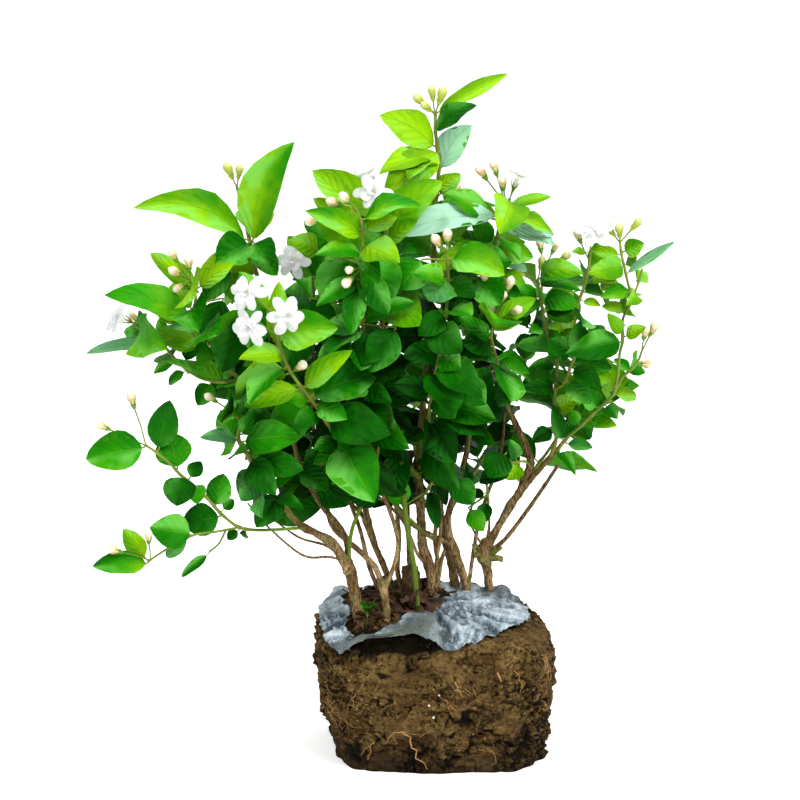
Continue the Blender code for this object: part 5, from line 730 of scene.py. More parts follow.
# How far the middle of a leaf bows out of line, across and up in centimetres, by where its tip is
BOWS = {(-21.2, 39.6): (0.1, 0.8), (-9.85, 44.2): (-0.85, 0.25), (-23.4, 33.3): (0.0, 0.45), (5.07, 49.1): (0.2, -0.3),
        (2.6, 45.4): (-0.3, 0.25), (-3.8, 46.1): (0.1, 0.25)}

# How many more leaves each shoot has than its solid, and how many grow low on each woody stem, where they can;
# the outline of the crown that they stay in, across and up as seen from the front
EXTRA_LEAVES = {"top_shoot": 9, "upper_left_shoot": 15, "left_bud_shoot": 26, "left_dark_shoot": 26,
                "left_low_shoot": 14, "front_left_shoot": 20, "centre_shoot": 22, "centre_left_shoot": 24,
                "front_middle_shoot": 20, "right_centre_shoot": 18, "front_bud_shoot": 12,
                "right_flower_shoot": 12, "right_tall_shoot": 10, "right_low_shoot": 10, "right_outer_shoot": 7,
                "centre_right_shoot": 20, "inner_right_shoot": 14, "inner_left_shoot": 26,
                "back_left_shoot": 26, "back_low_left_shoot": 24, "back_shoot": 20, "back_far_shoot": 14,
                "back_right_shoot": 18, "back_right_low_shoot": 16, "low_right_twig": 5, "low_centre_twig": 6}
LOW_LEAVES = 9
SEEDLING = (((-4.8, 9.95, -3.2), (-4.1, 10.6, -3.6), 0.8), ((-4.8, 9.95, -3.2), (-5.4, 10.7, -3.3), 0.7),
            ((-4.8, 9.95, -3.2), (-4.6, 10.3, -4.1), 0.8))
LOWEST_LEAF = 0.175
YOUNG_BUDS = ("top_shoot", "upper_left_shoot", "right_flower_shoot", "right_outer_shoot")
CROWN = ((-16.4, 35.8), (-14.5, 38.2), (-11.9, 37.9), (-9.6, 38.6), (-8.3, 41.0), (-6.2, 41.9), (-3.5, 42.4),
         (0.4, 42.3), (2.6, 40.9), (6.2, 39.3), (9.1, 37.5), (12.1, 37.0), (15.1, 35.7), (15.0, 33.0),
         (13.8, 30.2), (15.4, 29.2), (13.5, 25.8), (11.8, 23.5), (9.2, 23.9), (8.0, 25.8), (6.4, 23.5),
         (5.1, 20.7), (3.2, 19.4), (0.4, 18.5), (-3.0, 18.0), (-6.4, 18.4), (-9.3, 17.5), (-12.4, 16.9),
         (-13.3, 20.0), (-16.1, 22.8), (-15.0, 25.6), (-17.0, 26.6), (-19.5, 28.0), (-20.4, 29.9),
         (-22.8, 31.6), (-22.7, 33.2), (-19.8, 35.0))

# How young (0 dark and old, 1 yellow-green) a leaf is, low values also standing for painted shade, and how pale with
# painted sheen, by where its tip is
TINTS = {
    (-3.8, 46.1): (1.0, 0.0), (-3.9, 42.0): (0.95, 0.1), (2.9, 46.8): (0.12, 0.0), (5.07, 49.1): (0.95, 0.15),
    (2.6, 45.4): (0.45, 0.75), (1.8, 42.0): (1.1, 0.0), (-3.3, 37.5): (0.4, 1.0), (8.5, 37.6): (0.5, 0.85),
    (0.9, 40.3): (0.9, 0.0), (-0.3, 35.1): (0.75, 0.0), (7.0, 36.0): (0.75, 0.0), (6.6, 35.0): (0.5, 0.7),
    (-21.2, 39.6): (0.8, 0.1), (-9.85, 44.2): (0.78, 0.0), (-15.6, 35.0): (0.25, 0.1), (-13.5, 24.0): (0.9, 0.0),
    (-14.2, 35.6): (1.1, 0.0), (-23.4, 33.3): (0.6, 0.15), (-24.8, 29.1): (0.45, 0.6), (-18.8, 31.0): (0.6, 0.5),
    (-13.9, 28.7): (1.15, 0.0), (-11.0, 34.3): (1.1, 0.0), (-6.0, 29.3): (0.8, 0.0), (-13.6, 25.2): (0.8, 0.1),
    (-8.6, 42.2): (0.9, 0.0), (-9.0, 39.4): (0.75, 0.2), (-3.3, 31.9): (0.25, 0.2), (-5.9, 30.5): (0.2, 0.25),
    (-5.2, 27.9): (0.2, 0.3), (-1.4, 32.8): (0.4, 0.2), (-16.7, 23.0): (0.25, 0.5), (-13.9, 18.3): (0.25, 0.45),
    (-10.9, 21.9): (0.3, 0.45), (-18.9, 23.3): (0.45, 0.2), (-25.0, 21.4): (0.45, 0.05), (-24.7, 13.4): (0.5, 0.1),
    (-22.4, 16.2): (0.9, 0.0), (-20.5, 16.3): (0.45, 0.1), (-19.4, 14.1): (0.45, 0.5), (12.6, 28.4): (0.8, 0.0),
    (9.4, 29.1): (0.25, 0.1), (17.0, 37.2): (0.4, 0.6), (14.8, 37.0): (0.75, 0.0), (5.2, 19.9): (0.95, 0.0),
    (10.3, 25.8): (1.0, 0.0), (10.5, 34.9): (0.7, 0.0), (-7.3, 19.5): (0.4, 0.1), (-10.3, 37.5): (0.8, 0.0),
    (13.1, 24.3): (0.2, 0.0), (11.9, 26.6): (0.15, 0.2), (8.2, 30.1): (0.15, 0.1), (10.4, 31.4): (0.15, 0.1),
}

# Share of the length, and half the width there, for a rounded and for a pointed outline
LEAF_ROWS = ((0.03, 0.26, 0.2), (0.11, 0.66, 0.52), (0.23, 0.93, 0.84), (0.37, 1.0, 1.0), (0.52, 0.98, 0.95),
             (0.67, 0.87, 0.76), (0.81, 0.65, 0.48), (0.92, 0.38, 0.22))
PETAL_ROWS = ((0.05, 0.24, 0.2), (0.22, 0.58, 0.55), (0.42, 0.9, 0.88), (0.62, 1.0, 1.0), (0.8, 0.9, 0.82),
              (0.93, 0.58, 0.44))
CARD_COLUMNS = (-1.0, -0.55, 0.0, 0.55, 1.0)
# Height and radius of a bud as shares of its length, from the stalk to the tip
BUD_RINGS = ((0.0, 0.06), (0.06, 0.1), (0.16, 0.13), (0.27, 0.13), (0.31, 0.14), (0.44, 0.19), (0.58, 0.24),
             (0.72, 0.25), (0.84, 0.2), (0.94, 0.1))
BUD_SIDES = 10
CALYX_TEETH = 6

STEM, BLADE, BUD = 0.0, 1.0, 2.0
FLOATS = ("kind", "girth", "length", "width", "arch", "fold", "wave", "phase", "twist", "curl", "pointed",
          "tint", "pale", "bow")
VECTORS = ("foot", "ahead", "aside", "over")
KEPT = ("kind", "girth", "phase", "tint", "pale", "lengthwise", "crosswise", "skin", "rise")


def place(spot):
    """A point in metres, from how far across, up and behind it looks from the front, in centimetres."""
    across, up, behind = spot
    scale = 1 + behind / EYE_FRONT
    return Vector((EYE_ACROSS + (across - EYE_ACROSS) * scale, behind, EYE_UP + (up - EYE_UP) * scale)) * CM


# Shader and geometry trees

class Socket:
    """An output of a node. Arithmetic on it adds Math nodes."""

    def __init__(self, tree, output):
        self.tree = tree
        self.output = output

    def math(self, operation, *values):
        return self.tree.add("ShaderNodeMath", {"operation": operation}, dict(enumerate(values)))

    def __add__(self, other):
        return self.math("ADD", self, other)

    def __radd__(self, other):
        return self.math("ADD", other, self)

    def __sub__(self, other):
        return self.math("SUBTRACT", self, other)

    def __rsub__(self, other):
        return self.math("SUBTRACT", other, self)

    def __mul__(self, other):
        return self.math("MULTIPLY", self, other)

    def __rmul__(self, other):
        return self.math("MULTIPLY", other, self)

    def __abs__(self):
        return self.math("ABSOLUTE", self)

    def wave(self, operation="SINE"):
        return self.math(operation, self)

    def comb(self):
        """Runs between 0 at each whole number and 0.5 halfway between them."""
        return self.math("PINGPONG", self, 0.5)

    def ramp(self, low, high, start=0.0, end=1.0):
        """Runs smoothly from start to end while the value goes from low to high."""
        settings = {"interpolation_type": "SMOOTHSTEP"}
        return self.tree.add("ShaderNodeMapRange", settings, {0: self, 1: low, 2: high, 3: start, 4: end})


class Tree:
    """Adds nodes to a shader or geometry tree."""

    def __init__(self, nodes_and_links):
        self.tree = nodes_and_links

    def add(self, kind, settings=None, values=None, out=0):
        """One node: its settings are set first, then the values or links of its sockets."""
        node = self.tree.nodes.new(kind)
        for name, setting in (settings or {}).items():
            setattr(node, name, setting)
        for name, value in (values or {}).items():
            for item in value if isinstance(value, list) else [value]:
                if isinstance(item, Socket):
                    self.tree.links.new(item.output, node.inputs[name])
                else:
                    node.inputs[name].default_value = item
        return Socket(self, node.outputs[out]) if len(node.outputs) else node

    def mix(self, share, first, second):
        """A colour between two."""
        return self.add("ShaderNodeMix", {"data_type": "RGBA"}, {0: share, 6: first, 7: second}, 2)

    def add_vectors(self, first, second):
        return self.add("ShaderNodeVectorMath", {"operation": "ADD"}, {0: first, 1: second})

    def scaled(self, vector, factor):
        return self.add("ShaderNodeVectorMath", {"operation": "SCALE"}, {0: vector, 3: factor})

    def stretched(self, vector, factors):
        return self.add("ShaderNodeVectorMath", {"operation": "MULTIPLY"}, {0: vector, 1: factors})

    def noise(self, vector, scale, detail=2.0, roughness=0.5):
        """Soft noise between 0 and 1, its scale in cells a metre."""
        values = {"Vector": vector, "Scale": scale, "Detail": detail, "Roughness": roughness}
        return self.add("ShaderNodeTexNoise", None, values)

    def cells(self, vector, scale):
        """Distance to the nearest of scattered points."""
        return self.add("ShaderNodeTexVoronoi", None, {"Vector": vector, "Scale": scale})

    def fact(self, name):
        """A number kept on the mesh, in a material."""
        return self.add("ShaderNodeAttribute", {"attribute_name": name}, None, 2)

    def named(self, name, kind="FLOAT"):
        """A number or vector kept on the points, in a geometry tree."""
        return self.add("GeometryNodeInputNamedAttribute", {"data_type": kind}, {"Name": name})


def new_material(name):
    """A material with its tree, its shader and the object's own coordinates."""
    made = bpy.data.materials.new(name)
    made.use_nodes = True
    tree = Tree(made.node_tree)
    shader = made.node_tree.nodes["Principled BSDF"]
    spot = tree.add("ShaderNodeTexCoord", None, None, 3)
    return made, tree, shader, spot


def finish_surface(tree, shader, colour, roughness, height, distance, strength=1.0):
    """Links what varies over the surface to the shader."""
    links = tree.tree.links
    links.new(colour.output, shader.inputs["Base Color"])
    links.new(roughness.output, shader.inputs["Roughness"])
    bump = tree.add("ShaderNodeBump", None, {"Height": height, "Distance": distance, "Strength": strength})
    links.new(bump.output, shader.inputs["Normal"])


def linear(red, green, blue):
    """A colour as shaders use it, from its screen values between 0 and 255."""
    return tuple((part / 255 / 12.92) if part < 10.3 else ((part / 255 + 0.055) / 1.055) ** 2.4
                 for part in (red, green, blue)) + (1.0,)


def leaf_material(settings):
    made, tree, shader, spot = new_material("leaf_blade")
    length, across, skin = tree.fact("lengthwise"), tree.fact("crosswise"), tree.fact("skin")
    tint, pale, phase = tree.fact("tint"), tree.fact("pale"), tree.fact("phase")
    side = abs(across)
    broad = tree.noise(spot, 60, 2.0)
    fine = tree.noise(spot, 900, 3.0)
    midrib = side.ramp(0.012, 0.05, 1.0, 0.0)
    comb = (length * 5.0 - side * 1.9 + broad * 0.6).comb()
    veins = comb.ramp(0.0, 0.06, 1.0, 0.0) * length.ramp(0.05, 0.3) * length.ramp(0.7, 0.95, 1.0, 0.0)
    # Painted light and shade: lean picks the lit half of each leaf; tone lightens that half and darkens the other
    lean = (phase * 2.3).wave()
    tone = tint + (broad - 0.5) * 0.5 + across * lean * 0.14 + (length - 0.45) * phase.wave() * 0.25
    # Painted shade: leaves low in tone, deep in the crown, go towards the crown shade colour; the other steps are the
    # leaf's age
    green = tree.mix(tone.ramp(-0.2, 0.2), (*settings.crown_shade_colour, 1), (*settings.old_colour, 1))
    green = tree.mix(tone.ramp(0.15, 0.55), green, (*settings.colour, 1))
    green = tree.mix(tone.ramp(0.5, 1.0), green, (*settings.young_colour, 1))
    shown = tone.ramp(0.0, 0.5, 0.1, 1.0)
    green = tree.mix(veins * shown * 0.1, green, (*settings.vein_colour, 1))
    green = tree.mix(midrib * shown * 0.4, green, (*settings.vein_colour, 1))
    green = tree.mix(side.ramp(0.9, 1.0, 0.0, 0.16) * shown, green, (*settings.young_colour, 1))
    green = tree.mix(skin.ramp(-0.3, 0.1, 0.35, 0.0) * shown, green, linear(96, 166, 40))
    gleam = tree.noise(spot, 42, 1.0)
    half = (across * lean).ramp(-0.1, 0.4)
    upper = skin.ramp(-0.3, 0.1)
    lit = tree.mix(tone.ramp(0.0, 0.5), linear(22, 112, 16), linear(122, 208, 88))
    # Painted shade on the unlit half, then painted light on the lit half
    green = tree.mix((across * lean).ramp(-0.35, 0.05, 0.4, 0.0), green, (*settings.old_colour, 1))
    green = tree.mix(half * gleam.ramp(0.36, 0.56) * upper * 0.6, green, lit)
    # Painted sheen: a pale reflection over the upper skin of leaves with a share of pale
    green = tree.mix(pale.ramp(0.35, 1.0) * gleam.ramp(0.12, 0.42) * upper * 0.85, green, (*settings.sheen_colour, 1))
    roughness = fine * 0.12 + broad * 0.16 + 0.3 + midrib * 0.15
    height = comb.ramp(0.0, 0.5) * 0.6 - midrib * 0.8 + fine * 0.1 + broad * 1.2
    finish_surface(tree, shader, green, roughness, height, 0.001, 0.7)
    shader.inputs["Specular IOR Level"].default_value = 0.05
    return made


def shoot_material():
    made, tree, shader, spot = new_material("green_shoot")
    broad = tree.noise(spot, 55, 3.0)
    fine = tree.noise(tree.stretched(spot, (1, 1, 0.25)), 1500, 2.0)
    colour = tree.mix(broad.ramp(0.3, 0.7), linear(96, 128, 30), linear(140, 160, 52))
    woody = tree.fact("girth").ramp(0.9 * MM, 1.9 * MM) * broad.ramp(0.35, 0.6)
    colour = tree.mix(woody * 0.7, colour, linear(118, 86, 50))
    colour = tree.mix(fine.ramp(0.55, 0.75) * 0.35, colour, linear(70, 80, 26))
    finish_surface(tree, shader, colour, fine * 0.2 + 0.4, fine + broad, 0.0004)
    shader.inputs["Specular IOR Level"].default_value = 0.3
    return made


def bark_material(settings):
    made, tree, shader, spot = new_material("jasmine_bark")
    grain = tree.noise(tree.stretched(spot, (1, 1, 0.22)), 900, 4.0, 0.6)
    patches = tree.noise(spot, 75, 3.0)
    flakes = tree.cells(tree.stretched(spot, (1, 1, 0.45)), 380)
    height_up = tree.add("ShaderNodeSeparateXYZ", None, {0: spot}, 2)
    high = (height_up + (patches - 0.5) * 0.08).ramp(0.13, 0.23)
    kind = tree.fact("tint")
    colour = tree.mix(patches.ramp(0.35, 0.65), (*settings.colour, 1), (*settings.pale_colour, 1))
    colour = tree.mix(high * 0.7, colour, linear(92, 70, 38))
    colour = tree.mix(high * patches.ramp(0.45, 0.6) * 0.7, colour, linear(104, 112, 44))
    colour = tree.mix(grain.ramp(0.46, 0.64) * 0.85, colour, linear(44, 28, 10))
    colour = tree.mix(grain.ramp(0.34, 0.46, 0.6, 0.0), colour, linear(190, 158, 108))
    moss = tree.noise(spot, 110, 3.0).ramp(0.54, 0.62)
    colour = tree.mix(moss * 0.5, colour, linear(104, 112, 40))
    colour = tree.mix(flakes.ramp(0.0, 0.2, 0.5, 0.0), colour, linear(208, 184, 140))
    colour = tree.mix(kind.ramp(0.3, 0.7) * 0.85, colour, linear(98, 134, 36))
    colour = tree.mix((kind * -1).ramp(0.3, 0.7) * (grain * 0.3 + 0.6), colour, linear(40, 25, 12))
    height = grain * 0.9 + flakes * 0.8 + patches * 0.6
    finish_surface(tree, shader, colour, grain * 0.2 + 0.72, height, 0.0013, 1.0)
    shader.inputs["Specular IOR Level"].default_value = 0.12
    return made


def bud_material():
    made, tree, shader, spot = new_material("jasmine_bud")
    rise, young = tree.fact("rise"), tree.fact("tint")
    mottle = tree.noise(spot, 420, 2.0)
    shifted = rise + (mottle - 0.5) * 0.12
    colour = tree.mix(shifted.ramp(0.27, 0.31), linear(108, 152, 40), linear(214, 210, 128))
    colour = tree.mix(shifted.ramp(0.34, 0.7), colour, linear(244, 238, 212))
    blush = shifted.ramp(0.36, 0.5) * shifted.ramp(0.6, 0.9, 1.0, 0.0) * mottle.ramp(0.35, 0.6)
    colour = tree.mix(blush * 0.8, colour, linear(228, 172, 104))
    colour = tree.mix(young * shifted.ramp(0.45, 1.0, 0.95, 0.6), colour, linear(178, 196, 62))
    finish_surface(tree, shader, colour, mottle * 0.2 + 0.36, mottle, 0.0004)
    shader.inputs["Specular IOR Level"].default_value = 0.35
    return made


def petal_material(settings):
    made, tree, shader, spot = new_material("jasmine_petal")
    length, across = tree.fact("lengthwise"), tree.fact("crosswise")
    blush = tree.noise(spot, 260, 3.0)
    streaks = (across * 7 + tree.fact("phase")).comb()
    colour = tree.mix(length.ramp(0.02, 0.3), linear(238, 242, 200), (*settings.colour, 1))
    colour = tree.mix(streaks.ramp(0.0, 0.25, 0.25, 0.0), colour, linear(214, 218, 230))
    height = streaks * 0.6 + blush * 0.6
    finish_surface(tree, shader, colour, blush * 0.2 + 0.42, height, 0.0004)
    shader.inputs["Specular IOR Level"].default_value = 0.3
    shader.inputs["Subsurface Weight"].default_value = 0.6
    shader.inputs["Subsurface Radius"].default_value = (1.0, 1.0, 0.9)
    shader.inputs["Subsurface Scale"].default_value = 0.004
    # Painted light: the petals glow a little so that they stay white in shade
    shader.inputs["Emission Color"].default_value = (1, 1, 1, 1)
    shader.inputs["Emission Strength"].default_value = 0.07
    return made


def soil_material(settings):
    made, tree, shader, spot = new_material("clay_soil")
    hollow, tone = tree.fact("hollow"), tree.fact("tone")
    broad = tree.noise(spot, 38, 4.0, 0.6)
    grit = tree.noise(spot, 430, 6.0, 0.75)
    lumps = tree.noise(spot, 190, 5.0, 0.65)
    smear = tree.noise(tree.stretched(spot, (1, 1, 1.9)), 52, 6.0, 0.65)
    pits = tree.noise(spot, 330, 4.0, 0.65)
    grainy = tree.noise(spot, 26, 3.0).ramp(0.42, 0.6)
    height_up = tree.add("ShaderNodeSeparateXYZ", None, {0: spot}, 2)
    # Painted light and shade: soil that stands out turns towards the dry and lit colour, sunk soil away from it, with
    # real dry patches from the noise
    colour = tree.mix((broad + (tone - 0.5) * 0.5).ramp(0.3, 0.7), (*settings.colour, 1),
                      (*settings.dry_and_lit_colour, 1))
    colour = tree.mix(smear.ramp(0.5, 0.6) * 0.55, colour, linear(146, 118, 68))
    colour = tree.mix(smear.ramp(0.36, 0.46, 0.6, 0.0), colour, linear(62, 42, 13))
    # Painted shade in the low spots between lumps, grains and in pits, and painted highlights on raised grains
    colour = tree.mix(lumps.ramp(0.38, 0.5, 1.0, 0.0) * (grainy * 0.5 + 0.35), colour, linear(40, 26, 6))
    colour = tree.mix(grit.ramp(0.56, 0.66) * (grainy * 0.5 + 0.4), colour, linear(196, 160, 98))
    colour = tree.mix(grit.ramp(0.36, 0.46, 0.85, 0.0) * (grainy * 0.5 + 0.4), colour, linear(34, 21, 5))
    colour = tree.mix(pits.ramp(0.36, 0.43, 0.95, 0.0) * (grainy * 0.6 + 0.4), colour, linear(12, 6, 1))
    # Painted shade near the foot of the soil
    low = (height_up + (broad - 0.5) * 0.05).ramp(0.0, 0.035, 0.7, 0.0)
    colour = tree.mix(low, colour, linear(30, 20, 6))
    # Painted shade in cracks, pits and hollows, and painted shadow under the film's front edge
    colour = tree.mix(hollow.ramp(0.1, 0.7) * 0.95, colour, linear(12, 7, 1))
    height = grit * 0.7 + lumps * 0.9 + pits.ramp(0.3, 0.5) * 0.7 + smear * 1.2
    finish_surface(tree, shader, colour, grit * 0.15 + 0.62 + grainy * 0.2, height, 0.0026, 1.0)
    shader.inputs["Specular IOR Level"].default_value = 0.14
    return made


def root_material():
    made, tree, shader, spot = new_material("root_fibre")
    broad = tree.noise(spot, 60, 3.0)
    fine = tree.noise(spot, 1300, 3.0)
    colour = tree.mix(broad.ramp(0.35, 0.65), linear(104, 70, 32), linear(152, 108, 58))
    colour = tree.mix(tree.fact("tint").ramp(0.2, 0.9), colour, linear(196, 150, 88))
    colour = tree.mix(tree.fact("tint").ramp(1.2, 1.8), colour, linear(242, 236, 222))
    colour = tree.mix(fine.ramp(0.45, 0.75) * 0.6, colour, linear(74, 48, 22))
    finish_surface(tree, shader, colour, fine * 0.2 + 0.62, fine, 0.0003)
    return made


def litter_material():
    made, tree, shader, spot = new_material("dry_litter")
    broad = tree.noise(spot, 120, 3.0)
    fine = tree.noise(spot, 1100, 3.0)
    colour = tree.mix(broad.ramp(0.3, 0.7), linear(44, 27, 13), linear(104, 68, 36))
    colour = tree.mix(fine.ramp(0.5, 0.7) * 0.7, colour, linear(24, 14, 6))
    finish_surface(tree, shader, colour, fine * 0.2 + 0.7, fine, 0.0004)
    return made


def film_material(settings):
    made, tree, shader, spot = new_material("polythene_film")
    fold, stain, back = tree.fact("fold_height"), tree.fact("stain"), tree.fact("back")
    broad = tree.noise(spot, 40, 4.0, 0.6)
    creases = abs(tree.noise(spot, 75, 3.0, 0.6) - 0.5)
    wrinkles = abs(tree.noise(spot, 230, 3.0, 0.6) - 0.5)
    streaks = tree.noise(tree.stretched(spot, (1.5, 0.42, 1)), 150, 4.0, 0.65)
    grit = tree.noise(spot, 520, 4.0, 0.6)
    calm = 1.0 - stain * 0.75
    colour = tree.mix(broad.ramp(0.36, 0.6), (*settings.shade_colour, 1), (*settings.colour, 1))
    # Painted shade in the valleys of the folds
    colour = tree.mix(fold.ramp(0.3, 0.5, 0.85, 0.0) * calm, colour, linear(40, 54, 64))
    # Painted shade and highlights along the streaks, painted glints on the crease lines and painted shade in the
    # wrinkles
    colour = tree.mix(streaks.ramp(0.4, 0.5, 0.75, 0.0) * calm, colour, linear(54, 70, 80))
    colour = tree.mix(streaks.ramp(0.54, 0.64) * calm * 0.65, colour, linear(214, 231, 243))
    colour = tree.mix(creases.ramp(0.0, 0.02, 0.5, 0.0) * calm, colour, linear(232, 241, 248))
    colour = tree.mix(wrinkles.ramp(0.0, 0.016, 0.5, 0.0), colour, linear(50, 64, 72))
    # Painted highlights on the ridges of the folds
    colour = tree.mix(fold.ramp(0.56, 0.76) * broad.ramp(0.34, 0.58) * calm * 0.6, colour, linear(226, 238, 247))
    colour = tree.mix(stain * 0.85, colour, linear(98, 108, 98))
    # Painted shade in the wrinkles of the stained band
    colour = tree.mix(stain * wrinkles.ramp(0.0, 0.03, 0.6, 0.0), colour, linear(52, 60, 58))
    colour = tree.mix(back * 0.9, colour, linear(26, 32, 36))
    dirt = (grit.ramp(0.55, 0.63) * (stain * 0.6 + broad.ramp(0.42, 0.62))).ramp(0.1, 0.8)
    colour = tree.mix(dirt * 0.7, colour, linear(112, 92, 56))
    height = creases * 1.6 + wrinkles * 0.6 + streaks * 0.5
    finish_surface(tree, shader, colour, dirt * 0.4 + 0.24 + broad * 0.14, height, 0.0018, 0.9)
    shader.inputs["Specular IOR Level"].default_value = 0.5
    return made


# Trees that grow the plant

def new_group(name, inputs):
    """A Geometry Nodes tree with its named inputs, as a tree and the input sockets."""
    group = bpy.data.node_groups.new(name, "GeometryNodeTree")
    group.interface.new_socket("Geometry", in_out="INPUT", socket_type="NodeSocketGeometry")
    group.interface.new_socket("Geometry", in_out="OUTPUT", socket_type="NodeSocketGeometry")
    for title, kind in inputs:
        group.interface.new_socket(title, in_out="INPUT", socket_type="NodeSocket" + kind)
    tree = Tree(group)
    entry = group.nodes.new("NodeGroupInput")
    return group, tree, {output.name: Socket(tree, output) for output in entry.outputs if output.name}


def blade_position(tree, half_thickness):
    """Where a point of the flat blade goes: arched, folded along its midrib, waved, curled and twisted."""
    share, across, skin = tree.named("lengthwise"), tree.named("crosswise"), tree.named("skin")
    length, fold, turned = tree.named("length"), tree.named("fold"), tree.named("twist")
    rounded, narrow = tree.named("rounded_half"), tree.named("pointed_half")
    half = (rounded + (narrow - rounded) * tree.named("pointed")) * tree.named("width") * 0.5
    turn = turned * (share - 0.35)
    cosine, sine = turn.wave("COSINE"), turn.wave()
    flat = across * half * fold.wave("COSINE")
    ripple = (share * 10.0 + tree.named("phase") + across * 1.6).wave() * tree.named("wave")
    lift = abs(across) * half * fold.wave() + ripple * across * across * half
    lift = lift + skin * half_thickness
    rise = share * (1 - share) * tree.named("arch") * 4 - share * share * share * tree.named("curl")
    along = tree.scaled(tree.named("ahead", "FLOAT_VECTOR"), share * length)
    side = tree.scaled(tree.named("aside", "FLOAT_VECTOR"),
                       flat * cosine - lift * sine + share * (1 - share) * tree.named("bow") * length * 4)
    up = tree.scaled(tree.named("over", "FLOAT_VECTOR"), flat * sine + lift * cosine + rise * length)
    return tree.add_vectors(tree.add_vectors(tree.named("foot", "FLOAT_VECTOR"), along),
                            tree.add_vectors(side, up))


def growth_tree():
    """Stems along the lines of a mesh, blades and buds on its loose points."""
    group, tree, given = new_group("growth", (
        ("Blade", "Object"), ("Bud", "Object"), ("Stem Material", "Material"), ("Blade Material", "Material"),
        ("Bud Material", "Material"), ("Half Thickness", "Float"), ("Stem Step", "Float"), ("Stem Sides", "Int"),
        ("Gnarl", "Float"), ("Gnarl Scale", "Float")))
    kind = tree.named("kind")
    separate, mesh_to_points = "GeometryNodeSeparateGeometry", "GeometryNodeMeshToPoints"
    is_stem, is_bud = kind.math("LESS_THAN", kind, 0.5), kind.math("GREATER_THAN", kind, 1.5)
    is_blade = 1 - is_stem - is_bud

    lines = tree.add(separate, None, {"Geometry": given["Geometry"], "Selection": is_stem})
    curve = tree.add("GeometryNodeMeshToCurve", None, {"Mesh": lines})
    curve = tree.add("GeometryNodeResampleCurve", {"mode": "LENGTH"},
                     {"Curve": curve, "Length": given["Stem Step"]})
    ring = tree.add("GeometryNodeCurvePrimitiveCircle", None, {"Resolution": given["Stem Sides"], "Radius": 1.0})
    girth = tree.named("girth")
    stems = tree.add("GeometryNodeCurveToMesh", None,
                     {"Curve": curve, "Profile Curve": ring, "Scale": girth, "Fill Caps": True})
    rough = tree.noise(tree.add("GeometryNodeInputPosition"), given["Gnarl Scale"], 3.0, 0.6) - 0.5
    offset = tree.scaled(tree.add("GeometryNodeInputNormal"), rough * girth * given["Gnarl"])
    stems = tree.add("GeometryNodeSetPosition", None, {"Geometry": stems, "Offset": offset})

    points = tree.add(separate, None, {"Geometry": given["Geometry"], "Selection": is_blade})
    card = tree.add("GeometryNodeObjectInfo", None, {"Object": given["Blade"]}, 4)
    blades = tree.add("GeometryNodeInstanceOnPoints", None,
                      {"Points": tree.add(mesh_to_points, None, {"Mesh": points}), "Instance": card})
    blades = tree.add("GeometryNodeRealizeInstances", None, {"Geometry": blades})
    blades = tree.add("GeometryNodeSetPosition", None,
                      {"Geometry": blades, "Position": blade_position(tree, given["Half Thickness"])})

    points = tree.add(separate, None, {"Geometry": given["Geometry"], "Selection": is_bud})
    shape = tree.add("GeometryNodeObjectInfo", None, {"Object": given["Bud"]}, 4)
    turn = tree.add("FunctionNodeAlignRotationToVector", {"axis": "Z"},
                    {"Vector": tree.named("ahead", "FLOAT_VECTOR")})
    buds = tree.add("GeometryNodeInstanceOnPoints", None,
                    {"Points": tree.add(mesh_to_points, None, {"Mesh": points}), "Instance": shape,
                     "Rotation": turn, "Scale": tree.named("length")})

    whole = tree.add("GeometryNodeJoinGeometry", None, {"Geometry": [stems, blades, buds]})
    whole = tree.add("GeometryNodeRealizeInstances", None, {"Geometry": whole})
    whole = tree.add("GeometryNodeSetShadeSmooth", None, {"Geometry": whole})
    for title, chosen in (("Stem Material", is_stem), ("Blade Material", is_blade), ("Bud Material", is_bud)):
        whole = tree.add("GeometryNodeSetMaterial", None,
                         {"Geometry": whole, "Selection": chosen, "Material": given[title]})
    tree.add("NodeGroupOutput", None, {0: whole})
    return group


def crumb_tree():
    """Crumbs of soil scattered over a surface."""
    group, tree, given = new_group("crumbs", (
        ("Crumb", "Object"), ("Density", "Float"), ("Smallest", "Float"), ("Largest", "Float"),
        ("Material", "Material"), ("Seed", "Int")))
    height = tree.add("ShaderNodeSeparateXYZ", None, {0: tree.add("GeometryNodeInputPosition")}, 2)
    points = tree.add("GeometryNodeDistributePointsOnFaces", None,
                      {"Mesh": given["Geometry"], "Density": given["Density"], "Seed": given["Seed"],
                       "Selection": height.math("GREATER_THAN", height, 0.5 * CM)})
    shape = tree.add("GeometryNodeObjectInfo", None, {"Object": given["Crumb"]}, 4)
    size = tree.add("FunctionNodeRandomValue", {"data_type": "FLOAT"},
                    {2: 0.0, 3: 1.0, "Seed": given["Seed"]}, 1)
    size = given["Smallest"] + size * size * size * (given["Largest"] - given["Smallest"])
    turn = tree.add("FunctionNodeRandomValue", {"data_type": "FLOAT_VECTOR"},
                    {0: (0, 0, 0), 1: (6.28, 6.28, 6.28), "Seed": given["Seed"]}, 0)
    crumbs = tree.add("GeometryNodeInstanceOnPoints", None,
                      {"Points": points, "Instance": shape, "Rotation": turn, "Scale": size})
    crumbs = tree.add("GeometryNodeRealizeInstances", None, {"Geometry": crumbs})
    crumbs = tree.add("GeometryNodeSetMaterial", None, {"Geometry": crumbs, "Material": given["Material"]})
    tree.add("NodeGroupOutput", None, {0: crumbs})
    return group


def evaluated_mesh(holder):
    bpy.context.view_layer.update()
    return bpy.data.meshes.new_from_object(holder.evaluated_get(bpy.context.evaluated_depsgraph_get()))


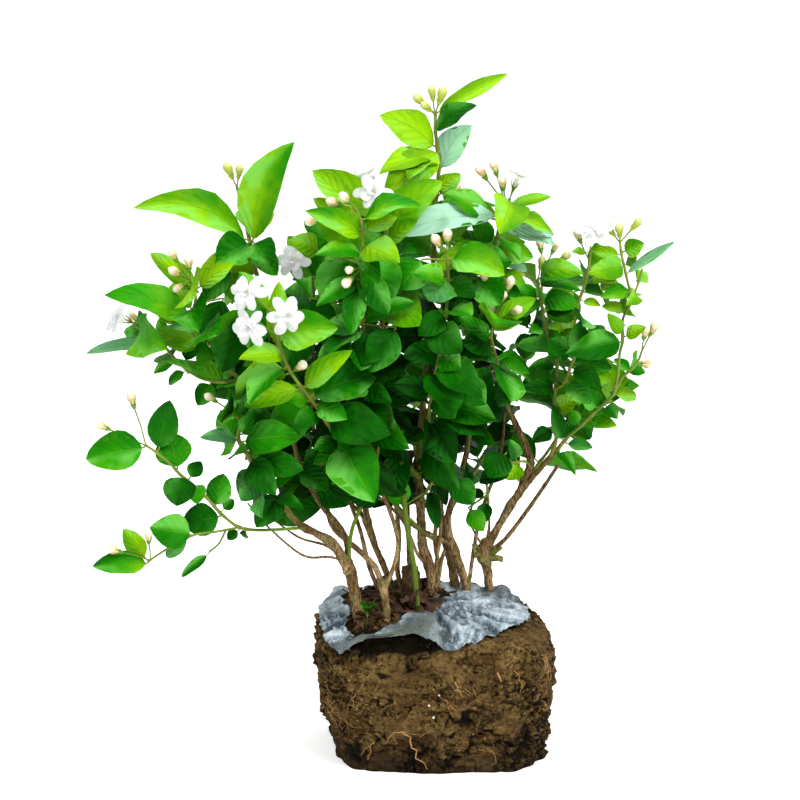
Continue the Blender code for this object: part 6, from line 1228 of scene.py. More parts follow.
def run_tree(mesh, group, inputs):
    """The plain mesh that a tree makes of another mesh."""
    holder = bpy.data.objects.new("holder", mesh)
    bpy.context.scene.collection.objects.link(holder)
    step = holder.modifiers.new("grow", "NODES")
    step.node_group = group
    identifiers = {item.name: item.identifier for item in group.interface.items_tree
                   if item.item_type == "SOCKET" and item.in_out == "INPUT"}
    for title, value in inputs.items():
        step[identifiers[title]] = value
    made = evaluated_mesh(holder)
    bpy.data.objects.remove(holder)
    for attribute in [a.name for a in made.attributes if a.domain == "POINT" and a.name in FLOATS + VECTORS]:
        if attribute not in KEPT:
            made.attributes.remove(made.attributes[attribute])
    return made


def show(name, mesh, nodes=()):
    """A finished piece: it rides on the plant and stands for the solids it replaces."""
    mesh.name = name
    piece = bpy.data.objects.new(name, mesh)
    bpy.context.scene.collection.objects.link(piece)
    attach(piece, "root")
    if nodes:
        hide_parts(*nodes)
    return piece


def hidden(name, mesh):
    """A shape that trees repeat. It stays outside the scene."""
    return bpy.data.objects.new(name, mesh)


def keep(mesh, name, values, kind="FLOAT"):
    attribute = mesh.attributes.new(name, kind, "POINT")
    if kind == "FLOAT":
        attribute.data.foreach_set("value", values)
    else:
        attribute.data.foreach_set("vector", [part for value in values for part in value])


def mesh_from(name, points, faces, edges=()):
    mesh = bpy.data.meshes.new(name)
    mesh.from_pydata(points, list(edges), faces)
    mesh.update()
    return mesh


def blade_card(name, rows):
    """A closed flat blade, its two skins joined along the rim, the base and the tip."""
    facts = [(0.0, 0.0, 0.0, 0.0, 0.0)]
    tops, unders = [], []
    for share, rounded, pointed in rows:
        top, under = [], []
        for across in CARD_COLUMNS:
            rim = abs(across) == 1.0
            top.append(len(facts))
            facts.append((share, across, 0.0 if rim else 1.0, rounded, pointed))
            if rim:
                under.append(top[-1])
            else:
                under.append(len(facts))
                facts.append((share, across, -1.0, rounded, pointed))
        tops.append(top)
        unders.append(under)
    tip = len(facts)
    facts.append((1.0, 0.0, 0.0, 0.0, 0.0))
    faces = []
    for skin, flip in ((tops, False), (unders, True)):
        for index in range(len(CARD_COLUMNS) - 1):
            made = [(0, skin[0][index + 1], skin[0][index]), (skin[-1][index], skin[-1][index + 1], tip)]
            for row, after in zip(skin, skin[1:]):
                made.append((row[index], row[index + 1], after[index + 1], after[index]))
            faces += [tuple(reversed(face)) for face in made] if flip else made
    mesh = mesh_from(name, [(fact[0] * CM, fact[1] * CM, fact[2] * MM) for fact in facts], faces)
    for index, title in enumerate(("lengthwise", "crosswise", "skin", "rounded_half", "pointed_half")):
        keep(mesh, title, [fact[index] for fact in facts])
    rim = mesh.attributes.new("sharp_edge", "BOOLEAN", "EDGE")
    rim.data.foreach_set("value", [all(facts[end][2] == 0.0 for end in edge.vertices) for edge in mesh.edges])
    return hidden(name, mesh)


def bud_shape():
    """A bud of unit length on the Z axis: calyx with thin teeth, and furled petals above it."""
    points, faces, rise = [(0, 0, -0.02)], [], [0.0]
    for level, radius in BUD_RINGS:
        for side in range(BUD_SIDES):
            angle = math.tau * side / BUD_SIDES + level * 1.5
            furl = 1 + (0.07 * math.cos(angle * 3) if level > 0.3 else 0)
            points.append((radius * furl * math.cos(angle), radius * furl * math.sin(angle), level))
            rise.append(level)
    points.append((0, 0, 1.0))
    rise.append(1.0)
    for side in range(BUD_SIDES):
        after = (side + 1) % BUD_SIDES
        faces.append((0, 1 + after, 1 + side))
        for ring in range(len(BUD_RINGS) - 1):
            start = 1 + ring * BUD_SIDES
            faces.append((start + side, start + after, start + BUD_SIDES + after, start + BUD_SIDES + side))
        last = 1 + (len(BUD_RINGS) - 1) * BUD_SIDES
        faces.append((last + side, last + after, len(points) - 1))
    for tooth in range(CALYX_TEETH):
        angle = math.tau * (tooth + 0.3) / CALYX_TEETH
        outward = Vector((math.cos(angle), math.sin(angle), 0))
        across = Vector((-outward.y, outward.x, 0))
        start = len(points)
        foot = outward * 0.12 + Vector((0, 0, 0.2))
        points += [foot + across * 0.035, foot - across * 0.035, foot + outward * 0.04,
                   outward * (0.25 + 0.04 * (tooth % 2)) + Vector((0, 0, 0.46 + 0.06 * (tooth % 3)))]
        rise += [0.2] * 4
        faces += [(start, start + 2, start + 1), (start, start + 1, start + 3), (start + 1, start + 2, start + 3),
                  (start + 2, start, start + 3)]
    mesh = mesh_from("bud_shape", points, faces)
    keep(mesh, "rise", rise)
    return hidden("bud_shape", mesh)


def crumb_shape():
    work = bmesh.new()
    bmesh.ops.create_icosphere(work, subdivisions=1, radius=1.0)
    draw = random.Random(31)
    for vertex in work.verts:
        vertex.co *= draw.uniform(0.65, 1.15)
        vertex.co.z *= 0.7
    mesh = bpy.data.meshes.new("crumb_shape")
    work.to_mesh(mesh)
    work.free()
    keep(mesh, "hollow", [0.1] * len(mesh.vertices))
    keep(mesh, "tone", [0.6] * len(mesh.vertices))
    return hidden("crumb_shape", mesh)


class Skeleton:
    """Lines for stems and points for blades and buds, each with what its shape needs."""

    def __init__(self):
        self.points, self.edges = [], []
        self.facts = {name: [] for name in FLOATS + VECTORS}

    def point(self, spot, **facts):
        self.points.append(spot)
        for name, values in self.facts.items():
            values.append(facts.get(name, 0.0 if name in FLOATS else Vector((0, 0, 0))))

    def line(self, spots, radii, tint=0.0):
        for index, (spot, radius) in enumerate(zip(spots, radii)):
            if index:
                self.edges.append((len(self.points) - 1, len(self.points)))
            self.point(spot, kind=STEM, girth=radius, tint=tint)

    def blade(self, foot, frame_of_blade, **facts):
        length, ahead, aside, over = frame_of_blade
        self.point(foot, kind=BLADE, foot=foot, length=length, ahead=ahead, aside=aside, over=over, **facts)

    def bud(self, neck, ahead, length, tint):
        self.point(neck, kind=BUD, ahead=ahead, length=length, tint=tint)

    def mesh(self, name):
        made = mesh_from(name, self.points, [], self.edges)
        for title in FLOATS:
            keep(made, title, self.facts[title])
        for title in VECTORS:
            keep(made, title, self.facts[title], "FLOAT_VECTOR")
        return made


def smoothed(points, radii, step=0.35 * CM):
    """A finer line that passes smoothly through the points."""
    ends = [points[0] * 2 - points[1]] + list(points) + [points[-1] * 2 - points[-2]]
    spots, sizes = [], []
    for index in range(len(points) - 1):
        before, start, end, after = ends[index:index + 4]
        count = max(2, math.ceil((end - start).length / step))
        for part in range(count):
            t = part / count
            spots.append(0.5 * (2 * start + (end - before) * t + (2 * before - 5 * start + 4 * end - after) * t * t
                                + (3 * start - before - 3 * end + after) * t * t * t))
            sizes.append(radii[index] + (radii[index + 1] - radii[index]) * t)
    return spots + [points[-1]], sizes + [radii[-1]]


# Placing leaves clear of each other

def loft(sections):
    """Points and triangles of a closed body through four-cornered sections, the last of which may be a point."""
    points = [corner for section in sections for corner in section]
    faces = [(0, 2, 1), (0, 3, 2)]
    start = 0
    for section, after in zip(sections, sections[1:]):
        following = start + 4
        for corner in range(4):
            turned = (corner + 1) % 4
            if len(after) == 1:
                faces.append((start + corner, start + turned, following))
            elif corner % 2 == 0:
                faces.append((start + corner, start + turned, following + turned))
                faces.append((start + corner, following + turned, following + corner))
            else:
                faces.append((start + corner, start + turned, following + corner))
                faces.append((start + turned, following + turned, following + corner))
        start = following
    if len(sections[-1]) == 4:
        faces += [(start, start + 1, start + 2), (start, start + 2, start + 3)]
    return points, faces


def diamond(centre, side, normal, half_width, half_thickness, lift=0.0):
    """A knife-edged section: right edge, top, left edge, bottom."""
    raised = centre + normal * lift
    return [raised + side * half_width, centre + normal * half_thickness,
            raised - side * half_width, centre - normal * half_thickness]


def leaf_frame(foot, tip, turn):
    """The length, direction, side and upper face of a blade; its turn is 0 lying flat and 90 facing front."""
    span = tip - foot
    along = span.normalized()
    facing = turn
    if not isinstance(turn, Vector):
        facing = Vector((0, -math.sin(math.radians(turn)), math.cos(math.radians(turn))))
    side = along.cross(facing)
    if side.length < 0.05:
        side = along.cross(Vector((0.3, -0.8, 0.5)))
    side.normalize()
    return span.length, along, side, side.cross(along)


def leaf_sections(root, foot, tip, width, turn, arch, fold, grown=0.0):
    """Sections of a leaf: petiole sunk in the stem at the root, two widths of the blade, and the tip."""
    length, along, side, normal = leaf_frame(foot, tip, turn)
    half_thickness = LEAF_THICKNESS * CM / 2 + grown
    stalk = min(0.07 * CM, width * 0.12) + grown
    petiole = (foot - root).normalized()
    across = petiole.cross(normal).normalized()
    over = across.cross(petiole)
    sections = [diamond(root, across, over, stalk, stalk)]
    shares = ((0.28, 0.93), (0.66, 0.82)) if length > SMALL_LEAF * CM else ((0.45, 1.0),)
    for share, part in shares:
        centre = foot + along * (length * share) + normal * (arch * length * 4 * share * (1 - share))
        half = width / 2 * part + grown
        sections.append(diamond(centre, side, normal, half * math.cos(fold), half_thickness,
                                half * math.sin(fold)))
    sections.append([tip + along * grown])
    return sections


def bud_sections(root, tip, length, radius):
    """A bud on its stalk, as one turned body: joint, neck, belly and tip."""
    along = (tip - root).normalized()
    side = along.orthogonal().normalized()
    over = along.cross(side)
    neck = tip - along * length
    rings = ((root, 0.055 * CM), (neck, 0.06 * CM), (tip - along * length * 0.45, radius))
    sections = [diamond(centre, side, over, size, size) for centre, size in rings]
    return sections + [[tip]]


def calyx_sections(root, neck, toward):
    """A bloom's stalk and calyx: a stalk from the stem that widens into a cup below the flower."""
    side = toward.orthogonal().normalized()
    over = toward.cross(side)
    start = neck - toward * 0.35 * CM
    run = (start - root).normalized()
    across = (side - run * side.dot(run)).normalized()
    return [diamond(root, across, run.cross(across), 0.055 * CM, 0.055 * CM),
            diamond(start, side, over, 0.08 * CM, 0.08 * CM),
            diamond(neck, side, over, 0.2 * CM, 0.2 * CM)]


def bloom_frame(facing):
    """Axes of a bloom: its facing direction and two across it."""
    toward = Vector((facing[0], facing[2], facing[1])).normalized()
    side = toward.cross(Vector((0, 0, 1)))
    if side.length < 0.1:
        side = Vector((1, 0, 0))
    side.normalize()
    return toward, side, side.cross(toward)


def petal_sections(centre, toward, out, length, width, cup):
    """A petal from the heart of the bloom: root sunk in the tube, broad part beyond the middle, tip."""
    across = toward.cross(out).normalized()
    normal = across.cross(out).normalized()
    sections = []
    for share, part, thickness in ((0.04, 0.1, 0.06), (0.62, 1.0, 0.05)):
        spot = centre + out * (length * share) + toward * (cup * length * share * share)
        sections.append(diamond(spot, across, normal, width / 2 * part, thickness * CM, width * 0.06 * part))
    sections.append([centre + out * length + toward * (cup * length)])
    return sections


def tube(spots, radii, sides):
    """Points and faces of a closed tube along the spots, from a curve with filled caps."""
    curve = bpy.data.curves.new("tube", "CURVE")
    curve.dimensions = "3D"
    curve.bevel_depth = 1.0
    curve.bevel_resolution = (sides - 4) // 2
    curve.use_fill_caps = True
    spline = curve.splines.new("POLY")
    spline.points.add(len(spots) - 1)
    for point, spot, radius in zip(spline.points, spots, radii):
        point.co = (*spot, 1)
        point.radius = radius
    holder = bpy.data.objects.new("tube", curve)
    bpy.context.scene.collection.objects.link(holder)
    mesh = evaluated_mesh(holder)
    bpy.data.objects.remove(holder)
    bpy.data.curves.remove(curve)
    found = [vertex.co.copy() for vertex in mesh.vertices], [tuple(face.vertices) for face in mesh.polygons]
    bpy.data.meshes.remove(mesh)
    return found


class Crowd:
    """The bodies placed so far, each with its box, so that a new leaf can be kept clear of them."""

    def __init__(self):
        self.bodies = []

    def add(self, points, faces, owner, kind):
        low = [min(point[axis] for point in points) for axis in range(3)]
        high = [max(point[axis] for point in points) for axis in range(3)]
        self.bodies.append((low, high, BVHTree.FromPolygons(points, faces), owner, kind))

    def hits(self, points, faces, spared=None, kinds=("stem",)):
        """Whether a body meets one placed before, apart from the given kinds of the shoot that is spared."""
        low = [min(point[axis] for point in points) for axis in range(3)]
        high = [max(point[axis] for point in points) for axis in range(3)]
        shape = None
        for other_low, other_high, tree, owner, kind in self.bodies:
            if owner == spared and kind in kinds:
                continue
            if any(low[axis] > other_high[axis] or high[axis] < other_low[axis] for axis in range(3)):
                continue
            shape = shape or BVHTree.FromPolygons(points, faces)
            if tree.overlap(shape):
                return True
        return False


def nearest_on_stems(spot, stems):
    """The closest point on a shoot's stems, with the radius there."""
    best = None
    for points, radii in stems:
        for start, end, radius, after in zip(points, points[1:], radii, radii[1:]):
            run = end - start
            share = min(max((spot - start).dot(run) / run.length_squared, 0.04), 0.96)
            near = start + run * share
            gap = (spot - near).length
            if best is None or gap < best[0]:
                best = (gap, near, radius + (after - radius) * share)
    return best[1], best[2]


def try_leaf(crowd, owner, stems, foot, tip, width, turn, arch, fold, strict=True):
    """The leaf and its sections if it clears what stands near it, or else other shoots only, or None."""
    near, radius = nearest_on_stems(foot, stems)
    out = foot - near
    if out.length < radius + 0.15 * CM:
        out = (tip - near).normalized() * (radius + 0.25 * CM)
        foot = near + out
    root = near + out.normalized() * radius * 0.3
    whole = leaf_sections(root, foot, tip, width, turn, arch, fold, CLEARANCE)
    start = foot + (tip - foot) * 0.12
    blade = leaf_sections(start - (tip - foot) * 0.02, start, tip, width, turn, arch, fold, CLEARANCE)
    if crowd.hits(*loft(whole), spared=owner, kinds=("stem",) if strict else ("stem", "bud", "leaf")):
        return None
    if strict and crowd.hits(*loft(blade)):
        return None
    return (foot, tip, width, turn, arch, fold), leaf_sections(root, foot, tip, width, turn, arch, fold)


def shaped_leaf(crowd, owner, stems, leaf, draw):
    """A listed leaf, its tip moved forward or back until it is clear."""
    foot, tip, width, turn, arch = leaf
    fold = math.radians(draw.uniform(8, 22))
    for strict, shift in [(True, shift) for shift in DEPTHS] + [(False, shift) for shift in DEPTHS]:
        for scale, tilt in ((1.0, 0), (0.92, 12), (0.85, -14)):
            moved = (tip[0], tip[1], tip[2] + shift)
            eased = (foot[0], foot[1], foot[2] + shift * 0.1)
            found = try_leaf(crowd, owner, stems, place(eased), place(moved), width * scale * CM,
                             turn + tilt, arch, fold, strict)
            if found:
                return found
    return None


def grown_leaves(crowd, owner, stems, pairs, draw):
    """More leaves in opposite pairs along the stems, each pair turned a quarter from the last."""
    made = []
    route = [spot for points, _ in stems[:1] for spot in points]
    lengths = [(end - start).length for start, end in zip(route, route[1:])]
    whole = sum(lengths)
    quarter = draw.uniform(0, math.pi)
    for count in range(pairs):
        distance = whole * (0.22 + 0.76 * (count + 0.5) / pairs)
        index = 0
        while index < len(lengths) - 1 and distance > lengths[index]:
            distance -= lengths[index]
            index += 1
        node = route[index] + (route[index + 1] - route[index]) * min(distance / lengths[index], 0.95)
        along = (route[index + 1] - route[index]).normalized()
        quarter += math.pi / 2 + draw.uniform(-0.3, 0.3)
        for half in (0, math.pi):
            for attempt in range(12):
                angle = quarter + half + draw.uniform(-0.25, 0.25) * (1 + attempt * 0.35)
                outward = Matrix.Rotation(angle, 3, along) @ along.orthogonal().normalized()
                lean = draw.uniform(-0.15, 0.75)
                direction = (outward + Vector((0, 0, lean))).normalized()
                length = draw.uniform(3.1, 5.0) * CM * (1 - 0.035 * attempt)
                foot = node + direction * PETIOLE * CM
                tip = foot + direction * length
                width = length * draw.uniform(0.5, 0.62)
                turn = draw.uniform(-20, 65) if node.y < 0.03 else draw.uniform(-70, 15)
                arch = draw.uniform(0.04, 0.16)
                fold = math.radians(draw.uniform(8, 24))
                found = try_leaf(crowd, owner, stems, foot, tip, width, turn, arch, fold)
                if found:
                    crowd.add(*loft(found[1]), owner, "leaf")
                    made.append(found[0])
                    break
    return made


def in_crown(spot):
    """Whether a point is seen inside the outline of the crown from the front."""
    scale = 1 + spot.y / CM / EYE_FRONT
    across = EYE_ACROSS + (spot.x / CM - EYE_ACROSS) / scale
    up = EYE_UP + (spot.z / CM - EYE_UP) / scale
    if any((across - x) ** 2 + (up - z) ** 2 < radius ** 2 for x, z, radius in GAPS):
        return False
    inside = False
    for (x, z), (next_x, next_z) in zip(CROWN, CROWN[1:] + CROWN[:1]):
        if (z > up) != (next_z > up) and across < x + (next_x - x) * (up - z) / (next_z - z):
            inside = not inside
    return inside


def wood_route(branch):
    return [place(spot[:3]) for spot in branch], [spot[3] * MM for spot in branch]


def extra_leaves(crowd, owner, stems, count, draw, size=1.0):
    """Leaves that fill a shoot out, hanging outwards from its stems and facing away from the crown's middle."""
    made = []
    middle = Vector((-2.0, 0.5, 29.0)) * CM
    blooms = [centre for centre, _ in bloom_places()]
    for _ in range(count):
        for attempt in range(14):
            points, _ = stems[draw.randrange(len(stems))]
            index = draw.randrange(len(points) - 1)
            node = points[index].lerp(points[index + 1], draw.random())
            if node.z < LOWEST_LEAF:
                continue
            away = node - middle
            away.z *= 0.4
            outward = Vector((draw.gauss(0, 1), draw.gauss(0, 1), 0)).normalized() + away.normalized() * 0.7
            direction = (outward.normalized() + Vector((0, 0, draw.uniform(-0.75, 0.55)))).normalized()
            length = draw.uniform(3.2, 5.6) * CM * (1 - 0.03 * attempt) * size
            foot = node + direction * PETIOLE * CM
            tip = foot + direction * length
            facing = away.normalized() * 0.9 + Vector((draw.uniform(-0.4, 0.4), draw.uniform(-0.7, 0.3),
                                                       draw.uniform(0.3, 1.1)))
            width = length * draw.uniform(0.58, 0.8)
            if not in_crown(tip) or not in_crown(foot.lerp(tip, 0.5)):
                continue
            if any(bloom.y > tip.y - CM and abs(tip.x - bloom.x) + abs(tip.z - bloom.z) < 2.6 * CM for bloom in blooms):
                continue
            if not all(low < part < high for low, part, high in zip(CAD_BOX[0], tip, CAD_BOX[1])):
                continue
            found = try_leaf(crowd, owner, stems, foot, tip, width, facing, draw.uniform(0.02, 0.14),
                             math.radians(draw.uniform(6, 24)))
            if found:
                crowd.add(*loft(found[1]), owner, "leaf")
                made.append(found[0])
                break
    return made


def stem_routes(shoot):
    """The stems of a shoot, each as points and radii."""
    routes = []
    for spots, first, last in shoot["stems"]:
        steps = max(len(spots) - 1, 1)
        routes.append(([place(spot) for spot in spots],
                       [(first + (last - first) * step / steps) * MM for step in range(len(spots))]))
    return routes


def placed_leaves():
    """Every leaf by shoot, and every bud by shoot, in the order and with the draws of the solids."""
    crowd = Crowd()
    for name, branches in WOOD.items():
        for branch in branches:
            radii = [spot[3] * MM for spot in branch]
            sides = 8 if max(radii) > 6 * MM and len(branches) == 1 else 6
            crowd.add(*tube([place(spot[:3]) for spot in branch], radii, sides), name, "stem")
    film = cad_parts["nursery_film"].data
    crowd.add([vertex.co.copy() for vertex in film.vertices], [tuple(face.vertices) for face in film.polygons],
              "nursery_film", "film")
    draw = random.Random(SEED)
    routes, buds = {}, {}
    for name, shoot in SHOOTS.items():
        stems = routes[name] = stem_routes(shoot)
        for points, radii in stems:
            crowd.add(*tube(points, radii, 4), name, "stem")
        extras = []
        buds[name] = []
        for joint, tips in shoot.get("buds", ()):
            near, radius = nearest_on_stems(place(joint), stems)
            for tip in tips:
                end = place(tip)
                root = near + (end - near).normalized() * radius * 0.2
                size = draw.uniform(0.85, 1.1)
                extras.append(bud_sections(root, end, size * CM, 0.27 * size * CM))
                buds[name].append((root, end, size * CM))
        for joint, centre, facing in shoot.get("blooms", ()):
            toward = bloom_frame(facing)[0]
            near, radius = nearest_on_stems(place(joint), stems)
            neck = place(centre) - toward * 0.95 * CM
            extras.append(calyx_sections(near + (neck - near).normalized() * radius * 0.2, neck, toward))
        for sections in extras:
            crowd.add(*loft(sections), name, "bud")
    for centre, facing in bloom_places():
        toward, side, over = bloom_frame(facing)
        spots = [centre - toward * (0.95 * CM - SEAT_GAP), centre + toward * 0.45 * CM]
        crowd.add(*tube(spots, [0.13 * CM, 0.27 * CM], 4), "bloom", "bloom")
        for count, length, width, cup, first, depth in ((5, 1.3, 0.86, 0.08, 0.0, 0.0),
                                                        (3, 0.95, 0.8, 0.7, 0.4, 0.25)):
            for petal in range(count):
                angle = (petal + first) * math.tau / count
                out = side * math.cos(angle) + over * math.sin(angle)
                heart = centre + toward * depth * CM
                crowd.add(*loft(petal_sections(heart, toward, out, length * CM, width * CM, cup)), "bloom", "bloom")
    draw = random.Random(SEED + 1)
    leaves = {name: [] for name in SHOOTS}
    for name, shoot in SHOOTS.items():
        for leaf in shoot["leaves"]:
            found = shaped_leaf(crowd, name, routes[name], leaf, draw)
            if found:
                crowd.add(*loft(found[1]), name, "leaf")
                at = (leaf[1][0], leaf[1][1])
                leaves[name].append((found[0], (*TINTS[at], BOWS.get(at, (0.0, 0.0))) if at in TINTS else None))
    for name, shoot in SHOOTS.items():
        leaves[name] += [(leaf, None) for leaf in grown_leaves(crowd, name, routes[name], shoot["fill"], draw)]
    draw = random.Random(SEED + 7)
    for *leaf, tint, pale in LATE_LEAVES:
        foot = place(leaf[0])
        name = min(SHOOTS, key=lambda shoot: (nearest_on_stems(foot, routes[shoot])[0] - foot).length)
        found = shaped_leaf(crowd, name, routes[name], leaf, draw)
        if found:
            crowd.add(*loft(found[1]), name, "leaf")
            leaves[name].append((found[0], (tint, pale)))
    for index, (name, count) in enumerate(EXTRA_LEAVES.items()):
        draw = random.Random(SEED + 50 + index)
        leaves[name] += [(leaf, None) for leaf in extra_leaves(crowd, name, routes[name], count, draw)]
    leaves["low"] = []
    for index, (name, branches) in enumerate(WOOD.items()):
        draw = random.Random(SEED + 90 + index)
        stems = [wood_route(branch) for branch in branches if place(branch[-1][:3]).z > LOWEST_LEAF]
        if stems:
            leaves["low"] += [(leaf, None) for leaf in extra_leaves(crowd, name, stems, LOW_LEAVES, draw, 0.7)]
    return leaves, buds


def bloom_places():
    return [(place(centre), facing) for shoot in SHOOTS.values() for _, centre, facing in shoot.get("blooms", ())]


# Root ball

def ball_point(azimuth, polar, relief=1.0):
    """A point on the root ball in metres: a block with rounded corners and rim, flat underneath."""
    drop, rise = math.sin(polar), math.cos(polar)
    east, north = math.cos(azimuth), math.sin(azimuth)
    right = max(0.0, min(1.0, east + 0.25 * north))
    sharpness = BALL_RIM_SHARPNESS + (BALL_RIGHT_RIM_SHARPNESS - BALL_RIM_SHARPNESS) * right
    sharpness = sharpness if rise > 0 else BALL_FOOT_SHARPNESS
    rim = (abs(drop) ** sharpness + abs(rise) ** sharpness) ** (1 / sharpness)
    reach, level = drop / rim, rise / rim
    round_off = (abs(east) ** BALL_SQUARENESS + abs(north) ** BALL_SQUARENESS) ** (1 / BALL_SQUARENESS)
    taper = BALL_TAPER[0] + BALL_TAPER[1] * level + BALL_TAPER[2] * level * level
    shift = BALL_SHIFT[0] + BALL_SHIFT[1] * level + BALL_SHIFT[2] * level * level
    x = BALL_HALF_WIDTH * taper * reach * east / round_off + shift
    y = BALL_HALF_DEPTH * taper * reach * north / round_off
    tilt = max(level, 0) * (0.035 * x + 0.055 * y)
    z = BALL_MIDDLE + BALL_HALF_HEIGHT * level + tilt
    spot = Vector((x, y, z))
    bump = noise.noise(spot * 0.38 + Vector((4.1, 7.7, 1.3))) + 0.5 * noise.noise(spot * 0.9)
    out = Vector((reach * east, reach * north, 1.2 * max(level, 0) ** 3))
    clods = abs(noise.noise(spot * 0.6 + Vector((5.0, 1.0, 2.0)))) * 1.6 - 0.35
    side = max(0.0, min(1.0, (0.75 - level) / 0.35))
    spot += out.normalized() * (bump * SOIL_RELIEF * relief + clods * CLOD_RELIEF * side)
    if spot.z < 0.35:
        spot.z = 0.0
    return spot * CM


def soil_recess(azimuth, polar):
    """How far the soil is eaten away under the film at the front left, in centimetres."""
    around = (math.degrees(azimuth) % 360 - 250) / 28
    down = (math.degrees(polar) - 48) / 12
    return 0.9 * max(0.0, 1 - around * around) * max(0.0, 1 - down * down)


def soil_detail(spot):
    """How far clods stand out of the soil or cracks go in, in centimetres, how much painted shade its cracks, pits and
    hollows get, and its plate's tone.
    """
    warped = spot + Vector((noise.noise(spot * 0.9), noise.noise(spot * 0.9 + Vector((9, 3, 1))),
                            noise.noise(spot * 0.9 + Vector((2, 7, 5))))) * 0.7
    warped += Vector((noise.noise(spot * 2.7), 0.0, noise.noise(spot * 2.7 + Vector((5, 5, 5))))) * 0.16
    crumbly = min(1.0, max(0.0, 0.45 + 1.8 * noise.noise(spot * 0.3 + Vector((2.0, 6.0, 1.0)))
                           + 0.9 * (abs(spot.x) / BALL_HALF_WIDTH - 0.75)))
    reach, seeds = noise.voronoi(Vector((warped.x, warped.y, warped.z * 1.6)) * 0.4)
    broken = min(1.0, max(0.0, 0.55 + 1.7 * noise.noise(spot * 0.5 + Vector((7.0, 2.0, 4.0)))))
    crack = max(0.0, 1 - (reach[1] - reach[0]) / 0.045) * broken
    plate = noise.cell(seeds[0] * 7.3) * broken
    reach, seeds = noise.voronoi(warped * 1.15 + Vector((3.0, 8.0, 1.0)))
    clod = min(1.0, (reach[1] - reach[0]) * 2.2)
    tone = noise.cell(seeds[0] * 5.1) * crumbly * 0.5 + plate * 0.5
    reach, _ = noise.voronoi(warped * 3.1 + Vector((1.0, 2.0, 6.0)))
    knob = min(1.0, (reach[1] - reach[0]) * 2.0)
    grains = noise.noise(spot * 6.5) * 0.5 + noise.noise(spot * 11.5) * 0.5
    pit = max(0.0, noise.noise(spot * 2.6 + Vector((3.0, 3.0, 8.0))) - 0.34) * 3.0 * (0.3 + crumbly)
    sunk = 0.0
    if spot.y < -5.0:
        scale = 1 + spot.y / EYE_FRONT
        across = EYE_ACROSS + (warped.x - EYE_ACROSS) / scale
        up = EYE_UP + (warped.z - EYE_UP) / scale
        for x, z, half_width, half_height, depth in HOLLOWS:
            away = ((across - x) / half_width) ** 2 + ((up - z) / half_height) ** 2
            sunk = max(sunk, depth * math.exp(-away))
    height = (plate * 0.17 + (clod - 0.6) * 0.26 * (0.15 + crumbly) + (knob - 0.5) * 0.12 * (0.25 + crumbly)
              + grains * (0.03 + 0.07 * crumbly) - crack * 0.32 - pit * 0.18 - sunk)
    # Painted shade: how dark cracks, gaps between clods and knobs, pits and sunk hollows are painted
    hollow = (crack * 0.9 + (1 - clod) ** 3 * crumbly * 0.8 + (1 - knob) ** 4 * crumbly * 0.5 + pit * 0.8
              + sunk * 3.0)
    return height, min(1.0, hollow), 0.5 + tone


def around_ball(azimuth, values):
    """A value that runs smoothly round the ball through values given at equal steps from +X."""
    turn = (azimuth / math.tau % 1) * len(values)
    index = int(turn)
    share = turn - index
    share = share * share * (3 - 2 * share)
    return values[index % len(values)] * (1 - share) + values[(index + 1) % len(values)] * share


def make_soil(settings):
    """The block of soil with its clods, cracks and pits, and the loose crumbs on it."""
    work = bmesh.new()
    bmesh.ops.create_uvsphere(work, u_segments=SOIL_SEGMENTS, v_segments=SOIL_RINGS, radius=1.0)
    shade_in_hollows, tones_with_relief_light = [], []
    for vertex in work.verts:
        azimuth = math.atan2(vertex.co.y, vertex.co.x)
        polar = math.acos(max(-1.0, min(1.0, vertex.co.z)))
        spot = ball_point(azimuth, polar)
        eaten = soil_recess(azimuth, polar)
        inward = Vector((-math.cos(azimuth), -math.sin(azimuth), -0.7)).normalized()
        spot += inward * eaten * CM
        height, hollow, tone = soil_detail(spot / CM)
        # Painted shadow under the front edge of the film, and painted shade in the recess
        around = (math.degrees(azimuth) % 360 - 250) / 29
        ragged = 2.2 * noise.noise(spot / CM * 1.3)
        under = min(1.0, max(0.0, (45.5 - math.degrees(polar) + ragged) / 2.2)) if polar > 0.55 else 0.0
        shade_in_hollows.append(min(1.0, hollow + min(1.0, max(0.0, 1 - around * around) * 2.5) * under + eaten * 0.1))
        # Painted light and shade: the tone is raised where the soil stands out and lowered where it sinks
        tones_with_relief_light.append(tone + height * 2.0)
        outward = Vector((math.cos(azimuth) * math.sin(polar), math.sin(azimuth) * math.sin(polar),
                          max(0.0, math.cos(polar)))).normalized()
        if spot.z > 0.0:
            spot += outward * height * settings.relief * CM
            spot.z = max(spot.z, 0.0)
        vertex.co = spot
    mesh = bpy.data.meshes.new("soil_block")
    for face in work.faces:
        face.smooth = True
    work.to_mesh(mesh)
    work.free()
    keep(mesh, "hollow", shade_in_hollows)
    keep(mesh, "tone", tones_with_relief_light)
    surface = soil_material(settings)
    mesh.materials.append(surface)
    crumbs = run_tree(mesh.copy(), crumb_tree(), {
        "Crumb": crumb_shape(), "Density": settings.crumb_density, "Smallest": 0.3 * MM, "Largest": 1.9 * MM,
        "Material": surface, "Seed": 5})
    show("soil_block", mesh, ("root_ball",))
    show("soil_crumbs", crumbs)
    return mesh


def surface_of(mesh):
    return BVHTree.FromPolygons([vertex.co.copy() for vertex in mesh.vertices],
                                [tuple(face.vertices) for face in mesh.polygons])


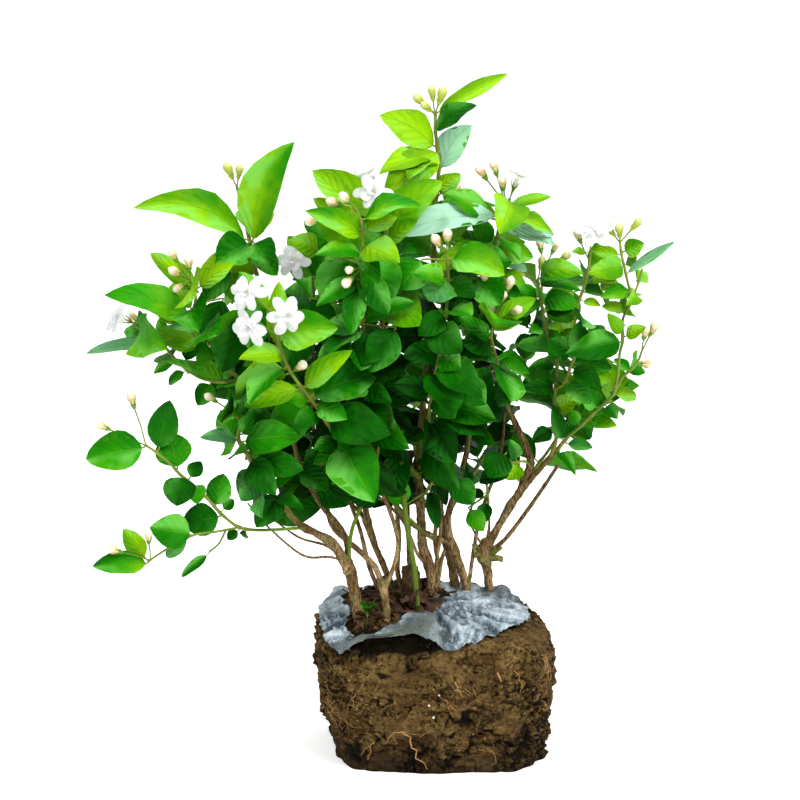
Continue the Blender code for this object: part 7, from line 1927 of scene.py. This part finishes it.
def surface_line(ball, start, heading, length, radius, draw, stray=0.5):
    """A fibre that wanders over the soil, half sunk in it, and here and there stands off it."""
    spots, sizes = [], []
    spot = start
    count = max(5, int(length / (0.16 * CM)))
    lift = 0.0
    for index in range(count):
        near, normal, _, _ = ball.find_nearest(spot)
        lift = max(0.0, lift + draw.uniform(-0.5, 0.5) * 0.03 * CM)
        at = near + normal * (radius * 0.35 + lift)
        at.z = max(at.z, radius * 1.1)
        spots.append(at)
        sizes.append(radius * (1 - 0.75 * index / count))
        heading = (heading + Vector([draw.uniform(-stray, stray) for _ in range(3)])).normalized()
        heading = (heading - normal * heading.dot(normal)).normalized()
        spot = near + heading * (length / count)
    return spots, sizes


def make_roots(ball, settings):
    """Roots and straw over the sides of the soil: a few that show well, and many fine ones."""
    draw = random.Random(412)
    skeleton = Skeleton()
    for *bends, radius in ROOTS:
        route, _ = smoothed([place((across, up, -7.4)) for across, up in bends], [0.0] * len(bends), 0.12 * CM)
        spots, sizes = [], []
        for index, at in enumerate(route):
            near, normal, _, _ = ball.find_nearest(at)
            wander = Vector((noise.noise(near * 190), 0, noise.noise(near * 190 + Vector((5, 5, 5))))) * 0.1 * CM
            at = near + wander + normal * radius * 0.7 * MM
            at.z = max(at.z, radius * MM)
            spots.append(at)
            sizes.append(radius * MM * (1 - 0.65 * index / len(route)))
        skeleton.line(spots, sizes, 2.0 if radius > 0.8 else 0.75)
    for across, up, wide, high, count in FIBRES:
        for _ in range(count):
            spot = place((across + draw.gauss(0, wide), up + draw.gauss(0, high), -5.0))
            near, normal, _, _ = ball.find_nearest(spot)
            heading = Vector((draw.uniform(-1, 1), draw.uniform(-1, 1), draw.uniform(-1, 0.6))).normalized()
            spots, sizes = surface_line(ball, near, heading, draw.uniform(0.5, 1.5) * CM,
                                        draw.uniform(0.15, 0.34) * MM, draw, 0.5)
            skeleton.line(spots, sizes, draw.uniform(0.5, 1.0))
    for count in range(settings.root_count):
        azimuth = draw.uniform(0, math.tau)
        corner = draw.random() < 0.6
        if corner:
            azimuth = draw.choice((0.0, 0.5, 1.0, 1.5)) * math.pi + draw.uniform(-0.55, 0.55)
        polar = math.radians(draw.uniform(58, 128))
        start = ball_point(azimuth, polar)
        heading = Vector((draw.uniform(-1, 1), draw.uniform(-1, 1), draw.uniform(-1.6, 0.5))).normalized()
        radius = draw.uniform(0.1, 0.24) * MM if draw.random() < 0.92 else draw.uniform(0.25, 0.4) * MM
        spots, sizes = surface_line(ball, start, heading, draw.uniform(0.4, 2.2) * CM, radius, draw,
                                    draw.choice((0.2, 0.4, 0.6)))
        skeleton.line(spots, sizes, draw.random() * (0.9 if corner else 0.35))
    return skeleton


def make_litter(ball, greenery):
    """Dead leaves and bits of bark on the soil among the stems."""
    draw = random.Random(77)
    skeleton = Skeleton()
    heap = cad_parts["stump"].bound_box
    heap = Vector([(heap[0][axis] + heap[6][axis]) / 2 for axis in range(3)])
    for count in range(170):
        spoke, reach = draw.uniform(0, math.tau), math.sqrt(draw.random())
        spot = ball_point(*film_place(spoke, 0, around_ball(spoke, FILM_HOLE) * 0.95 * reach, 0))
        piled = count % 2
        if piled:
            ring = Vector((math.cos(spoke), math.sin(spoke), 0.0))
            spot = heap + ring * (0.95 + 1.1 * reach) * CM
        near, normal, _, _ = ball.find_nearest(spot)
        near = near + Vector((0, 0, draw.uniform(0.0, 1.7) * (1.3 - reach) * CM)) * piled
        ahead = Vector((draw.uniform(-1, 1), draw.uniform(-1, 1), draw.uniform(-0.1, 0.45))).normalized()
        length = draw.uniform(0.5, 1.7) * CM
        foot = near + normal * draw.uniform(0.02, 0.35) * CM
        if draw.random() < 0.35:
            skeleton.line([foot, foot + ahead * length * 0.5 + normal * 0.05 * CM, foot + ahead * length],
                          [0.5 * MM, 0.42 * MM, 0.3 * MM], 0.2)
        else:
            skeleton.blade(foot, leaf_frame(foot, foot + ahead * length, draw.uniform(-60, 60)),
                           width=length * draw.uniform(0.35, 0.7), arch=draw.uniform(-0.1, 0.25),
                           fold=draw.uniform(-0.5, 0.9), wave=draw.uniform(0.1, 0.5), phase=draw.uniform(0, 6.28),
                           twist=draw.uniform(-1.5, 1.5), curl=draw.uniform(0, 0.3), pointed=draw.random())
    return skeleton


def film_place(spoke, share, hole, outer):
    """Azimuth and angle from the top of a spot on the film, from its hole to its outer edge."""
    reach = hole * (1 - share) + outer * share
    across = FILM_HOLE_MIDDLE * (1 - share) + reach * math.cos(spoke)
    behind = reach * math.sin(spoke)
    return math.atan2(behind, across), math.radians(math.hypot(across, behind))


def film_bridge(azimuth, share):
    """How far the film arches over the hollow at the front, in centimetres."""
    around = (math.degrees(azimuth) % 360 - 250) / 24
    return FILM_BRIDGE * max(0.0, 1 - around * around) * share


def crumple(spot, size, turn):
    """Height of crumpled film, from -1 to 1: flat three-cornered facets that meet in sharp creases."""
    behind = spot.y * 0.6
    x = (spot.x * math.cos(turn) - behind * math.sin(turn)) / size + turn
    y = (spot.x * math.sin(turn) + behind * math.cos(turn) + spot.z * 0.7) / size
    column, row = math.floor(x), math.floor(y)
    x, y = x - column, y - row
    corner = {(right, up): noise.cell(Vector((column + right + 0.5, row + up + 0.5, turn * 3 + 0.5)))
              for right in (0, 1) for up in (0, 1)}
    if x + y < 1:
        return corner[0, 0] + (corner[1, 0] - corner[0, 0]) * x + (corner[0, 1] - corner[0, 0]) * y
    return corner[1, 1] + (corner[0, 1] - corner[1, 1]) * (1 - x) + (corner[1, 0] - corner[1, 1]) * (1 - y)


def make_film(ball, settings):
    """The torn collar of film: creased, pressed on the soil, with ragged edges."""
    points, heights, stains, backs, faces = [], [], [], [], []
    for row in range(FILM_LINES):
        for column in range(FILM_SPOKES):
            spoke, share = math.tau * column / FILM_SPOKES, row / (FILM_LINES - 1)
            ring = Vector((math.cos(spoke), math.sin(spoke), 0.0))
            hole = around_ball(spoke, FILM_HOLE) + 2.0 * noise.noise(ring * 5.0) + 1.2 * noise.noise(ring * 15)
            outer = around_ball(spoke, FILM_OUTER) + 0.9 * noise.noise(ring * 9.0 + Vector((3, 1, 4)))
            outer += 1.1 * abs(noise.noise(ring * 19)) + 0.7 * noise.noise(ring * 47) - 0.2
            azimuth, polar = film_place(spoke, share, max(hole, 4.0), outer)
            spot = ball_point(azimuth, polar, 0.6)
            flare = math.sin(polar) ** 3
            out = Vector((math.cos(azimuth) * flare, math.sin(azimuth) * flare, math.cos(polar))).normalized()
            at = spot / CM
            warp = Vector((noise.noise(at * 0.5), noise.noise(at * 0.5 + Vector((4, 4, 4))),
                           noise.noise(at * 0.5 + Vector((8, 1, 3))))) * 0.9
            turned = math.degrees(azimuth) % 360
            taut = math.exp(-((turned - 250) / 23) ** 4)
            fold = (0.55 * crumple(at + warp, 1.6, 0.4) + 0.42 * crumple(at + warp * 0.6, 0.75, 2.1)
                    + 0.2 * crumple(at + warp * 0.4, 0.36, 4.4)) * (1 - 0.7 * taut)
            for middle, half, rise in FILM_PLEATS:
                apart = (turned - middle + 180) % 360 - 180 + 2.5 * noise.noise(at * 0.6)
                fold += 2.2 * rise * math.exp(-(apart / half) ** 2) * min(1.0, share * 2.4)
            edge = max(0.0, share - 0.8) * 5
            lift = FILM_STANDOFF + 0.1 + settings.crinkle * fold * 0.42 + film_bridge(azimuth, share)
            lift += edge * (0.08 + 0.2 * noise.noise(ring * 8))
            place_of = spot + out * lift * CM
            near, normal, _, _ = ball.find_nearest(place_of)
            if (place_of - near).dot(normal) < 0.06 * CM:
                place_of = near + normal * 0.06 * CM
            points.append(place_of)
            # The fold height also paints shade in the film's valleys and highlights on its ridges
            heights.append(max(0.0, min(1.0, 0.5 + fold * 0.5)))
            stains.append(taut * min(1.0, share * 3))
            backs.append(math.exp(-((turned - 62) / 34) ** 2) * min(1.0, max(0.0, (share - 0.35) * 3)))
    for row in range(FILM_LINES - 1):
        for column in range(FILM_SPOKES):
            after = (column + 1) % FILM_SPOKES
            start, above = row * FILM_SPOKES, (row + 1) * FILM_SPOKES
            faces.append((start + column, above + column, above + after, start + after))
    mesh = mesh_from("film_sheet", points, faces)
    mesh.shade_smooth()
    keep(mesh, "fold_height", heights)
    keep(mesh, "stain", stains)
    keep(mesh, "back", backs)
    mesh.materials.append(film_material(settings))
    holder = hidden("film_sheet", mesh)
    bpy.context.scene.collection.objects.link(holder)
    wall = holder.modifiers.new("wall", "SOLIDIFY")
    wall.thickness = settings.thickness
    wall.offset = 0.0
    solid = evaluated_mesh(holder)
    bpy.data.objects.remove(holder)
    piece = show("film_collar", solid, ("nursery_film",))
    return piece


# Plant

def make_wood(settings, group, cards):
    """The woody stems: smooth through the solids' points, gnarled, swollen where twigs leave them."""
    surface = bark_material(settings)
    joints = [place(shoot["stems"][0][0][0]) for shoot in SHOOTS.values()]
    for name, branches in WOOD.items():
        skeleton = Skeleton()
        forks = [place(branch[0][:3]) for branch in branches[1:]] + joints
        for branch in branches:
            spots, sizes = smoothed(*wood_route(branch))
            swollen = []
            for spot, size in zip(spots, sizes):
                near = min((spot - fork).length for fork in forks)
                knot = noise.noise(spot * 95 + Vector((3, 3, 3)))
                swollen.append(size * (0.88 + 0.22 * math.exp(-(near / (0.45 * CM)) ** 2) + 0.16 * knot))
            skeleton.line(spots, swollen, -1.0 if name == "stump" else 0.0)
        for spots, first, last, green in TWIGS.get(name, ()):
            ends = [(first + (last - first) * step / (len(spots) - 1)) * MM for step in range(len(spots))]
            skeleton.line(*smoothed([place(spot) for spot in spots], ends), green)
        made = run_tree(skeleton.mesh(name), group, {
            **cards, "Stem Material": surface, "Blade Material": surface, "Bud Material": surface,
            "Half Thickness": 0.2 * MM, "Stem Step": 1.6 * MM, "Stem Sides": 16, "Gnarl": settings.gnarl,
            "Gnarl Scale": 260.0})
        show(name + "_bark", made, (name,))
    skeleton = Skeleton()
    for spots, first, last, green in THIN_STEMS:
        ends = [(first + (last - first) * step / (len(spots) - 1)) * MM for step in range(len(spots))]
        skeleton.line(*smoothed([place(spot) for spot in spots], ends), green)
    show("thin_stems", run_tree(skeleton.mesh("thin_stems"), group, {
        **cards, "Stem Material": surface, "Blade Material": surface, "Bud Material": surface,
        "Half Thickness": 0.2 * MM, "Stem Step": 1.6 * MM, "Stem Sides": 12, "Gnarl": settings.gnarl,
        "Gnarl Scale": 260.0}))


def leaf_tint_and_shade(tip, draw):
    """How young a leaf looks where nothing else says, partly painted light and shade: darker deep in the crown and low,
    lighter outside, at the top and on the right.
    """
    away = Vector(((tip.x / CM + 2.0) / 15.0, tip.y / CM / 11.0, max(0.0, tip.z / CM - 31.0) / 13.0)).length
    outer = min(1.0, max(0.0, (away - 0.4) / 0.6))
    higher = min(1.0, max(-1.0, (tip.z / CM - 31) / 10))
    right = min(1.0, max(0.0, (tip.x / CM - 3) / 6))
    return (0.02 + 0.5 * outer + 0.14 * right + (0.42 if higher > 0 else 0.22) * higher
            + draw.uniform(-0.3, 0.34))


def add_leaf(skeleton, stems, leaf, hint, settings, draw):
    """A blade with its wavy, folded shape, and the petiole that carries it."""
    foot, tip, width, turn, arch, fold = leaf
    length, ahead, aside, over = leaf_frame(foot, tip, turn)
    near, radius = nearest_on_stems(foot, stems)
    stalk = min(0.65 * MM, width * 0.05)
    start = near.lerp(foot, 0.15)
    bend = foot - ahead * min(0.2 * CM, (foot - near).length * 0.4)
    skeleton.line([near, start, bend, foot, foot + ahead * length * 0.05],
                  [stalk * 1.25, stalk * 1.3, stalk, stalk * 0.9, stalk * 0.5])
    # pale is the share of painted sheen; leaves without a hint get a little at random
    tint, pale, *bow = hint or (leaf_tint_and_shade(tip, draw), max(0.0, draw.uniform(-1.3, 0.5)))
    bow = Vector((bow[0][0], 0.0, bow[0][1])).dot(aside) * CM / length if bow else 0.0
    skeleton.blade(foot, (length, ahead, aside, over), width=width, arch=arch, fold=fold,
                   wave=settings.wave * draw.uniform(0.7, 1.9), phase=draw.uniform(0, 6.28),
                   twist=draw.uniform(-0.35, 0.35), curl=draw.uniform(0.0, 0.07), pointed=draw.uniform(0.0, 0.75),
                   tint=tint, pale=pale, bow=bow)


def make_shoots(settings, group, cards):
    """Each shoot with its stems, leaves, buds and calyxes."""
    surfaces = {"Stem Material": shoot_material(), "Blade Material": leaf_material(settings),
                "Bud Material": bud_material()}
    leaves, buds = placed_leaves()
    for index, (name, shoot) in enumerate(SHOOTS.items()):
        draw = random.Random(900 + index)
        skeleton = Skeleton()
        stems = [smoothed(*route) for route in stem_routes(shoot)]
        joints = [nearest_on_stems(leaf[0], stems)[0] for leaf, _ in leaves[name]]
        for spots, sizes in stems:
            swollen = [size * (1 + 0.4 * max([math.exp(-((spot - joint).length / (0.18 * CM)) ** 2)
                                              for joint in joints] or [0])) for spot, size in zip(spots, sizes)]
            skeleton.line(spots, swollen)
        for leaf, hint in leaves[name]:
            add_leaf(skeleton, stems, leaf, hint, settings, draw)
        for root, tip, length in buds[name]:
            ahead = (tip - root).normalized()
            neck = tip - ahead * length
            near, _ = nearest_on_stems(root, stems)
            sag = ahead.orthogonal().normalized() * (neck - near).length * draw.uniform(-0.07, 0.07)
            skeleton.line([near, near.lerp(neck, 0.5) + sag, neck, neck + ahead * 0.05 * length],
                          [0.55 * MM, 0.5 * MM, 0.55 * MM, 0.6 * MM])
            skeleton.bud(neck, ahead, length * 1.3, 1.0 if name in YOUNG_BUDS else 0.0)
        for joint, centre, facing in shoot.get("blooms", ()):
            add_calyx(skeleton, place(joint), place(centre), facing, stems)
        made = run_tree(skeleton.mesh(name), group, {
            **cards, **surfaces, "Half Thickness": settings.thickness / 2, "Stem Step": 1.5 * MM,
            "Stem Sides": 8, "Gnarl": 0.25, "Gnarl Scale": 500.0})
        show(name + "_growth", made, (name,))
    skeleton, draw = Skeleton(), random.Random(880)
    stems = [smoothed(*wood_route(branch)) for branches in WOOD.values() for branch in branches]
    for leaf, hint in leaves["low"]:
        add_leaf(skeleton, stems, leaf, hint, settings, draw)
    for foot, tip, width in SEEDLING:
        foot, tip = place(foot), place(tip)
        stalk = ([foot - Vector((0.1 * CM, 0, 1.2 * CM)), foot - Vector((0, 0, 0.3 * CM))], [0.5 * MM, 0.4 * MM])
        add_leaf(skeleton, [stalk], (foot, tip, width * CM, 20, 0.12, 0.3), (0.3, 0.0), settings, draw)
        skeleton.line(*stalk)
    show("low_growth", run_tree(skeleton.mesh("low"), group, {
        **cards, **surfaces, "Half Thickness": settings.thickness / 2, "Stem Step": 1.5 * MM, "Stem Sides": 8,
        "Gnarl": 0.25, "Gnarl Scale": 500.0}))


def add_calyx(skeleton, joint, centre, facing, stems):
    """The stalk of a bloom, widening into a green cup with thin teeth round the white tube."""
    toward, side, over = bloom_frame(facing)
    near, _ = nearest_on_stems(joint, stems)
    neck = centre - toward * 0.95 * CM
    start = neck - toward * 0.35 * CM
    spots, sizes = smoothed([near, near.lerp(start, 0.5), start, neck], [0.55 * MM, 0.55 * MM, 0.8 * MM, 1.9 * MM])
    skeleton.line(spots, sizes)
    for tooth in range(CALYX_TEETH):
        angle = math.tau * tooth / CALYX_TEETH
        out = side * math.cos(angle) + over * math.sin(angle)
        foot = neck - toward * 0.06 * CM + out * 0.15 * CM
        skeleton.line([foot, foot + toward * 0.3 * CM + out * 0.1 * CM, foot + toward * 0.55 * CM + out * 0.22 * CM],
                      [0.4 * MM, 0.28 * MM, 0.1 * MM])


def make_blooms(settings, group, cards):
    """White double blooms: rounded petals in layers round a closed heart, on a narrow tube."""
    surface = petal_material(settings)
    for index, (centre, facing) in enumerate(bloom_places()):
        draw = random.Random(300 + index)
        toward, side, over = bloom_frame(facing)
        skeleton = Skeleton()
        spots, sizes = smoothed([centre - toward * 0.93 * CM, centre - toward * 0.4 * CM, centre + toward * 0.08 * CM],
                                [1.2 * MM, 1.1 * MM, 1.9 * MM], 0.15 * CM)
        skeleton.line(spots, sizes)
        for layer, (count, length, width, lean, arch, curl, fold, first, depth) in enumerate(PETAL_LAYERS):
            for petal in range(count):
                angle = (petal + first + draw.uniform(-0.14, 0.14)) * math.tau / count
                tilt = math.radians(lean + draw.uniform(-9, 9))
                out = side * math.cos(angle) + over * math.sin(angle)
                ahead = (out * math.cos(tilt) + toward * math.sin(tilt)).normalized()
                aside = ahead.cross(toward - out * math.sin(tilt)).normalized()
                foot = centre + toward * depth * CM + out * 0.05 * CM
                reach = length * draw.uniform(0.92, 1.06) * CM
                skeleton.blade(foot, (reach, ahead, aside, aside.cross(ahead)),
                               width=width * draw.uniform(0.93, 1.08) * CM, arch=arch + draw.uniform(-0.05, 0.04),
                               fold=fold + draw.uniform(-0.1, 0.12), wave=draw.uniform(0.02, 0.1),
                               phase=draw.uniform(0, 6.28), twist=draw.uniform(-0.35, 0.35),
                               curl=curl + draw.uniform(-0.05, 0.08), pointed=draw.uniform(0.0, 0.45))
        made = run_tree(skeleton.mesh("bloom"), group, {
            **cards, "Stem Material": surface, "Blade Material": surface, "Bud Material": surface,
            "Half Thickness": settings.thickness / 2, "Stem Step": 1.2 * MM, "Stem Sides": 10, "Gnarl": 0.0,
            "Gnarl Scale": 200.0})
        show(f"bloom_{index + 1}_petals", made, (f"bloom_{index + 1}",))


def make_stage(settings):
    """A pale floor, soft lights and the camera."""
    scene = bpy.context.scene
    scene.view_settings.view_transform = "Standard"
    floor = mesh_from("floor", [(-20, -20, 0), (20, -20, 0), (20, 20, 0), (-20, 20, 0)], [(0, 1, 2, 3)])
    made, tree, shader, spot = new_material("pale_floor")
    grain = tree.noise(spot, 30, 2.0)
    colour = tree.mix(grain * 0.05, (*settings.floor_colour, 1), linear(240, 240, 240))
    finish_surface(tree, shader, colour, grain * 0.1 + 0.8, grain, 0.0001)
    shader.inputs["Specular IOR Level"].default_value = 0.0
    seen = tree.add("ShaderNodeLightPath")
    tree.tree.links.new(tree.mix(seen, (0, 0, 0, 1), (1, 1, 1, 1)).output, shader.inputs["Emission Color"])
    shader.inputs["Emission Strength"].default_value = settings.floor_glow
    floor.materials.append(made)
    ground = bpy.data.objects.new("pale_floor", floor)
    scene.collection.objects.link(ground)

    world = bpy.data.worlds.new("soft_studio")
    scene.world = world
    world.use_nodes = True
    sky = Tree(world.node_tree)
    for old in list(world.node_tree.nodes):
        world.node_tree.nodes.remove(old)
    seen = sky.add("ShaderNodeLightPath")
    upward = sky.add("ShaderNodeSeparateXYZ", None, {0: sky.add("ShaderNodeTexCoord")}, 2)
    light = upward.ramp(0.0, 0.9, settings.horizon, settings.sky)
    glow = sky.add("ShaderNodeBackground", None, {"Strength": light + (1 - light) * seen})
    sky.add("ShaderNodeOutputWorld", None, {"Surface": glow})

    for name, spot, size, power in (("key", (0.9, -1.1, 1.7), 0.9, settings.key), ("fill", (-1.5, -1.2, 0.9), 1.4, 7.0),
                                    ("top", (-0.1, 0.5, 1.9), 1.2, 14.0)):
        lamp = bpy.data.lights.new(name, "AREA")
        lamp.size = size
        lamp.energy = power
        holder = bpy.data.objects.new(name, lamp)
        holder.location = spot
        holder.rotation_euler = (Vector((0, 0, 0.25)) - Vector(spot)).to_track_quat("-Z", "Y").to_euler()
        scene.collection.objects.link(holder)
    lens = bpy.data.cameras.new("camera")
    lens.lens = 126
    lens.sensor_width = 36
    camera = bpy.data.objects.new("camera", lens)
    camera.location = Vector((EYE_ACROSS, -EYE_FRONT, EYE_UP)) * CM
    camera.rotation_euler = (math.radians(78), 0, 0)
    scene.collection.objects.link(camera)
    scene.camera = camera


# Settings, operators and panel

class LeafSettings(bpy.types.PropertyGroup):
    """Sizes and colours of the leaves."""
    thickness: bpy.props.FloatProperty(name="Thickness", description="Thickness of a blade", default=0.0004,
                                       unit="LENGTH")
    wave: bpy.props.FloatProperty(name="Wave", description="How far the edges wave, as a share of half the width",
                                  default=0.11)
    # Painted shade for leaves deep in the crown
    crown_shade_colour: bpy.props.FloatVectorProperty(name="Deep", description="Colour of leaves deep in the crown",
                                               subtype="COLOR", default=linear(6, 38, 2)[:3])
    old_colour: bpy.props.FloatVectorProperty(name="Old", description="Colour of old leaves", subtype="COLOR",
                                              default=linear(10, 96, 0)[:3])
    colour: bpy.props.FloatVectorProperty(name="Grown", description="Colour of grown leaves", subtype="COLOR",
                                          default=linear(40, 148, 0)[:3])
    young_colour: bpy.props.FloatVectorProperty(name="Young", description="Colour of young leaves",
                                                subtype="COLOR", default=linear(146, 202, 4)[:3])
    vein_colour: bpy.props.FloatVectorProperty(name="Veins", description="Colour of the veins", subtype="COLOR",
                                               default=linear(120, 190, 40)[:3])
    sheen_colour: bpy.props.FloatVectorProperty(name="Sheen", description="Colour of pale sheen", subtype="COLOR",
                                                default=linear(186, 232, 206)[:3])


class BloomSettings(bpy.types.PropertyGroup):
    """Size and colour of the petals."""
    thickness: bpy.props.FloatProperty(name="Thickness", description="Thickness of a petal", default=0.0006,
                                       unit="LENGTH")
    colour: bpy.props.FloatVectorProperty(name="Petals", description="Colour of the petals", subtype="COLOR",
                                          default=linear(254, 254, 255)[:3])


class WoodSettings(bpy.types.PropertyGroup):
    """Shape and colour of the woody stems."""
    gnarl: bpy.props.FloatProperty(name="Gnarl", description="Roughness of the bark, as a share of the radius",
                                   default=0.75)
    colour: bpy.props.FloatVectorProperty(name="Bark", description="Colour of the bark", subtype="COLOR",
                                          default=linear(124, 94, 58)[:3])
    pale_colour: bpy.props.FloatVectorProperty(name="Pale bark", description="Colour of its pale patches",
                                               subtype="COLOR", default=linear(196, 164, 118)[:3])


class SoilSettings(bpy.types.PropertyGroup):
    """Shape and colour of the soil and its roots."""
    relief: bpy.props.FloatProperty(name="Relief", description="Depth of clods and cracks", default=1.0)
    crumb_density: bpy.props.FloatProperty(name="Crumbs", description="Crumbs on a square metre", default=14000.0)
    root_count: bpy.props.IntProperty(name="Roots", description="How many fibres lie on the soil", default=190)
    colour: bpy.props.FloatVectorProperty(name="Soil", description="Colour of the soil", subtype="COLOR",
                                          default=linear(90, 66, 30)[:3])
    # Colour of dry soil, also used as painted light on soil that stands out
    dry_and_lit_colour: bpy.props.FloatVectorProperty(name="Dry soil", description="Colour where it is dry",
                                              subtype="COLOR", default=linear(124, 97, 54)[:3])


class FilmSettings(bpy.types.PropertyGroup):
    """Shape and colour of the film."""
    thickness: bpy.props.FloatProperty(name="Thickness", description="Thickness of the film", default=0.0003,
                                       unit="LENGTH")
    crinkle: bpy.props.FloatProperty(name="Crinkle", description="Height of its creases", default=1.0)
    colour: bpy.props.FloatVectorProperty(name="Film", description="Colour of the film", subtype="COLOR",
                                          default=linear(176, 196, 208)[:3])
    shade_colour: bpy.props.FloatVectorProperty(name="Shade", description="Its darker colour", subtype="COLOR",
                                                default=linear(104, 124, 136)[:3])


class StageSettings(bpy.types.PropertyGroup):
    """Floor and light."""
    floor_colour: bpy.props.FloatVectorProperty(name="Floor", description="Colour of the floor", subtype="COLOR",
                                                default=(0.93, 0.93, 0.93))
    floor_glow: bpy.props.FloatProperty(name="Floor glow", description="How much whiter the camera sees the floor",
                                        default=0.5)
    sky: bpy.props.FloatProperty(name="Sky", description="Strength of the light from above", default=1.1)
    horizon: bpy.props.FloatProperty(name="Horizon", description="Strength of the light from the sides",
                                     default=0.4)
    key: bpy.props.FloatProperty(name="Key", description="Power of the main light", default=30.0, unit="POWER")


class JASMINE_OT_soil(bpy.types.Operator):
    """Make the soil, its crumbs, roots and litter, and the film on it"""
    bl_idname = "jasmine.soil"
    bl_label = "Soil and Film"

    def execute(self, context):
        group = growth_tree()
        cards = {"Blade": blade_card("litter_card", LEAF_ROWS), "Bud": bud_shape()}
        ball = surface_of(make_soil(context.scene.jasmine_soil))
        roots = make_roots(ball, context.scene.jasmine_soil)
        fibre, dry = root_material(), litter_material()
        for name, skeleton, surface, step, half in (("fine_roots", roots, fibre, 1.2 * MM, 0.2 * MM),
                                                    ("surface_litter", make_litter(ball, fibre), dry, 1.5 * MM, 0.2 * MM)):
            made = run_tree(skeleton.mesh(name), group, {
                **cards, "Stem Material": surface, "Blade Material": surface, "Bud Material": surface,
                "Half Thickness": half, "Stem Step": step, "Stem Sides": 6, "Gnarl": 0.3, "Gnarl Scale": 700.0})
            show(name, made)
        make_film(ball, context.scene.jasmine_film)
        return {"FINISHED"}


class JASMINE_OT_wood(bpy.types.Operator):
    """Make the bark of the woody stems"""
    bl_idname = "jasmine.wood"
    bl_label = "Woody Stems"

    def execute(self, context):
        cards = {"Blade": blade_card("twig_card", LEAF_ROWS), "Bud": bud_shape()}
        make_wood(context.scene.jasmine_wood, growth_tree(), cards)
        return {"FINISHED"}


class JASMINE_OT_shoots(bpy.types.Operator):
    """Make the leafy shoots with their buds"""
    bl_idname = "jasmine.shoots"
    bl_label = "Leafy Shoots"

    def execute(self, context):
        cards = {"Blade": blade_card("leaf_card", LEAF_ROWS), "Bud": bud_shape()}
        make_shoots(context.scene.jasmine_leaf, growth_tree(), cards)
        return {"FINISHED"}


class JASMINE_OT_blooms(bpy.types.Operator):
    """Make the white blooms"""
    bl_idname = "jasmine.blooms"
    bl_label = "Blooms"

    def execute(self, context):
        cards = {"Blade": blade_card("petal_card", PETAL_ROWS), "Bud": bud_shape()}
        make_blooms(context.scene.jasmine_bloom, growth_tree(), cards)
        return {"FINISHED"}


class JASMINE_OT_stage(bpy.types.Operator):
    """Make the floor, the lights and the camera"""
    bl_idname = "jasmine.stage"
    bl_label = "Stage"

    def execute(self, context):
        make_stage(context.scene.jasmine_stage)
        return {"FINISHED"}


OPERATORS = (JASMINE_OT_soil, JASMINE_OT_wood, JASMINE_OT_shoots, JASMINE_OT_blooms, JASMINE_OT_stage)
SETTINGS = {"jasmine_leaf": LeafSettings, "jasmine_bloom": BloomSettings, "jasmine_wood": WoodSettings,
            "jasmine_soil": SoilSettings, "jasmine_film": FilmSettings, "jasmine_stage": StageSettings}


class JASMINE_PT_pieces(bpy.types.Panel):
    """Lists what makes the plant and its settings"""
    bl_idname = "JASMINE_PT_pieces"
    bl_label = "Jasmine"
    bl_space_type = "VIEW_3D"
    bl_region_type = "UI"
    bl_category = "Jasmine"

    def draw(self, context):
        for operator in OPERATORS:
            self.layout.operator(operator.bl_idname)
        for title, group in SETTINGS.items():
            box = self.layout.box()
            for name in group.__annotations__:
                box.prop(getattr(context.scene, title), name)


def register():
    for made in (*SETTINGS.values(), *OPERATORS, JASMINE_PT_pieces):
        bpy.utils.register_class(made)
    for title, group in SETTINGS.items():
        setattr(bpy.types.Scene, title, bpy.props.PointerProperty(type=group))


def unregister():
    for title in SETTINGS:
        delattr(bpy.types.Scene, title)
    for made in reversed((*SETTINGS.values(), *OPERATORS, JASMINE_PT_pieces)):
        bpy.utils.unregister_class(made)


def main():
    register()
    bpy.ops.jasmine.soil()
    bpy.ops.jasmine.wood()
    bpy.ops.jasmine.shoots()
    bpy.ops.jasmine.blooms()
    bpy.ops.jasmine.stage()


if __name__ == "__main__":
    main()
